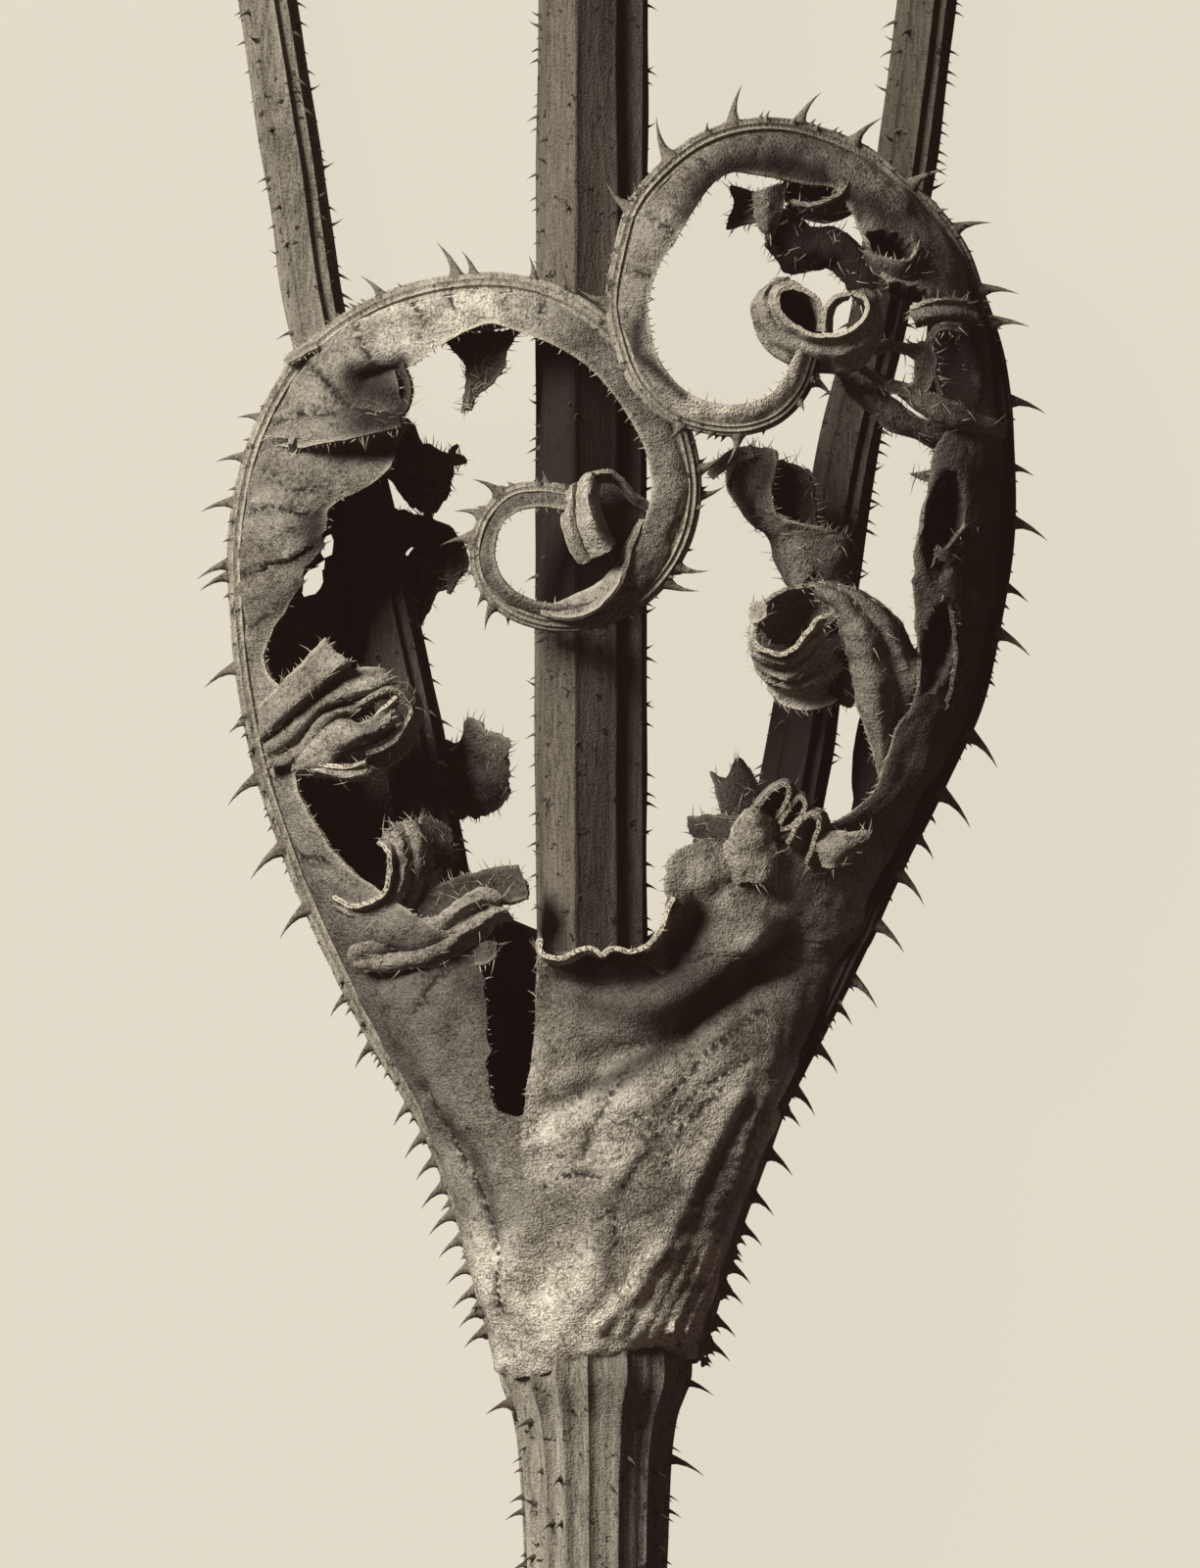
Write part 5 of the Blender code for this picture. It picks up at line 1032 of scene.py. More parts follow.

# Every lobe has its tone, which is painted light and shade and is near 0 for lobes that lie in shade, how
# raggedly its margins are torn, and the lines that it is stretched over, each a list of points from one of
# its ends to the other: a margin, its ridges and grooves in turn, and the far margin.
LEFT_TORN = {
    "overlapping_fold": (0.33, 0.06, [
        [(-16.4, 47.9, 0.6), (-15.2, 48.6, 1.8), (-13.8, 49.2, 2.5), (-12.2, 49.4, 2.8), (-10.8, 49.2, 2.8),
         (-9.9, 48.9, 2.6)],
        [(-16.3, 47.6, 1.6), (-15.2, 47.9, 3.0), (-14.0, 48.3, 4.0), (-12.4, 48.5, 4.5), (-10.8, 48.5, 4.5),
         (-9.8, 48.5, 4.0)],
        [(-16.2, 47.4, 1.6), (-15.2, 47.1, 3.1), (-14.3, 47.2, 4.1), (-13.1, 47.4, 4.8), (-12.0, 47.6, 5.1),
         (-10.7, 47.9, 4.9), (-9.8, 48.1, 4.4)],
    ]),
    "peeled_strip": (0.3, 0.05, [
        [(-15.7, 51.6, 0.5), (-15.0, 52.1, 0.9), (-14.1, 52.6, 1.2)],
        [(-15.5, 51.4, 1.1), (-14.8, 51.8, 1.5), (-13.9, 52.2, 1.7)],
    ]),
    "hanging_lobe": (0.05, 0.25, [
        [(-8.0, 53.0, 2.2), (-7.3, 52.3, 2.5), (-6.6, 51.6, 2.6), (-6.35, 50.8, 2.5), (-6.5, 49.7, 2.4),
         (-6.6, 48.9, 2.4)],
        [(-3.6, 53.2, 3.2), (-4.2, 52.2, 3.0), (-4.5, 51.2, 2.8), (-5.1, 50.4, 2.7), (-5.8, 49.8, 2.6),
         (-6.2, 49.0, 2.5)],
    ]),
    "curled_strap": (0.04, 0.08, [
        [(-10.4, 51.5, 2.8), (-10.0, 50.7, 2.5), (-9.9, 49.9, 2.6), (-10.3, 49.2, 3.0),
         (-10.8, 48.8, 3.3)],
        [(-9.7, 51.9, 3.2), (-9.3, 50.9, 3.1), (-9.1, 49.9, 3.2), (-9.4, 49.0, 3.5), (-10.1, 48.5, 3.7)],
    ]),
    "upper_dark_lobe": (0.1, 0.3, [
        [(-11.0, 48.4, -3.8), (-11.0, 47.2, -4.2), (-10.7, 46.2, -4.8), (-10.1, 45.4, -5.2),
         (-9.6, 44.6, -5.4)],
        [(-9.6, 48.6, -3.2), (-9.3, 47.6, -3.4), (-9.0, 46.4, -3.6), (-8.9, 45.2, -4.0),
         (-8.8, 44.1, -4.4)],
        [(-9.1, 48.1, -2.8), (-8.8, 47.4, -2.7), (-8.6, 46.6, -2.9), (-8.4, 45.4, -3.2),
         (-8.2, 43.9, -3.4)],
    ]),
    "upper_dark_corner": (0.12, 0.25, [
        [(-9.0, 47.3, -2.9), (-8.2, 47.25, -2.7), (-7.6, 47.05, -2.5), (-7.05, 46.7, -2.3)],
        [(-8.9, 46.2, -3.0), (-8.2, 46.1, -2.6), (-7.7, 45.9, -2.3), (-7.15, 45.8, -2.2)],
        [(-8.8, 44.9, -3.2), (-8.4, 44.6, -2.9), (-8.0, 44.5, -2.7), (-7.45, 44.8, -2.5)],
        [(-8.7, 43.9, -3.3), (-8.4, 43.8, -3.2), (-8.2, 43.8, -3.0), (-7.95, 43.9, -2.9)],
    ]),
    "short_spurs": (0.2, 0.05, [
        [(-7.4, 46.7, -2.4), (-6.8, 46.85, -2.2), (-6.35, 46.55, -2.1)],
        [(-7.3, 46.25, -2.3), (-6.8, 46.3, -2.1), (-6.35, 46.4, -2.1)],
    ]),
    "upper_spur": (0.15, 0.0, [
        [(-7.3, 46.9, -2.4), (-7.1, 47.2, -2.3), (-6.85, 47.35, -2.2)],
        [(-7.0, 46.7, -2.3), (-6.95, 47.0, -2.2), (-6.8, 47.3, -2.2)],
    ]),
    "middle_dark_lobe": (0.06, 0.3, [
        [(-10.9, 44.2, -5.8), (-10.8, 42.2, -5.8), (-10.4, 40.4, -5.7), (-10.1, 39.0, -5.7),
         (-10.0, 37.7, -5.7)],
        [(-9.2, 43.8, -4.4), (-8.6, 42.2, -3.6), (-8.4, 41.0, -3.4), (-9.0, 39.4, -4.2),
         (-9.4, 37.9, -4.6)],
        [(-8.3, 43.7, -3.4), (-6.9, 42.8, -2.6), (-6.35, 41.6, -2.2), (-6.6, 40.6, -2.4),
         (-7.4, 40.0, -2.8), (-8.0, 39.6, -3.2), (-8.9, 37.7, -3.8)],
    ]),
    "dark_tail": (0.06, 0.08, [
        [(-7.4, 41.3, -2.6), (-7.3, 40.5, -2.4), (-7.4, 39.8, -2.3)],
        [(-6.5, 41.2, -2.3), (-6.8, 40.5, -2.2), (-7.2, 39.7, -2.2)],
    ]),
    "lower_dark_lobe": (0.16, 0.3, [
        [(-9.2, 32.6, -5.5), (-7.6, 32.2, -4.2), (-6.7, 32.3, -3.6), (-6.45, 33.3, -3.3),
         (-5.9, 33.3, -3.2), (-5.2, 32.6, -2.8), (-4.3, 32.4, -2.5)],
        [(-9.2, 31.2, -5.6), (-7.6, 31.0, -4.6), (-6.4, 31.2, -3.4), (-5.4, 31.1, -3.2),
         (-4.2, 31.3, -2.4)],
        [(-9.2, 30.2, -5.4), (-7.6, 30.0, -4.0), (-6.4, 30.2, -3.4), (-5.2, 30.0, -2.4),
         (-4.15, 30.3, -2.3)],
        [(-9.2, 28.4, -5.6), (-7.4, 28.3, -4.6), (-6.2, 28.4, -3.6), (-5.1, 28.6, -2.9),
         (-4.2, 29.3, -2.4)],
    ]),
    "cup_lobe_back": (0.1, 0.15, [
        [(-9.0, 24.2, 2.6), (-7.3, 25.1, 3.0), (-5.9, 25.5, 3.2), (-4.7, 25.8, 3.3), (-3.7, 25.9, 3.2)],
        [(-8.6, 23.4, 3.2), (-7.2, 24.2, 3.5), (-5.6, 24.6, 3.6), (-4.6, 24.9, 3.4), (-3.4, 25.1, 4.1)],
        [(-8.2, 22.8, 3.6), (-7.0, 23.4, 3.9), (-5.6, 24.0, 4.1), (-4.4, 23.9, 4.2), (-3.25, 24.1, 4.3)],
    ]),
    "behind_the_curl": (0.12, 0.2, [
        [(-9.6, 28.0, 1.2), (-8.7, 28.3, 0.8), (-7.9, 28.1, 0.4), (-7.2, 27.6, 0.2)],
        [(-9.6, 26.6, 1.6), (-8.6, 26.9, 1.4), (-7.8, 26.9, 1.0), (-7.1, 26.7, 0.6)],
        [(-9.6, 25.2, 1.2), (-8.4, 25.4, 0.6), (-7.8, 25.7, 0.4), (-7.2, 25.9, 0.2)],
    ]),
    "slot_flap": (0.1, 0.1, [
        [(-6.1, 21.6, 4.4), (-5.4, 22.0, 4.8), (-4.8, 22.0, 4.9)],
        [(-6.0, 20.7, 4.9), (-5.3, 20.9, 5.3), (-4.8, 21.2, 5.2)],
    ]),
}
LEFT_ROLLED = {
    "upper_strap": (0.38, 0.06, [
        [(-16.9, 34.0, 1.2), (-16.15, 34.7, 2.0), (-15.0, 35.9, 2.9), (-14.1, 36.8, 3.5),
         (-13.45, 37.4, 3.8)],
        [(-16.9, 33.2, 1.5), (-16.1, 34.0, 2.6), (-15.0, 35.1, 3.5), (-14.0, 36.0, 4.1),
         (-13.1, 36.8, 4.4)],
        [(-16.9, 32.4, 1.7), (-16.0, 33.3, 3.0), (-15.0, 34.2, 4.0), (-13.85, 35.1, 4.6),
         (-12.8, 36.0, 5.0), (-12.4, 36.3, 5.0)],
        [(-16.8, 32.1, 1.1), (-15.8, 33.0, 1.9), (-14.8, 33.9, 2.7), (-13.7, 34.9, 3.2), (-12.6, 35.8, 3.6),
         (-12.2, 36.1, 3.7)],
    ]),
    "second_pleat": (0.38, 0.06, [
        [(-16.8, 32.1, 1.1), (-15.8, 33.0, 1.9), (-14.6, 34.1, 2.6), (-13.5, 35.0, 3.1), (-12.4, 35.8, 3.5),
         (-11.7, 35.9, 3.6), (-10.6, 35.7, 3.6)],
        [(-16.6, 31.7, 1.6), (-15.4, 32.5, 2.7), (-14.2, 33.7, 3.6), (-13.2, 34.3, 4.4), (-12.0, 34.7, 4.7),
         (-11.0, 35.0, 4.8), (-10.3, 35.3, 4.7)],
        [(-16.5, 31.3, 1.2), (-15.2, 31.8, 2.0), (-14.0, 33.4, 2.7), (-13.0, 34.0, 3.2), (-12.0, 34.3, 3.6),
         (-11.2, 34.7, 3.8), (-10.3, 35.0, 3.9)],
        [(-16.4, 31.0, 1.5), (-15.0, 31.4, 2.4), (-13.9, 32.9, 3.3), (-13.1, 33.6, 3.9), (-12.2, 33.8, 4.3),
         (-11.5, 34.2, 4.6), (-10.8, 34.6, 4.8), (-10.0, 34.8, 4.8)],
        [(-13.6, 32.9, 2.8), (-13.0, 33.3, 3.0), (-12.2, 33.5, 3.1), (-11.5, 33.9, 3.2), (-10.8, 34.3, 3.4),
         (-10.1, 34.5, 3.5)],
    ]),
    "pleat_between_the_loops": (0.5, 0.05, [
        [(-15.6, 31.2, 1.6), (-14.4, 32.4, 2.4), (-12.9, 33.3, 3.2), (-11.85, 33.1, 4.0),
         (-11.3, 33.3, 4.5), (-10.8, 33.7, 4.8), (-10.2, 34.2, 4.9), (-10.0, 34.5, 4.8)],
        [(-15.2, 30.9, 2.2), (-14.1, 31.9, 3.2), (-13.0, 32.9, 3.9), (-12.0, 32.8, 4.4), (-11.3, 33.0, 4.6),
         (-10.5, 33.4, 4.6), (-9.9, 34.1, 4.4)],
        [(-15.0, 30.7, 2.2), (-13.5, 31.1, 3.2), (-13.1, 31.7, 3.9), (-12.5, 32.1, 4.3), (-11.8, 32.4, 4.6),
         (-10.9, 32.7, 4.8), (-10.2, 33.3, 4.9)],
        [(-14.6, 30.8, 1.6), (-13.2, 31.0, 2.0), (-12.9, 31.4, 2.4), (-12.4, 31.7, 2.6), (-11.7, 32.0, 2.8),
         (-10.8, 32.3, 3.0), (-10.0, 32.9, 3.2)],
    ]),
    "outer_loop": (0.3, 0.05, [
        [(-11.7, 34.1, 4.7), (-10.9, 34.6, 4.9), (-10.0, 34.75, 4.9), (-9.4, 34.3, 4.7),
         (-9.15, 33.65, 4.5), (-9.4, 33.05, 4.3), (-9.8, 32.55, 4.2), (-10.4, 32.05, 4.1),
         (-10.9, 31.75, 4.0), (-11.5, 31.5, 3.8)],
        [(-11.4, 34.3, 4.0), (-10.7, 34.8, 4.2), (-9.9, 35.0, 4.2), (-9.1, 34.4, 3.9), (-8.8, 33.6, 3.6),
         (-9.1, 32.8, 3.4), (-9.6, 32.2, 3.2), (-10.2, 31.7, 3.1), (-10.8, 31.4, 3.0), (-11.5, 31.1, 2.9)],
        [(-11.2, 34.4, 3.0), (-10.5, 34.9, 3.0), (-9.7, 35.1, 2.6), (-8.9, 34.4, 2.0), (-8.7, 33.4, 1.6),
         (-9.0, 32.2, 1.6), (-9.5, 31.5, 1.8), (-10.2, 31.1, 2.0), (-10.9, 30.8, 2.2), (-11.6, 30.9, 2.2)],
    ]),
    "doubled_end": (0.6, 0.03, [
        [(-15.4, 31.0, 1.7), (-14.5, 31.3, 2.6), (-13.8, 31.1, 3.2), (-13.1, 30.95, 3.6),
         (-12.3, 31.0, 3.9), (-11.55, 31.15, 4.0)],
        [(-15.4, 30.9, 1.5), (-14.5, 31.05, 2.3), (-13.7, 30.9, 2.9), (-13.0, 30.75, 3.3),
         (-12.2, 30.75, 3.6), (-11.35, 30.85, 3.7)],
        [(-15.4, 30.7, 1.6), (-14.4, 30.8, 2.5), (-13.6, 30.65, 3.1), (-12.8, 30.45, 3.5),
         (-12.05, 30.4, 3.7), (-11.55, 30.45, 3.8)],
        [(-15.4, 30.6, 1.0), (-14.4, 30.5, 1.6), (-13.6, 30.45, 2.0), (-12.8, 30.25, 2.3),
         (-12.1, 30.2, 2.5), (-11.6, 30.3, 2.6)],
    ]),
    "lower_curl": (0.45, 0.05, [
        [(-13.2, 24.3, 2.6), (-12.8, 24.0, 3.2), (-12.05, 23.8, 3.8), (-11.3, 24.0, 4.3),
         (-10.65, 24.5, 4.7), (-10.2, 25.3, 4.9), (-10.15, 26.3, 4.8), (-10.35, 26.8, 4.6),
         (-10.9, 27.15, 4.2)],
        [(-13.1, 23.9, 2.3), (-12.6, 23.75, 2.7), (-11.7, 23.55, 3.0), (-10.9, 23.8, 3.4),
         (-10.3, 24.4, 3.7), (-10.0, 25.3, 3.9), (-10.0, 26.3, 3.9), (-10.1, 27.0, 3.8),
         (-10.6, 27.5, 3.6)],
        [(-13.0, 23.7, 2.4), (-12.3, 23.4, 2.9), (-11.05, 23.3, 3.5), (-10.2, 23.9, 4.1), (-9.6, 25.1, 4.5),
         (-9.55, 26.3, 4.5), (-9.8, 27.2, 4.3), (-10.3, 27.8, 4.0)],
        [(-12.9, 23.5, 1.9), (-11.7, 23.1, 2.3), (-10.0, 23.5, 3.0), (-9.3, 25.0, 3.4), (-9.25, 26.3, 3.5),
         (-9.45, 27.4, 3.4), (-9.8, 28.0, 3.2)],
        [(-12.8, 23.3, 1.9), (-11.0, 22.9, 2.2), (-9.5, 23.4, 3.0), (-8.9, 25.0, 3.6), (-8.7, 26.3, 3.7),
         (-8.8, 27.3, 3.6), (-9.2, 28.05, 3.2)],
        [(-12.6, 23.1, 1.2), (-10.6, 22.7, 1.4), (-8.9, 23.4, 1.6), (-8.3, 24.8, 1.8), (-8.2, 26.0, 1.8),
         (-8.3, 27.0, 1.8), (-8.7, 27.8, 1.8)],
    ]),
    "cup_lobe_front": (0.42, 0.08, [
        [(-12.3, 21.7, 1.8), (-11.0, 22.2, 2.6), (-9.4, 22.7, 3.4), (-7.8, 23.3, 4.1), (-6.65, 24.1, 4.6),
         (-5.6, 24.6, 4.8), (-4.9, 24.5, 4.6)],
        [(-12.4, 21.3, 2.2), (-11.1, 21.9, 3.2), (-9.4, 22.4, 4.2), (-7.8, 22.95, 4.9), (-6.65, 23.7, 5.3),
         (-5.6, 24.2, 5.4), (-4.7, 24.2, 5.1)],
        [(-12.2, 20.9, 2.2), (-10.4, 21.4, 3.1), (-8.9, 21.9, 4.0), (-7.6, 22.4, 4.5), (-6.6, 23.1, 4.7),
         (-5.6, 23.7, 4.8), (-4.8, 23.8, 4.6)],
        [(-11.9, 20.7, 2.5), (-9.6, 21.0, 3.9), (-7.95, 21.5, 4.8), (-6.9, 22.1, 5.3), (-5.85, 22.8, 5.5),
         (-4.8, 23.45, 5.4), (-4.3, 23.55, 5.1)],
        [(-11.6, 20.5, 2.4), (-9.4, 20.6, 3.4), (-7.9, 21.0, 4.0), (-6.8, 21.5, 4.3), (-5.8, 22.2, 4.3),
         (-4.7, 23.0, 4.2), (-4.1, 23.2, 4.1)],
    ]),
}
RIGHT_TORN = {
    "ring_side_face": (0.3, 0.15, [
        [(8.2, 60.0, 4.9), (8.3, 59.2, 4.9), (8.5, 58.4, 4.8), (8.9, 57.8, 4.6)],
        [(9.0, 60.3, 5.2), (8.9, 59.4, 5.2), (8.9, 58.5, 5.1), (9.0, 57.7, 4.8)],
        [(9.8, 60.6, 4.6), (9.7, 59.6, 4.6), (9.5, 58.6, 4.5), (9.2, 57.7, 4.2)],
    ]),
    "ring_side_end": (0.1, 0.08, [
        [(7.0, 60.4, 4.2), (7.6, 60.25, 4.5), (8.3, 60.05, 4.8)],
        [(7.2, 59.4, 3.8), (7.8, 59.4, 4.3), (8.4, 59.4, 4.7)],
        [(6.8, 58.3, 4.2), (7.6, 58.45, 4.4), (8.5, 58.6, 4.7)],
    ]),
    "dark_strap": (0.0, 0.35, [
        [(9.5, 59.3, 3.8), (10.7, 58.7, 3.6), (11.8, 58.3, 3.2), (12.9, 58.0, 3.0), (13.6, 57.4, 3.0),
         (14.4, 56.9, 3.0), (15.2, 56.0, 2.8)],
        [(9.2, 58.2, 4.0), (10.4, 57.4, 4.0), (11.6, 57.2, 3.8), (12.8, 57.0, 3.6), (13.8, 56.0, 3.6),
         (14.4, 55.2, 3.4)],
        [(8.9, 57.6, 3.4), (9.4, 56.8, 3.4), (10.1, 56.1, 3.2), (11.1, 56.1, 3.0), (12.1, 56.4, 2.8),
         (12.8, 55.8, 2.8), (13.3, 54.9, 2.8), (13.9, 54.2, 2.8)],
    ]),
    "eye_lid": (0.12, 0.04, [
        [(10.2, 59.75, 4.4), (11.05, 59.5, 4.9), (11.9, 59.65, 5.0), (12.6, 60.1, 4.7),
         (12.95, 60.65, 4.2)],
        [(10.0, 59.5, 3.9), (11.0, 59.2, 4.3), (12.1, 59.3, 4.4), (13.0, 59.8, 4.1), (13.5, 60.4, 3.6)],
        [(9.8, 59.2, 3.0), (11.0, 58.8, 3.2), (12.3, 58.8, 3.2), (13.5, 59.2, 3.0), (14.4, 59.8, 2.6)],
    ]),
    "first_pocket_lip": (0.09, 0.03, [
        [(14.0, 57.2, 3.8), (14.6, 56.9, 4.5), (15.3, 56.7, 4.7), (16.0, 56.65, 4.6), (16.5, 57.0, 4.2),
         (16.7, 57.5, 3.6)],
        [(14.0, 56.9, 3.8), (14.7, 56.4, 4.4), (15.4, 56.2, 4.5), (16.2, 56.2, 4.3), (16.9, 56.8, 3.7)],
        [(13.9, 56.6, 3.2), (14.7, 55.9, 3.8), (15.5, 55.6, 3.8), (16.5, 55.6, 3.6), (17.4, 56.2, 3.0)],
    ]),
    "folded_ends": (0.3, 0.05, [
        [(16.25, 54.3, 3.8), (17.05, 54.6, 3.6), (18.2, 54.75, 2.8), (19.4, 54.6, 1.6)],
        [(16.2, 54.0, 3.6), (17.1, 54.3, 3.4), (18.2, 54.4, 2.6), (19.4, 54.2, 1.4)],
        [(16.4, 53.6, 4.3), (17.35, 53.85, 4.0), (18.5, 53.9, 3.2), (19.7, 53.6, 1.6)],
        [(16.5, 53.3, 3.6), (17.4, 53.4, 3.2), (18.5, 53.4, 2.2), (19.7, 53.2, 0.8)],
    ]),
    "third_pocket_lip": (0.06, 0.03, [
        [(17.9, 49.8, 4.2), (17.55, 50.8, 4.4), (17.6, 51.6, 4.4), (17.4, 52.4, 4.4), (17.8, 53.0, 4.2),
         (18.4, 53.0, 3.6), (19.0, 52.8, 3.0)],
        [(17.4, 49.6, 3.8), (17.1, 50.8, 4.1), (17.1, 51.8, 4.1), (17.1, 52.6, 4.0), (17.7, 53.4, 3.6),
         (18.6, 53.4, 3.0), (19.2, 53.1, 2.4)],
    ]),
    "front_flap": (0.25, 0.2, [
        [(13.4, 52.0, 4.8), (14.2, 52.5, 4.6), (15.0, 52.6, 4.4), (16.0, 52.4, 4.4), (17.4, 52.6, 3.8)],
        [(14.6, 51.9, 4.8), (15.1, 52.1, 4.6), (15.9, 51.9, 4.6), (16.6, 51.6, 4.6), (17.5, 51.8, 4.0)],
    ]),
    "flap_below_the_gap": (0.25, 0.15, [
        [(13.5, 51.6, 4.8), (14.6, 50.8, 4.8), (15.5, 50.3, 4.6), (16.4, 50.4, 4.6), (16.5, 51.4, 4.6),
         (16.8, 52.0, 4.4)],
        [(13.6, 51.0, 4.6), (14.7, 50.2, 4.6), (15.6, 49.8, 4.4), (16.9, 49.9, 4.3), (17.5, 51.0, 4.2),
         (17.5, 51.9, 4.0)],
    ]),
    "upper_long_strap": (0.22, 0.04, [
        [(13.8, 51.0, 4.6), (15.2, 50.6, 4.4), (16.8, 50.1, 4.2), (18.3, 49.4, 3.6), (19.8, 48.8, 2.2),
         (20.9, 48.4, 0.6)],
        [(14.2, 50.9, 4.6), (15.6, 50.2, 4.7), (17.0, 49.1, 4.6), (18.4, 48.4, 4.0), (20.0, 48.0, 2.4),
         (21.0, 47.7, 0.6)],
        [(14.2, 50.6, 3.8), (15.6, 49.8, 3.6), (17.0, 48.7, 3.4), (18.4, 48.0, 2.8), (20.0, 47.6, 1.2)],
    ]),
    "lower_long_strap": (0.2, 0.06, [
        [(12.4, 51.2, 3.8), (13.8, 50.6, 3.8), (15.2, 49.8, 3.6), (16.5, 48.8, 3.2), (18.0, 48.0, 2.4)],
        [(12.8, 50.4, 4.2), (14.0, 49.7, 4.2), (15.2, 48.9, 4.0), (16.6, 48.2, 3.4), (17.9, 47.5, 2.6)],
        [(13.1, 49.7, 3.4), (14.3, 48.8, 3.4), (15.2, 48.0, 3.2), (16.4, 47.7, 2.6), (17.6, 47.0, 1.8)],
    ]),
    "small_horn": (0.12, 0.03, [
        [(18.2, 46.6, 2.6), (17.4, 46.1, 2.8), (16.7, 45.9, 2.9), (16.2, 45.85, 2.9)],
        [(18.0, 45.2, 2.6), (17.4, 45.3, 2.8), (16.8, 45.5, 2.9), (16.25, 45.75, 2.9)],
    ]),
    "fourth_pocket_lip": (0.04, 0.03, [
        [(17.6, 42.2, 4.0), (17.95, 41.95, 4.1), (18.5, 42.6, 3.8), (19.2, 43.5, 3.0), (19.6, 44.3, 2.4)],
        [(17.4, 41.7, 3.9), (18.1, 41.4, 3.8), (18.8, 42.1, 3.3), (19.5, 43.1, 2.4), (19.9, 44.0, 1.7)],
    ]),
    "lens_rim": (0.03, 0.03, [
        [(16.8, 41.0, 3.8), (17.5, 40.3, 3.8), (18.2, 39.3, 3.5), (18.5, 38.0, 3.2), (18.6, 36.8, 3.0),
         (18.4, 35.5, 3.0), (18.0, 34.2, 3.0)],
        [(17.2, 41.2, 3.4), (17.9, 40.5, 3.2), (18.6, 39.4, 2.8), (18.9, 38.0, 2.4), (19.0, 36.8, 2.2),
         (18.8, 35.4, 2.2), (18.3, 34.0, 2.4)],
    ]),
    "tissue_by_the_eye": (0.02, 0.08, [
        [(9.9, 61.4, 2.6), (10.9, 61.2, 2.6), (11.9, 61.0, 2.6), (12.9, 60.8, 2.6)],
        [(9.8, 60.6, 3.0), (10.8, 60.4, 3.0), (11.8, 60.4, 3.0), (12.7, 60.5, 3.0)],
        [(9.8, 59.7, 3.2), (10.6, 59.6, 3.3), (11.6, 59.7, 3.3), (12.5, 60.1, 3.2)],
    ]),
    "cup_lip": (0.8, 0.0, [
        [(-2.65, 22.15, 4.7), (-2.58, 21.65, 4.9), (-2.2, 21.3, 5.0), (-1.4, 21.18, 5.1),
         (-0.35, 21.65, 5.1), (0.18, 21.5, 5.1), (0.55, 21.25, 5.1), (1.1, 21.65, 5.1), (1.88, 21.45, 5.1),
         (2.53, 21.65, 5.1), (3.19, 22.15, 5.1), (3.58, 22.95, 5.1), (3.84, 23.73, 5.1),
         (4.15, 24.25, 5.1)],
        [(-2.65, 22.1, 4.2), (-2.58, 21.6, 4.3), (-2.2, 21.25, 4.4), (-1.4, 21.13, 4.4),
         (-0.35, 21.55, 4.4), (0.18, 21.4, 4.4), (0.55, 21.2, 4.4), (1.1, 21.55, 4.4), (1.88, 21.4, 4.4),
         (2.6, 21.55, 4.4), (3.25, 22.1, 4.4), (3.65, 22.9, 4.5), (3.9, 23.7, 4.6), (4.25, 24.25, 4.7)],
        [(-2.65, 22.0, 3.6), (-2.58, 21.5, 3.5), (-2.2, 21.1, 3.4), (-1.4, 20.9, 3.4), (-0.35, 21.1, 3.4),
         (0.18, 21.0, 3.4), (0.55, 20.9, 3.4), (1.1, 21.1, 3.4), (1.9, 21.1, 3.4), (2.7, 21.3, 3.5),
         (3.4, 21.9, 3.7), (3.9, 22.7, 3.9), (4.2, 23.6, 4.1), (4.5, 24.25, 4.4)],
    ]),
    "narrow_tip": (0.5, 0.04, [
        [(5.85, 45.8, 2.0), (6.4, 46.5, 2.2), (7.1, 47.0, 2.3), (8.1, 47.2, 2.4)],
        [(6.2, 45.5, 2.0), (6.8, 46.0, 2.3), (7.5, 46.4, 2.5), (8.3, 46.6, 2.6)],
    ]),
    "two_pointed_scrap": (0.06, 0.1, [
        [(6.8, 28.3, 3.6), (6.4, 29.4, 3.8), (6.1, 30.6, 3.6)],
        [(7.4, 28.2, 4.0), (7.1, 29.4, 4.2), (6.9, 30.3, 3.8)],
        [(8.1, 28.4, 3.8), (7.8, 29.8, 3.8), (7.35, 31.3, 3.4)],
        [(8.6, 29.0, 3.2), (8.5, 29.8, 3.2), (8.0, 30.8, 3.0)],
    ]),
    "dark_side_scrap": (0.06, 0.35, [
        [(4.85, 28.2, 4.2), (5.6, 28.4, 4.3), (6.8, 28.3, 4.3), (7.8, 28.2, 4.6)],
        [(5.1, 27.5, 4.6), (5.9, 27.4, 4.8), (6.8, 27.4, 4.8), (7.6, 27.2, 5.0)],
        [(5.2, 27.1, 4.4), (5.8, 26.9, 4.5), (6.8, 26.7, 4.5), (7.3, 26.4, 4.8)],
    ]),
    "lit_triangle": (0.5, 0.2, [
        [(7.8, 28.6, 5.2), (7.0, 27.4, 4.8), (6.5, 26.3, 4.5), (6.8, 25.2, 4.3)],
        [(8.3, 28.8, 5.9), (7.9, 27.4, 5.5), (7.7, 26.2, 5.3), (7.9, 25.0, 4.9)],
        [(8.7, 28.6, 5.6), (8.7, 27.2, 5.4), (8.7, 26.0, 5.2), (8.7, 24.9, 4.8)],
        [(9.0, 28.4, 5.0), (9.3, 27.0, 4.8), (9.4, 26.0, 4.6), (9.3, 25.0, 4.2)],
    ]),
    "pale_flap": (0.4, 0.15, [
        [(11.3, 27.3, 4.6), (12.2, 27.5, 5.0), (13.2, 27.5, 4.9), (14.2, 27.6, 4.4)],
        [(11.5, 26.7, 5.1), (12.3, 26.6, 5.4), (13.2, 26.9, 5.2), (14.0, 27.2, 4.7)],
        [(11.7, 25.9, 4.7), (12.3, 25.7, 4.9), (12.8, 26.1, 4.8), (13.5, 26.6, 4.5)],
    ]),
}
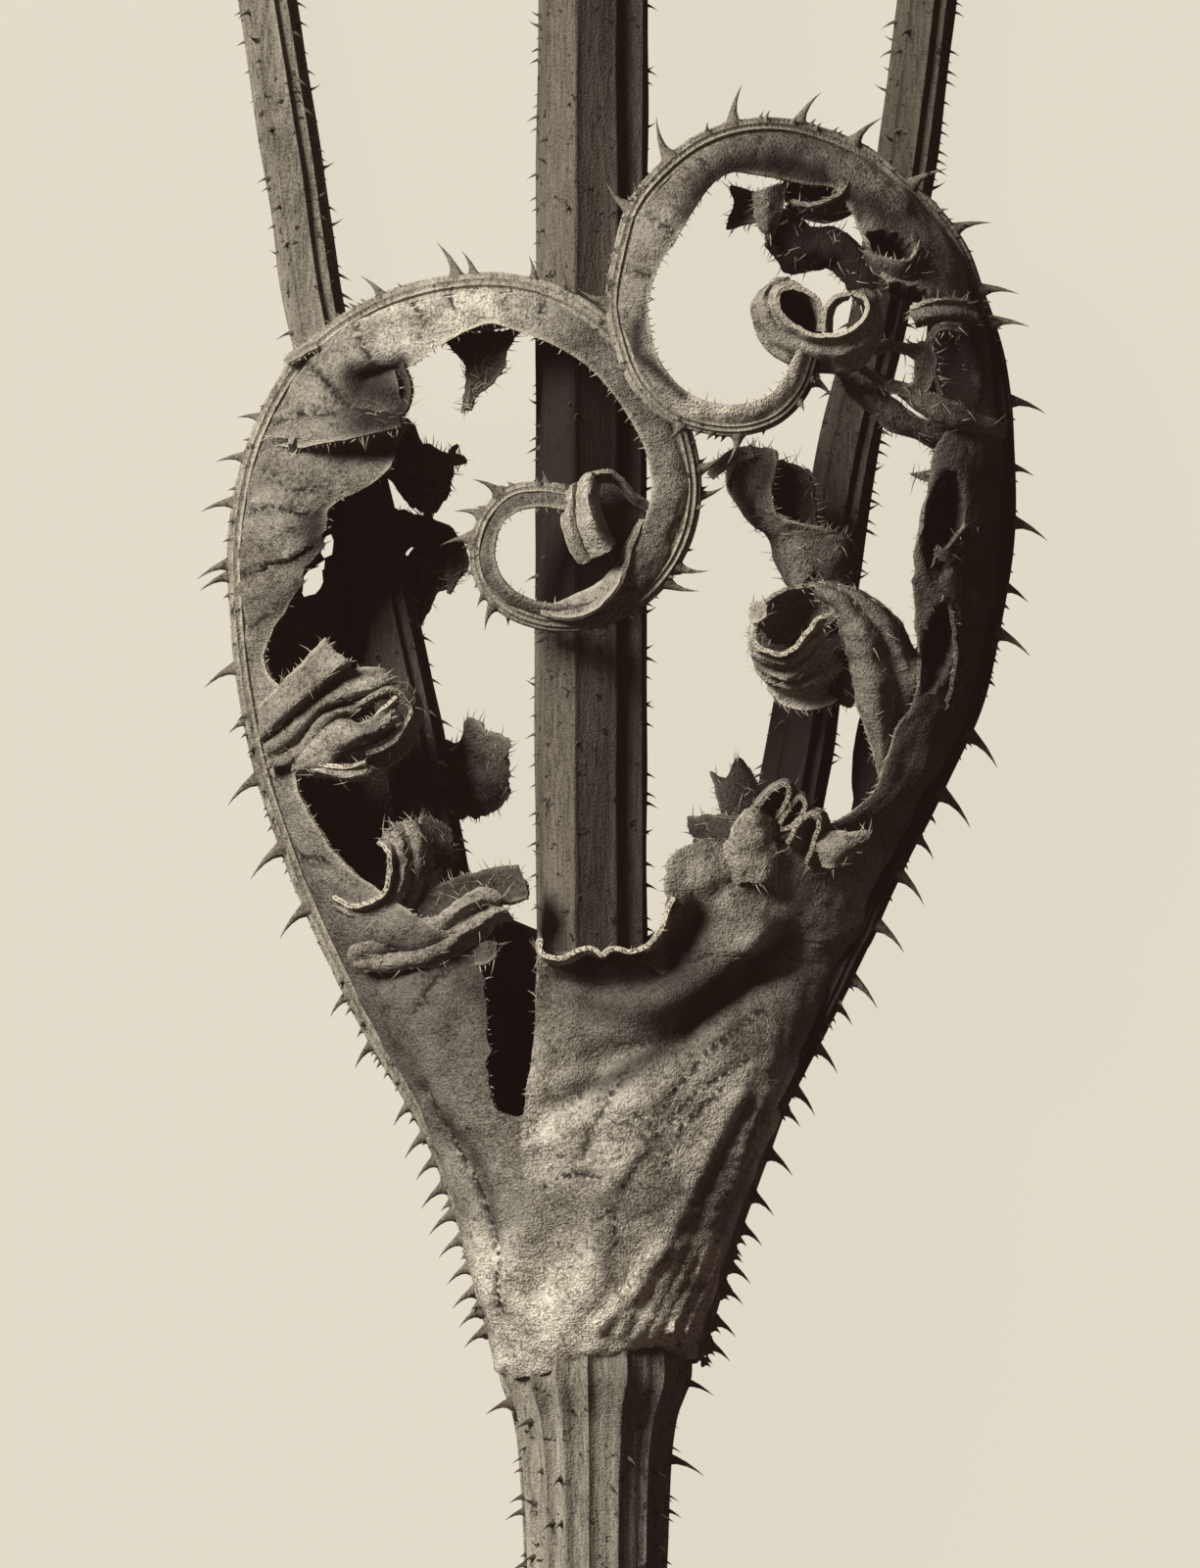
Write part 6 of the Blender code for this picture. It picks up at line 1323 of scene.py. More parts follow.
RIGHT_ROLLED = {
    "roll_arm": (0.28, 0.06, [
        [(11.4, 39.6, 3.6), (12.3, 38.9, 3.4), (12.8, 37.9, 3.0), (12.9, 36.9, 2.8), (13.3, 36.1, 2.6),
         (13.5, 35.2, 2.6), (13.7, 33.8, 2.6), (14.0, 32.5, 2.6), (14.5, 31.3, 2.4), (14.8, 30.3, 2.2)],
        [(11.4, 39.9, 4.2), (12.6, 39.3, 4.6), (13.4, 38.2, 4.7), (13.8, 37.0, 4.6), (14.1, 36.0, 4.4),
         (14.3, 35.0, 4.2), (14.5, 33.6, 3.9), (14.7, 32.3, 3.5), (14.8, 31.0, 3.0), (14.9, 30.0, 2.4)],
        [(11.6, 40.1, 3.8), (12.9, 39.6, 4.0), (13.8, 38.7, 3.9), (14.5, 37.7, 3.7), (15.0, 36.5, 3.4),
         (15.4, 35.5, 3.2), (15.5, 34.2, 3.0), (15.5, 32.6, 2.8), (15.3, 31.2, 2.6), (15.0, 29.9, 2.2)],
        [(11.8, 40.1, 3.2), (13.2, 39.8, 3.8), (14.3, 39.0, 4.0), (15.2, 37.9, 3.8), (15.9, 36.5, 3.4),
         (16.4, 35.2, 3.0), (16.5, 33.9, 2.6), (16.2, 32.6, 2.4), (15.7, 31.2, 2.2)],
        [(12.0, 40.0, 2.4), (13.4, 39.9, 2.6), (14.5, 39.2, 2.4), (15.7, 38.1, 2.0), (16.4, 36.9, 1.8),
         (17.1, 35.5, 1.6), (17.3, 33.7, 1.4), (17.0, 32.2, 1.4)],
    ]),
    "horn_bowl": (0.2, 0.05, [
        [(8.3, 38.0, 4.6), (8.7, 39.2, 4.4), (9.6, 39.8, 4.2), (10.6, 40.1, 4.0), (11.4, 40.0, 3.8),
         (12.1, 39.4, 3.8), (12.6, 38.5, 3.8)],
        [(8.7, 37.8, 3.4), (9.2, 38.6, 3.0), (9.8, 39.1, 2.8), (10.6, 39.4, 2.6), (11.3, 39.2, 2.6),
         (11.8, 38.7, 2.8), (12.1, 38.1, 3.2)],
        [(9.0, 37.4, 2.4), (9.4, 37.9, 2.0), (10.0, 38.2, 1.8), (10.6, 38.3, 1.8), (11.1, 38.2, 2.0),
         (11.5, 37.9, 2.2)],
        [(9.2, 36.6, 1.6), (9.8, 36.8, 1.4), (10.4, 37.0, 1.4), (11.0, 37.2, 1.6)],
    ]),
    "horn_windings": (0.6, 0.04, [
        [(8.3, 38.2, 4.7), (8.2, 37.6, 4.9), (8.3, 37.1, 5.0), (8.85, 36.75, 5.1), (9.6, 36.65, 5.1),
         (10.3, 36.95, 5.0), (11.0, 37.7, 4.8), (11.5, 38.3, 4.6), (12.0, 38.6, 4.4)],
        [(8.1, 38.0, 4.1), (8.05, 37.4, 4.2), (8.2, 36.85, 4.2), (8.85, 36.5, 4.2), (9.65, 36.4, 4.2),
         (10.45, 36.75, 4.1), (11.15, 37.4, 4.0), (11.7, 37.9, 3.9)],
        [(8.2, 37.4, 4.2), (8.25, 36.75, 4.3), (8.85, 36.3, 4.4), (9.7, 36.15, 4.4), (10.55, 36.6, 4.3),
         (11.3, 37.3, 4.1), (11.8, 37.7, 3.9)],
        [(8.2, 37.0, 3.5), (8.3, 36.4, 3.5), (8.9, 36.0, 3.5), (9.8, 35.85, 3.5), (10.6, 36.25, 3.4),
         (11.3, 37.0, 3.2), (11.8, 37.4, 3.2)],
        [(8.3, 36.6, 3.6), (8.4, 36.1, 3.7), (9.1, 35.6, 3.8), (9.95, 35.4, 3.8), (10.7, 35.8, 3.6),
         (11.4, 36.6, 3.3), (11.9, 37.2, 3.1)],
        [(8.4, 36.2, 2.8), (8.6, 35.7, 2.8), (9.3, 35.3, 2.8), (10.1, 35.2, 2.8), (10.9, 35.5, 2.7),
         (11.7, 36.1, 2.6), (12.3, 36.6, 2.5)],
        [(8.5, 35.9, 3.0), (8.8, 35.4, 3.1), (9.5, 35.05, 3.1), (10.4, 34.95, 3.1), (11.3, 35.15, 2.9),
         (12.1, 35.5, 2.7), (12.9, 36.0, 2.5)],
        [(8.8, 35.3, 1.9), (9.3, 34.8, 1.9), (10.1, 34.5, 1.9), (11.1, 34.6, 1.8), (12.0, 34.9, 1.7),
         (12.9, 35.3, 1.7)],
        [(9.0, 34.9, 1.8), (9.6, 34.1, 1.8), (10.4, 33.8, 1.8), (11.3, 33.8, 1.7), (12.3, 34.1, 1.5),
         (13.0, 34.6, 1.4)],
    ]),
    "shade_behind_the_horn": (0.0, 0.1, [
        [(11.0, 39.5, 2.0), (11.2, 37.2, 1.8), (11.3, 35.4, 1.6), (11.3, 34.3, 1.2)],
        [(12.6, 39.2, 2.5), (12.6, 37.2, 2.3), (12.6, 35.5, 2.0), (12.4, 34.2, 1.3)],
        [(13.7, 38.0, 2.6), (13.7, 36.2, 2.4), (13.6, 34.9, 2.1), (13.3, 33.9, 1.5)],
    ]),
    "floor_of_the_horn": (0.16, 0.05, [
        [(8.2, 38.2, 2.6), (8.2, 37.3, 2.4), (8.6, 36.5, 2.2)],
        [(9.4, 39.2, 2.3), (9.4, 38.0, 2.1), (9.5, 36.6, 2.1)],
        [(10.6, 39.6, 2.2), (10.6, 38.4, 2.0), (10.6, 37.0, 2.0)],
        [(11.8, 39.0, 2.6), (11.7, 38.2, 2.4), (11.5, 37.4, 2.4)],
    ]),
    "horn_tab": (0.4, 0.08, [
        [(8.1, 39.2, 4.7), (8.5, 39.3, 4.9), (8.9, 39.1, 4.9)],
        [(8.0, 38.3, 4.9), (8.4, 38.2, 5.1), (8.9, 38.5, 5.1)],
    ]),
    "lobe_by_the_shoot": (0.25, 0.12, [
        [(7.9, 47.1, 1.2), (7.1, 46.1, 0.8), (7.1, 45.1, 0.8), (7.6, 44.2, 0.8), (8.3, 43.4, 0.8),
         (9.0, 42.5, 0.8), (9.3, 41.4, 0.8), (10.0, 40.2, 0.8)],
        [(8.6, 47.2, 2.2), (8.0, 46.2, 2.3), (8.0, 45.2, 2.4), (8.5, 44.2, 2.4), (9.2, 43.3, 2.3),
         (9.9, 42.4, 2.2), (10.2, 41.4, 2.2), (10.7, 40.3, 2.0)],
        [(9.4, 47.0, 2.6), (9.5, 46.3, 2.7), (9.2, 45.2, 2.9), (9.3, 44.1, 2.9), (9.8, 43.5, 2.8),
         (10.6, 43.2, 2.7), (11.9, 43.0, 2.4), (13.0, 42.6, 1.6)],
    ]),
    "torn_inner_wall": (0.03, 0.25, [
        [(9.5, 46.4, 1.2), (9.3, 45.2, 1.2), (9.3, 44.0, 1.2), (9.6, 43.0, 1.2)],
        [(10.4, 46.3, 1.4), (10.3, 45.2, 1.2), (10.3, 44.0, 1.2), (10.5, 42.9, 1.2)],
        [(11.0, 45.9, 1.8), (11.4, 45.0, 1.6), (11.4, 44.0, 1.6), (11.6, 42.8, 1.6)],
    ]),
    "wrap_of_the_shoot": (0.1, 0.15, [
        [(10.4, 43.0, 1.9), (11.4, 42.8, 2.2), (12.6, 42.6, 2.0), (13.4, 42.2, 1.0)],
        [(9.8, 41.4, 1.4), (11.2, 41.6, 2.2), (12.5, 41.6, 2.4), (13.5, 41.4, 1.2)],
        [(10.2, 40.2, 1.2), (11.4, 40.2, 1.6), (12.6, 40.3, 1.6), (13.5, 40.2, 0.8)],
    ]),
    "first_small_loop": (0.3, 0.04, [
        [(9.2, 28.2, 4.6), (9.5, 28.5, 5.2), (9.9, 29.1, 5.8), (10.05, 29.75, 6.0), (9.8, 30.0, 6.1),
         (9.4, 29.8, 6.1), (8.85, 29.4, 6.0), (8.5, 28.9, 5.8), (8.3, 28.2, 5.4)],
        [(9.4, 27.8, 4.0), (9.8, 28.3, 4.4), (10.2, 29.0, 4.8), (10.3, 29.7, 5.0), (9.9, 30.1, 5.0),
         (9.3, 29.9, 5.0), (8.8, 29.5, 5.0), (8.4, 28.9, 4.8), (8.2, 28.0, 4.6)],
        [(9.6, 26.6, 2.8), (10.0, 27.2, 3.2), (10.3, 27.8, 3.6), (10.3, 28.4, 3.8), (9.9, 28.6, 3.8),
         (9.4, 28.6, 3.8), (9.0, 28.2, 3.8), (8.8, 27.4, 3.6), (8.8, 26.6, 3.4)],
    ]),
    "second_small_loop": (0.3, 0.04, [
        [(9.6, 28.0, 5.2), (10.05, 28.8, 5.6), (10.55, 29.25, 5.8), (10.85, 28.9, 5.8), (10.65, 28.4, 5.6),
         (10.05, 27.8, 5.2), (9.6, 27.6, 4.8)],
        [(9.6, 28.2, 4.2), (10.0, 29.0, 4.4), (10.6, 29.5, 4.6), (11.1, 29.0, 4.6), (10.9, 28.3, 4.5),
         (10.3, 27.6, 4.2), (9.8, 27.2, 4.0)],
        [(9.8, 27.0, 2.8), (10.2, 27.4, 3.0), (10.8, 27.8, 3.2), (11.3, 27.4, 3.2), (11.1, 26.8, 3.2),
         (10.6, 26.2, 3.0), (10.2, 25.9, 2.8)],
    ]),
    "last_small_loop": (0.32, 0.04, [
        [(9.9, 27.0, 4.8), (10.3, 27.7, 5.4), (10.8, 28.3, 5.8), (11.3, 28.5, 5.9), (11.6, 28.3, 5.8),
         (11.5, 27.7, 5.5), (11.2, 26.7, 4.9), (11.0, 25.9, 4.2)],
        [(10.1, 26.7, 4.0), (10.5, 27.4, 4.4), (10.9, 28.2, 4.8), (11.3, 28.7, 4.9), (11.9, 28.4, 4.8),
         (11.8, 27.6, 4.5), (11.5, 26.6, 3.9), (11.2, 25.7, 3.4)],
        [(10.4, 25.8, 2.8), (10.8, 26.4, 3.0), (11.2, 27.0, 3.2), (11.7, 27.4, 3.2), (12.2, 27.1, 3.2),
         (12.1, 26.4, 3.0), (11.9, 25.6, 2.8), (11.6, 24.8, 2.6)],
    ]),
}
# Each leaf's tip is wound into a band with lengthwise ridges.
LEFT_TIP = {
    "band": (0.6, 0.03, [
        [(-1.3, 44.8, 5.4), (-1.4, 43.9, 5.5), (-1.35, 43.0, 5.6), (-1.1, 42.1, 5.6), (-0.6, 41.3, 5.5)],
        [(-1.0, 45.2, 6.4), (-1.1, 44.2, 6.6), (-1.05, 43.1, 6.7), (-0.75, 42.1, 6.7), (-0.3, 41.3, 6.3)],
        [(-0.65, 45.4, 6.3), (-0.8, 44.4, 6.4), (-0.75, 43.4, 6.5), (-0.4, 42.3, 6.5), (0.0, 41.5, 6.2)],
        [(-0.3, 45.7, 7.1), (-0.4, 44.6, 7.4), (-0.3, 43.5, 7.5), (0.0, 42.5, 7.4), (0.5, 41.7, 7.0)],
        [(0.05, 45.8, 7.2), (-0.1, 44.7, 7.6), (0.0, 43.7, 7.7), (0.35, 42.8, 7.6), (0.9, 41.9, 7.1)],
        [(0.5, 45.5, 5.9), (0.3, 44.6, 6.0), (0.4, 43.8, 6.0), (0.7, 43.0, 6.0), (1.1, 42.2, 6.0)],
    ]),
    "hood": (0.2, 0.04, [
        [(0.05, 45.8, 7.2), (0.9, 45.95, 7.0), (1.6, 45.5, 6.6), (2.15, 44.8, 6.2), (2.9, 44.3, 5.6)],
        [(0.3, 45.4, 6.2), (0.9, 45.5, 6.0), (1.5, 45.1, 5.8), (2.0, 44.4, 5.6), (2.8, 43.9, 5.2)],
    ]),
    "inner_winding": (0.06, 0.04, [
        [(0.3, 45.3, 5.2), (0.3, 44.2, 5.3), (0.5, 43.0, 5.4), (0.9, 41.6, 5.4), (1.2, 40.8, 5.4)],
        [(1.4, 45.2, 5.0), (1.5, 44.0, 5.0), (1.6, 42.8, 5.0), (1.6, 41.6, 5.0), (1.6, 40.6, 5.0)],
        [(2.8, 44.3, 4.9), (2.6, 43.4, 4.9), (2.3, 42.4, 4.9), (2.1, 41.4, 4.9), (1.9, 40.6, 4.9)],
    ]),
    "inner_face_of_the_ring": (0.38, 0.03, [
        [(2.5, 43.5, 5.8), (2.0, 42.4, 6.2), (1.75, 41.4, 6.4), (1.4, 40.15, 6.5), (0.6, 39.1, 6.4),
         (-0.5, 38.5, 6.1), (-1.5, 38.4, 5.9), (-2.6, 38.7, 5.7)],
        [(2.4, 43.2, 5.3), (1.8, 42.2, 5.4), (1.4, 41.3, 5.4), (0.8, 40.5, 5.4), (0.0, 40.0, 5.4),
         (-0.9, 39.6, 5.3), (-1.7, 39.2, 5.3), (-2.6, 38.9, 5.3)],
    ]),
}
RIGHT_TIP = {
    "band": (0.45, 0.03, [
        [(10.8, 55.1, 7.9), (10.0, 55.3, 8.0), (9.5, 55.1, 8.1), (9.4, 54.5, 8.1), (9.6, 53.9, 8.1),
         (10.1, 53.3, 8.1), (10.85, 52.9, 8.1), (11.7, 52.8, 8.0), (12.55, 52.85, 8.0), (13.25, 53.15, 7.9),
         (13.75, 53.65, 7.8), (14.0, 54.25, 7.8), (13.75, 54.75, 7.8), (13.15, 54.95, 7.8)],
        [(10.2, 55.6, 7.3), (9.5, 55.5, 7.3), (9.0, 54.9, 7.3), (9.1, 54.2, 7.3), (9.4, 53.5, 7.3),
         (10.0, 52.9, 7.3), (10.85, 52.5, 7.3), (11.8, 52.4, 7.3), (12.8, 52.45, 7.2), (13.6, 52.9, 7.2),
         (14.1, 53.6, 7.1), (14.3, 54.4, 7.1), (13.7, 55.1, 7.1)],
        [(9.9, 55.7, 7.3), (9.2, 55.5, 7.4), (8.7, 54.8, 7.4), (8.75, 54.0, 7.4), (9.1, 53.1, 7.4),
         (9.8, 52.4, 7.4), (10.85, 52.0, 7.3), (11.9, 51.85, 7.3), (12.9, 51.95, 7.2), (13.8, 52.5, 7.0),
         (14.3, 53.4, 6.9), (14.4, 54.4, 6.9), (13.9, 55.1, 6.9)],
        [(9.7, 55.6, 6.5), (8.9, 55.4, 6.6), (8.45, 54.6, 6.6), (8.5, 53.6, 6.6), (8.9, 52.7, 6.6),
         (9.7, 51.95, 6.6), (10.8, 51.5, 6.5), (12.0, 51.35, 6.4), (13.1, 51.45, 6.3), (14.0, 52.1, 6.2),
         (14.5, 53.1, 6.2), (14.5, 54.2, 6.2), (14.1, 55.0, 6.2)],
        [(9.6, 55.5, 6.3), (8.7, 55.2, 6.4), (8.25, 54.3, 6.4), (8.3, 53.3, 6.4), (8.7, 52.4, 6.4),
         (9.6, 51.6, 6.4), (10.8, 51.15, 6.2), (12.1, 50.95, 6.0), (13.3, 51.1, 5.9), (14.2, 51.8, 5.8),
         (14.6, 52.8, 5.8), (14.6, 53.9, 5.8), (14.2, 54.8, 5.8)],
        [(9.7, 55.2, 5.5), (9.0, 55.0, 5.5), (8.6, 54.2, 5.5), (8.7, 53.4, 5.5), (9.1, 52.6, 5.5),
         (9.8, 51.9, 5.5), (10.9, 51.5, 5.4), (12.1, 51.3, 5.3), (13.2, 51.5, 5.2), (13.9, 52.1, 5.1),
         (14.2, 53.0, 5.1), (14.2, 53.8, 5.1), (13.9, 54.5, 5.1)],
    ]),
    "first_rolled_end": (0.3, 0.02, [
        [(10.0, 55.3, 8.0), (10.85, 55.1, 8.0), (11.45, 54.6, 8.0), (11.65, 53.9, 7.9), (11.6, 53.0, 7.8)],
        [(10.0, 55.0, 6.2), (10.7, 54.8, 6.1), (11.2, 54.3, 6.0), (11.4, 53.7, 6.0), (11.4, 53.0, 6.0)],
    ]),
    "floor_of_the_first_roll": (0.03, 0.03, [
        [(9.4, 55.0, 5.8), (9.4, 54.2, 5.8), (9.8, 53.2, 5.8), (10.4, 52.7, 5.8)],
        [(10.6, 55.2, 5.6), (10.6, 54.2, 5.6), (10.8, 53.2, 5.6), (11.0, 52.6, 5.6)],
        [(11.3, 54.9, 5.8), (11.6, 54.2, 5.8), (11.7, 53.4, 5.8), (11.7, 52.8, 5.8)],
    ]),
    "second_rolled_end": (0.3, 0.02, [
        [(13.15, 54.95, 7.8), (12.4, 54.8, 7.9), (11.95, 54.35, 7.9), (11.75, 53.8, 7.9),
         (11.75, 53.0, 7.8)],
        [(13.0, 54.6, 6.6), (12.5, 54.4, 6.5), (12.2, 53.9, 6.4), (12.1, 53.4, 6.4), (12.1, 52.9, 6.4)],
    ]),
}
# Where the lobes stay in shade: the share of the tone that goes, its width and its points.
LOBE_SHADE = [
    (0.97, 1.7, [(-11.4, 48.5), (-10.0, 48.7)]), (0.6, 0.8, [(-11.6, 33.4), (-11.0, 32.2), (-12.0, 31.2)]),
    (0.6, 1.0, [(-6.4, 24.9), (-8.6, 25.8)]),
]


def line_length(line):
    """How long a line through points is."""
    return sum(math.dist(a, b) for a, b in zip(line, line[1:]))


def lobe_grid(tear, lines):
    """Points over a lobe, smoothly along its lines and from each line to the next, with ragged margins."""
    steps = max(4, round(max(line_length(line) for line in lines) / LOBE_SPACING))
    along = [profile([Vector(spot) for spot in line], steps) for line in lines]
    across = max(3, round(max(line_length(crossing) for crossing in zip(*along)) / LOBE_SPACING))
    grid = [profile(crossing, across) for crossing in zip(*along)]
    for row in grid:
        for edge, inner in ((0, 1), (-1, -2)):
            row[edge] = row[edge] + (row[edge] - row[inner]).normalized() * tear * ragged(row[edge], 0.8)
    for edge, inner in ((0, 1), (-1, -2)):
        for j, place in enumerate(grid[edge]):
            grid[edge][j] = place + (place - grid[inner][j]).normalized() * tear * 1.5 * ragged(place, 0.7)
    return grid


def shaded(tone):
    """A lobe's tone, given for each place on it, with the painted shade of LOBE_SHADE."""
    def value(i, j, place):
        return with_painted_shading(place.xy, tone, LOBE_SHADE)
    return value


lobe_grids = {}
for name, lobes in (
    ("left_torn_lobes", LEFT_TORN), ("left_rolled_lobes", LEFT_ROLLED), ("left_wound_tip", LEFT_TIP),
    ("right_torn_lobes", RIGHT_TORN), ("right_rolled_lobes", RIGHT_ROLLED), ("right_wound_tip", RIGHT_TIP),
):
    grids = [(lobe_grid(tear, lines), shaded(tone), False, None) for tone, tear, lines in lobes.values()]
    lobe_sheet, lobe_grids[name] = sheet(name, grids, leaf_skin, LOBE_CRUMPLE)
    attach(lobe_sheet, "root")

# Prickles. Stiff hooks stand along the back of each midrib and bend towards the root, with smaller ones
# between them and on the stem's and the shoots' ridges. Fine bristles fringe the torn margins, and soft
# hairs lie over the lobes. Each row of a shape is a height, the width there and how far it leans.
PRICKLE_SHAPE = [
    (-0.25, 1.15, 0.0), (0.0, 1.0, 0.0), (0.12, 0.66, 0.01), (0.3, 0.43, 0.05), (0.55, 0.26, 0.15),
    (0.8, 0.12, 0.3), (1.0, 0.015, 0.45),
]
PRICKLE_SIDES = 8
PRICKLE_FOOT = 0.5
SMALL_PRICKLES = 0.32
SUNK_FOOT = 0.97
BENT_DOWN = 0.85
SMALL_PRICKLE_SIDES = 6
BRISTLE_SHAPE = [(-0.15, 1.0, 0.0), (0.4, 0.7, 0.08), (1.0, 0.05, 0.3)]
BRISTLE_SIDES = 3
BRISTLE_RADIUS = 0.035
HAIR_RADIUS = 0.022
SPIKE_CREASE = 60
GRID_POINTS_PER_HAIR = 22

# The large prickles of the midribs: x and y of the foot, and the length.
LEFT_PRICKLES = [
    (-17.0, 48.75, 1.1), (-17.6, 46.6, 1.4), (-17.9, 44.5, 1.7), (-18.0, 41.1, 1.7), (-18.0, 40.6, 1.6),
    (-17.6, 36.1, 1.8), (-17.2, 33.3, 1.0), (-16.4, 30.6, 2.0), (-15.1, 27.0, 2.1), (-13.8, 24.0, 1.9),
    (-11.8, 19.6, 1.3), (-10.5, 17.0, 1.4), (-8.9, 13.8, 1.2), (-8.1, 12.3, 1.4), (-7.5, 11.0, 1.3),
    (-7.0, 9.5, 1.5), (-6.6, 8.2, 1.5), (-6.2, 6.8, 1.4), (-5.8, 5.4, 1.3), (-5.6, 4.3, 1.3),
    (-5.3, 3.2, 1.2), (-5.0, 2.1, 1.2), (-10.6, 54.4, 1.4), (-6.7, 55.4, 1.9), (-5.9, 55.4, 1.3),
    (-3.0, 55.1, 1.2), (-1.6, 54.6, 1.1), (4.6, 46.0, 1.6), (4.7, 44.7, 1.3), (3.7, 41.4, 1.5),
    (3.2, 40.7, 1.6), (-4.6, 39.4, 1.2), (-5.4, 42.2, 1.5), (-5.0, 43.3, 1.2), (-4.2, 44.2, 1.4),
]
RIGHT_PRICKLES = [
    (18.2, 58.0, 1.8), (19.4, 55.0, 1.8), (20.0, 53.3, 1.8), (20.8, 49.5, 1.9), (20.9, 46.2, 1.1),
    (21.0, 43.4, 1.9), (20.6, 40.0, 1.3), (20.2, 37.8, 1.9), (18.7, 32.7, 2.1), (17.2, 29.9, 2.2),
    (16.1, 27.6, 1.3), (15.2, 25.6, 1.9), (14.0, 23.0, 1.9), (12.7, 20.3, 1.9), (12.0, 18.9, 1.2),
    (11.0, 16.9, 1.6), (9.8, 14.5, 1.6), (9.4, 13.5, 1.1), (8.6, 11.4, 1.5), (7.8, 9.1, 1.3),
    (7.2, 7.5, 1.2), (6.6, 5.6, 1.2), (6.4, 4.4, 1.1), (5.9, 2.7, 1.2), (5.6, 1.6, 1.2), (16.0, 60.2, 1.9),
    (13.0, 62.0, 1.8), (10.4, 62.9, 1.8), (7.3, 62.8, 1.9), (4.3, 61.2, 2.0), (2.4, 59.0, 1.5),
    (1.3, 54.6, 1.5), (7.5, 48.6, 1.4), (4.8, 48.9, 1.0), (10.6, 50.8, 1.3),
]
# The larger prickles of the lower stem: -1 for its left side or 1 for its right, the height and the length.
LOWER_PRICKLES = [
    (-1, -1.6, 1.3), (-1, -4.95, 0.5), (-1, -6.35, 0.8), (-1, -7.1, 1.05), (-1, -9.3, 0.35),
    (-1, -9.8, 0.8), (1, -0.5, 1.6), (1, -3.2, 0.35), (1, -4.4, 2.0), (1, -6.4, 0.5), (1, -7.0, 1.0),
    (1, -7.4, 0.6), (1, -9.6, 0.6),
]


def spikes(name, spots, shape, sides, finish):
    """Many spikes as one mesh. A spot has its foot, the way out, the way it bends, length and radius."""
    work = bmesh.new()
    for foot, out, bend, length, radius in spots:
        out = out.normalized()
        across = out.cross(bend)
        across = across.normalized() if across.length > 0.01 else out.orthogonal().normalized()
        along = across.cross(out)
        rings = []
        for height, width, lean in shape:
            middle = foot + out * height * length + along * lean * length
            ring = []
            for k in range(sides):
                angle = 2 * math.pi * k / sides
                spread = across * math.cos(angle) + along * 1.35 * math.sin(angle)
                ring.append(work.verts.new(plant(middle + spread * radius * width)))
            rings.append(ring)
        for lower, upper in zip(rings, rings[1:]):
            for k in range(sides):
                n = (k + 1) % sides
                work.faces.new((lower[k], lower[n], upper[n], upper[k]))
        work.faces.new(rings[0][::-1])
        work.faces.new(rings[-1])
    bmesh.ops.recalc_face_normals(work, faces=work.faces)
    made = placed_mesh(name, work)
    made.data.materials.append(finish)
    smooth_skin(made, SPIKE_CREASE)
    return made


def foot_radius(length):
    """How thick a large prickle is at its foot."""
    return 0.13 + 0.13 * length


def rib_spots(stations, spots, draw):
    """The prickles of a midrib. Large ones at given spots, small ones at random between them."""
    rows = smooth_rows(stations, 0.3)
    made = []
    wanted = [(x, y, length, 0.25) for x, y, length in spots]
    for row in rows:
        if draw.random() < SMALL_PRICKLES:
            wanted.append((row[0], row[1], draw.uniform(0.25, 0.6), 0.9))
    for x, y, length, spread in wanted:
        i = min(range(len(rows)), key=lambda k: (rows[k][0] - x) ** 2 + (rows[k][1] - y) ** 2)
        here = Vector(rows[i][0:3])
        along = Vector(rows[min(i + 1, len(rows) - 1)][0:3]) - Vector(rows[max(i - 1, 0)][0:3])
        middle = (Vector(rows[i][3:6]) + Vector(rows[i][7:10])) / 2
        outward = here - middle
        outward.z = 0
        outward -= along * outward.dot(along) / along.length_squared
        outward = outward.normalized() + Vector((0, 0, draw.uniform(-spread, spread)))
        foot = here + outward.normalized() * PRICKLE_FOOT
        made.append((foot, outward, -along, length, foot_radius(length)))
    return made


def rod_spots(rows, first_y, last_y, count, faces, draw, longest):
    """Small prickles on a stem's ridges, at angles round it."""
    made = []
    for i in range(count):
        y = first_y + (last_y - first_y) * (i + draw.random()) / count
        row = min(rows, key=lambda r: abs(r[1] - y))
        angle = math.radians(draw.choice(faces) + draw.uniform(-9, 9))
        outward = Vector((math.cos(angle), 0, math.sin(angle)))
        length = draw.uniform(0.25, longest)
        bend = Vector((0, -1 if draw.random() < BENT_DOWN else 1, 0))
        foot = Vector(row[0:3]) + outward * row[3] * SUNK_FOOT
        made.append((foot, outward, bend, length, 0.10 + 0.09 * length))
    return made


def edge_spots(grid, columns_too, draw, spacing=0.34, longest=0.45):
    """Bristles along the margins of a grid of points: its first column alone, or all four of its sides."""
    edges = [([row[0] for row in grid], [row[1] for row in grid])]
    if columns_too:
        edges.append(([row[-1] for row in grid], [row[-2] for row in grid]))
        edges += [(grid[0], grid[1]), (grid[-1], grid[-2])]
    made = []
    for edge, inner in edges:
        gone = 0.0
        for i in range(1, len(edge) - 1):
            gone += (edge[i] - edge[i - 1]).length
            if gone < spacing * draw.uniform(0.4, 1.6):
                continue
            gone = 0.0
            out = (edge[i] - inner[i]).normalized()
            out += Vector([draw.uniform(-0.6, 0.6) for axis in range(3)])
            length = draw.uniform(0.12, longest) * (1.8 if draw.random() < 0.08 else 1)
            bend = Vector([draw.uniform(-1, 1) for axis in range(3)])
            made.append((edge[i], out, bend, length, BRISTLE_RADIUS))
    return made


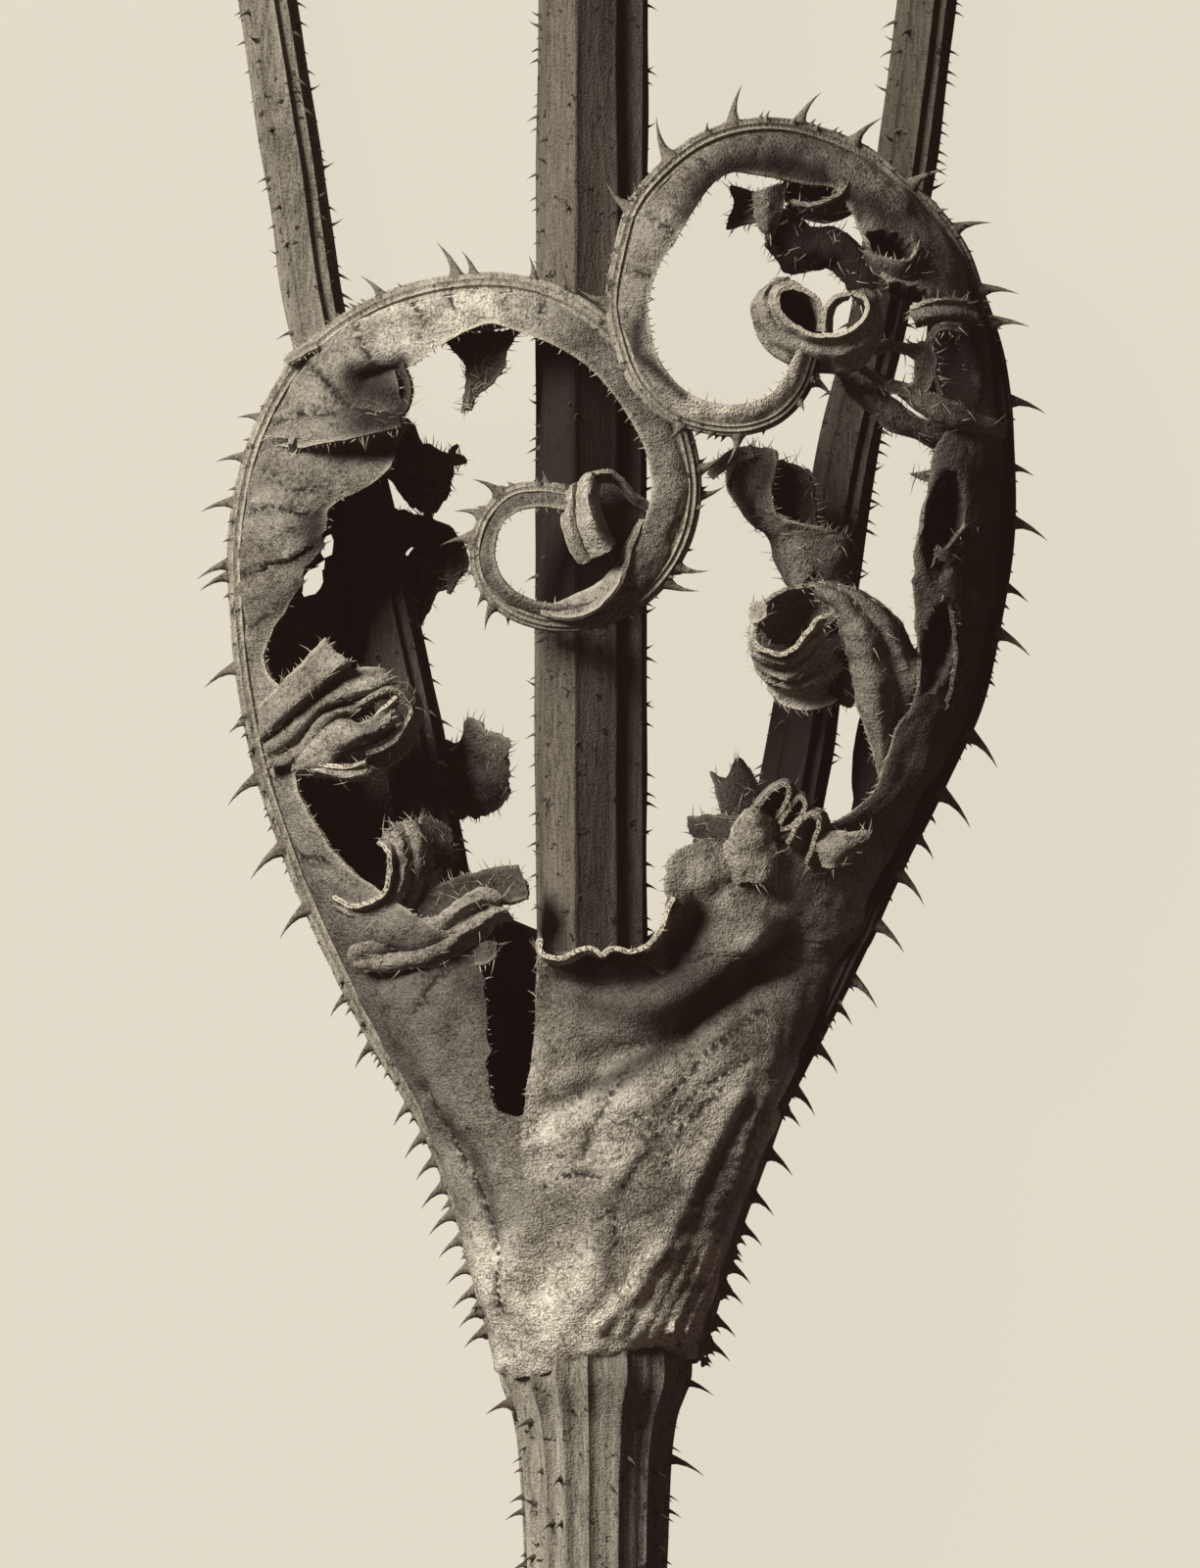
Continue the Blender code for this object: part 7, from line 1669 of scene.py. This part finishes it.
def felt_spots(grid, draw):
    """Soft hairs that lie over a grid of points."""
    made = []
    for hair in range(len(grid) * len(grid[0]) // GRID_POINTS_PER_HAIR):
        i, j = draw.randrange(1, len(grid) - 1), draw.randrange(1, len(grid[0]) - 1)
        along, across = grid[i + 1][j] - grid[i - 1][j], grid[i][j + 1] - grid[i][j - 1]
        up = along.cross(across).normalized()
        up *= 1 if up.z > 0 else -1
        lie = along.normalized() * draw.uniform(-1, 1) + across.normalized() * draw.uniform(-1, 1)
        made.append((grid[i][j] + up * 0.12, lie + up * 0.45, -up, draw.uniform(0.25, 0.9), HAIR_RADIUS))
    return made


# Prickles are the bark's own wood, pale on the midribs and dark on the stems. Bristles are pale hairs with
# a little more gloss.
prickle_finish = rod_finish("Dead teasel prickle", "#716b5e", "#332e26", "#1e1913", 2.0)
dark_prickle = rod_finish("Dead teasel stem prickle", "#564f42", "#29241c", "#1a1510", 2.0)
bristle_finish, bristle_tree, bristle_shader = material("Dead teasel bristle", 0.6, 0.3)
bristle_shader.inputs["Base Color"].default_value = linear("#8a8270")
draw = random.Random(11)
for side, stations, large, blade in (
    ("left", LEFT_LEAF, LEFT_PRICKLES, blade_grids[0]),
    ("right", RIGHT_LEAF, RIGHT_PRICKLES, blade_grids[1]),
):
    spots = rib_spots(stations, large, draw)
    rib_prickles = spikes(side + "_midrib_prickles", spots, PRICKLE_SHAPE, PRICKLE_SIDES, prickle_finish)
    fringe = edge_spots(blade, False, draw)
    for kind in ("_torn_lobes", "_rolled_lobes"):
        for grid in lobe_grids[side + kind]:
            fringe += edge_spots(grid, True, draw, 0.2, 0.7)
            fringe += felt_spots(grid, draw)
    bristles = spikes(side + "_bristles", fringe, BRISTLE_SHAPE, BRISTLE_SIDES, bristle_finish)
    for made in (rib_prickles, bristles):
        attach(made, "root")

# The angles of the ridges that the rods' prickles stand on. One that is named twice has twice as many.
UPPER_RIDGES = (4, 0, 111, 150, 186, 178, 182, 0)
LOWER_RIDGES = (0, 5, 22, 67, 112, 135, 157, 180)
LEFT_RIDGES = (12, 8, 50, 128, 176, 176, 5)
RIGHT_RIDGES = (12, 8, 5, 128, 176, 176, 5)

for name, line, first_y, last_y, count, faces, longest, packed in (
    ("upper_stem_prickles", upper_line, 22.5, 77.0, 150, UPPER_RIDGES, 0.75, "main_stem"),
    ("lower_stem_prickles", lower_line, -17.5, -1.0, 60, LOWER_RIDGES, 1.0, "main_stem"),
    ("left_shoot_prickles", left_line, 20.0, 77.0, 190, LEFT_RIDGES, 0.95, "left_shoot"),
    ("right_shoot_prickles", right_line, 20.0, 77.0, 190, RIGHT_RIDGES, 0.95, "right_shoot"),
):
    rows = smooth_rows(line, 0.5)
    spots = rod_spots(rows, first_y, last_y, count, faces, draw, longest)
    if name == "lower_stem_prickles":
        for side, y, length in LOWER_PRICKLES:
            row = min(rows, key=lambda r: abs(r[1] - y))
            outward = Vector((side, 0, 0.1))
            foot = Vector((row[0], y, row[2])) + outward * row[3]
            spots.append((foot, outward, Vector((0, -1, 0)), length, foot_radius(length)))
    rod_prickles = spikes(name, spots, PRICKLE_SHAPE, SMALL_PRICKLE_SIDES, dark_prickle)
    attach(rod_prickles, "root")
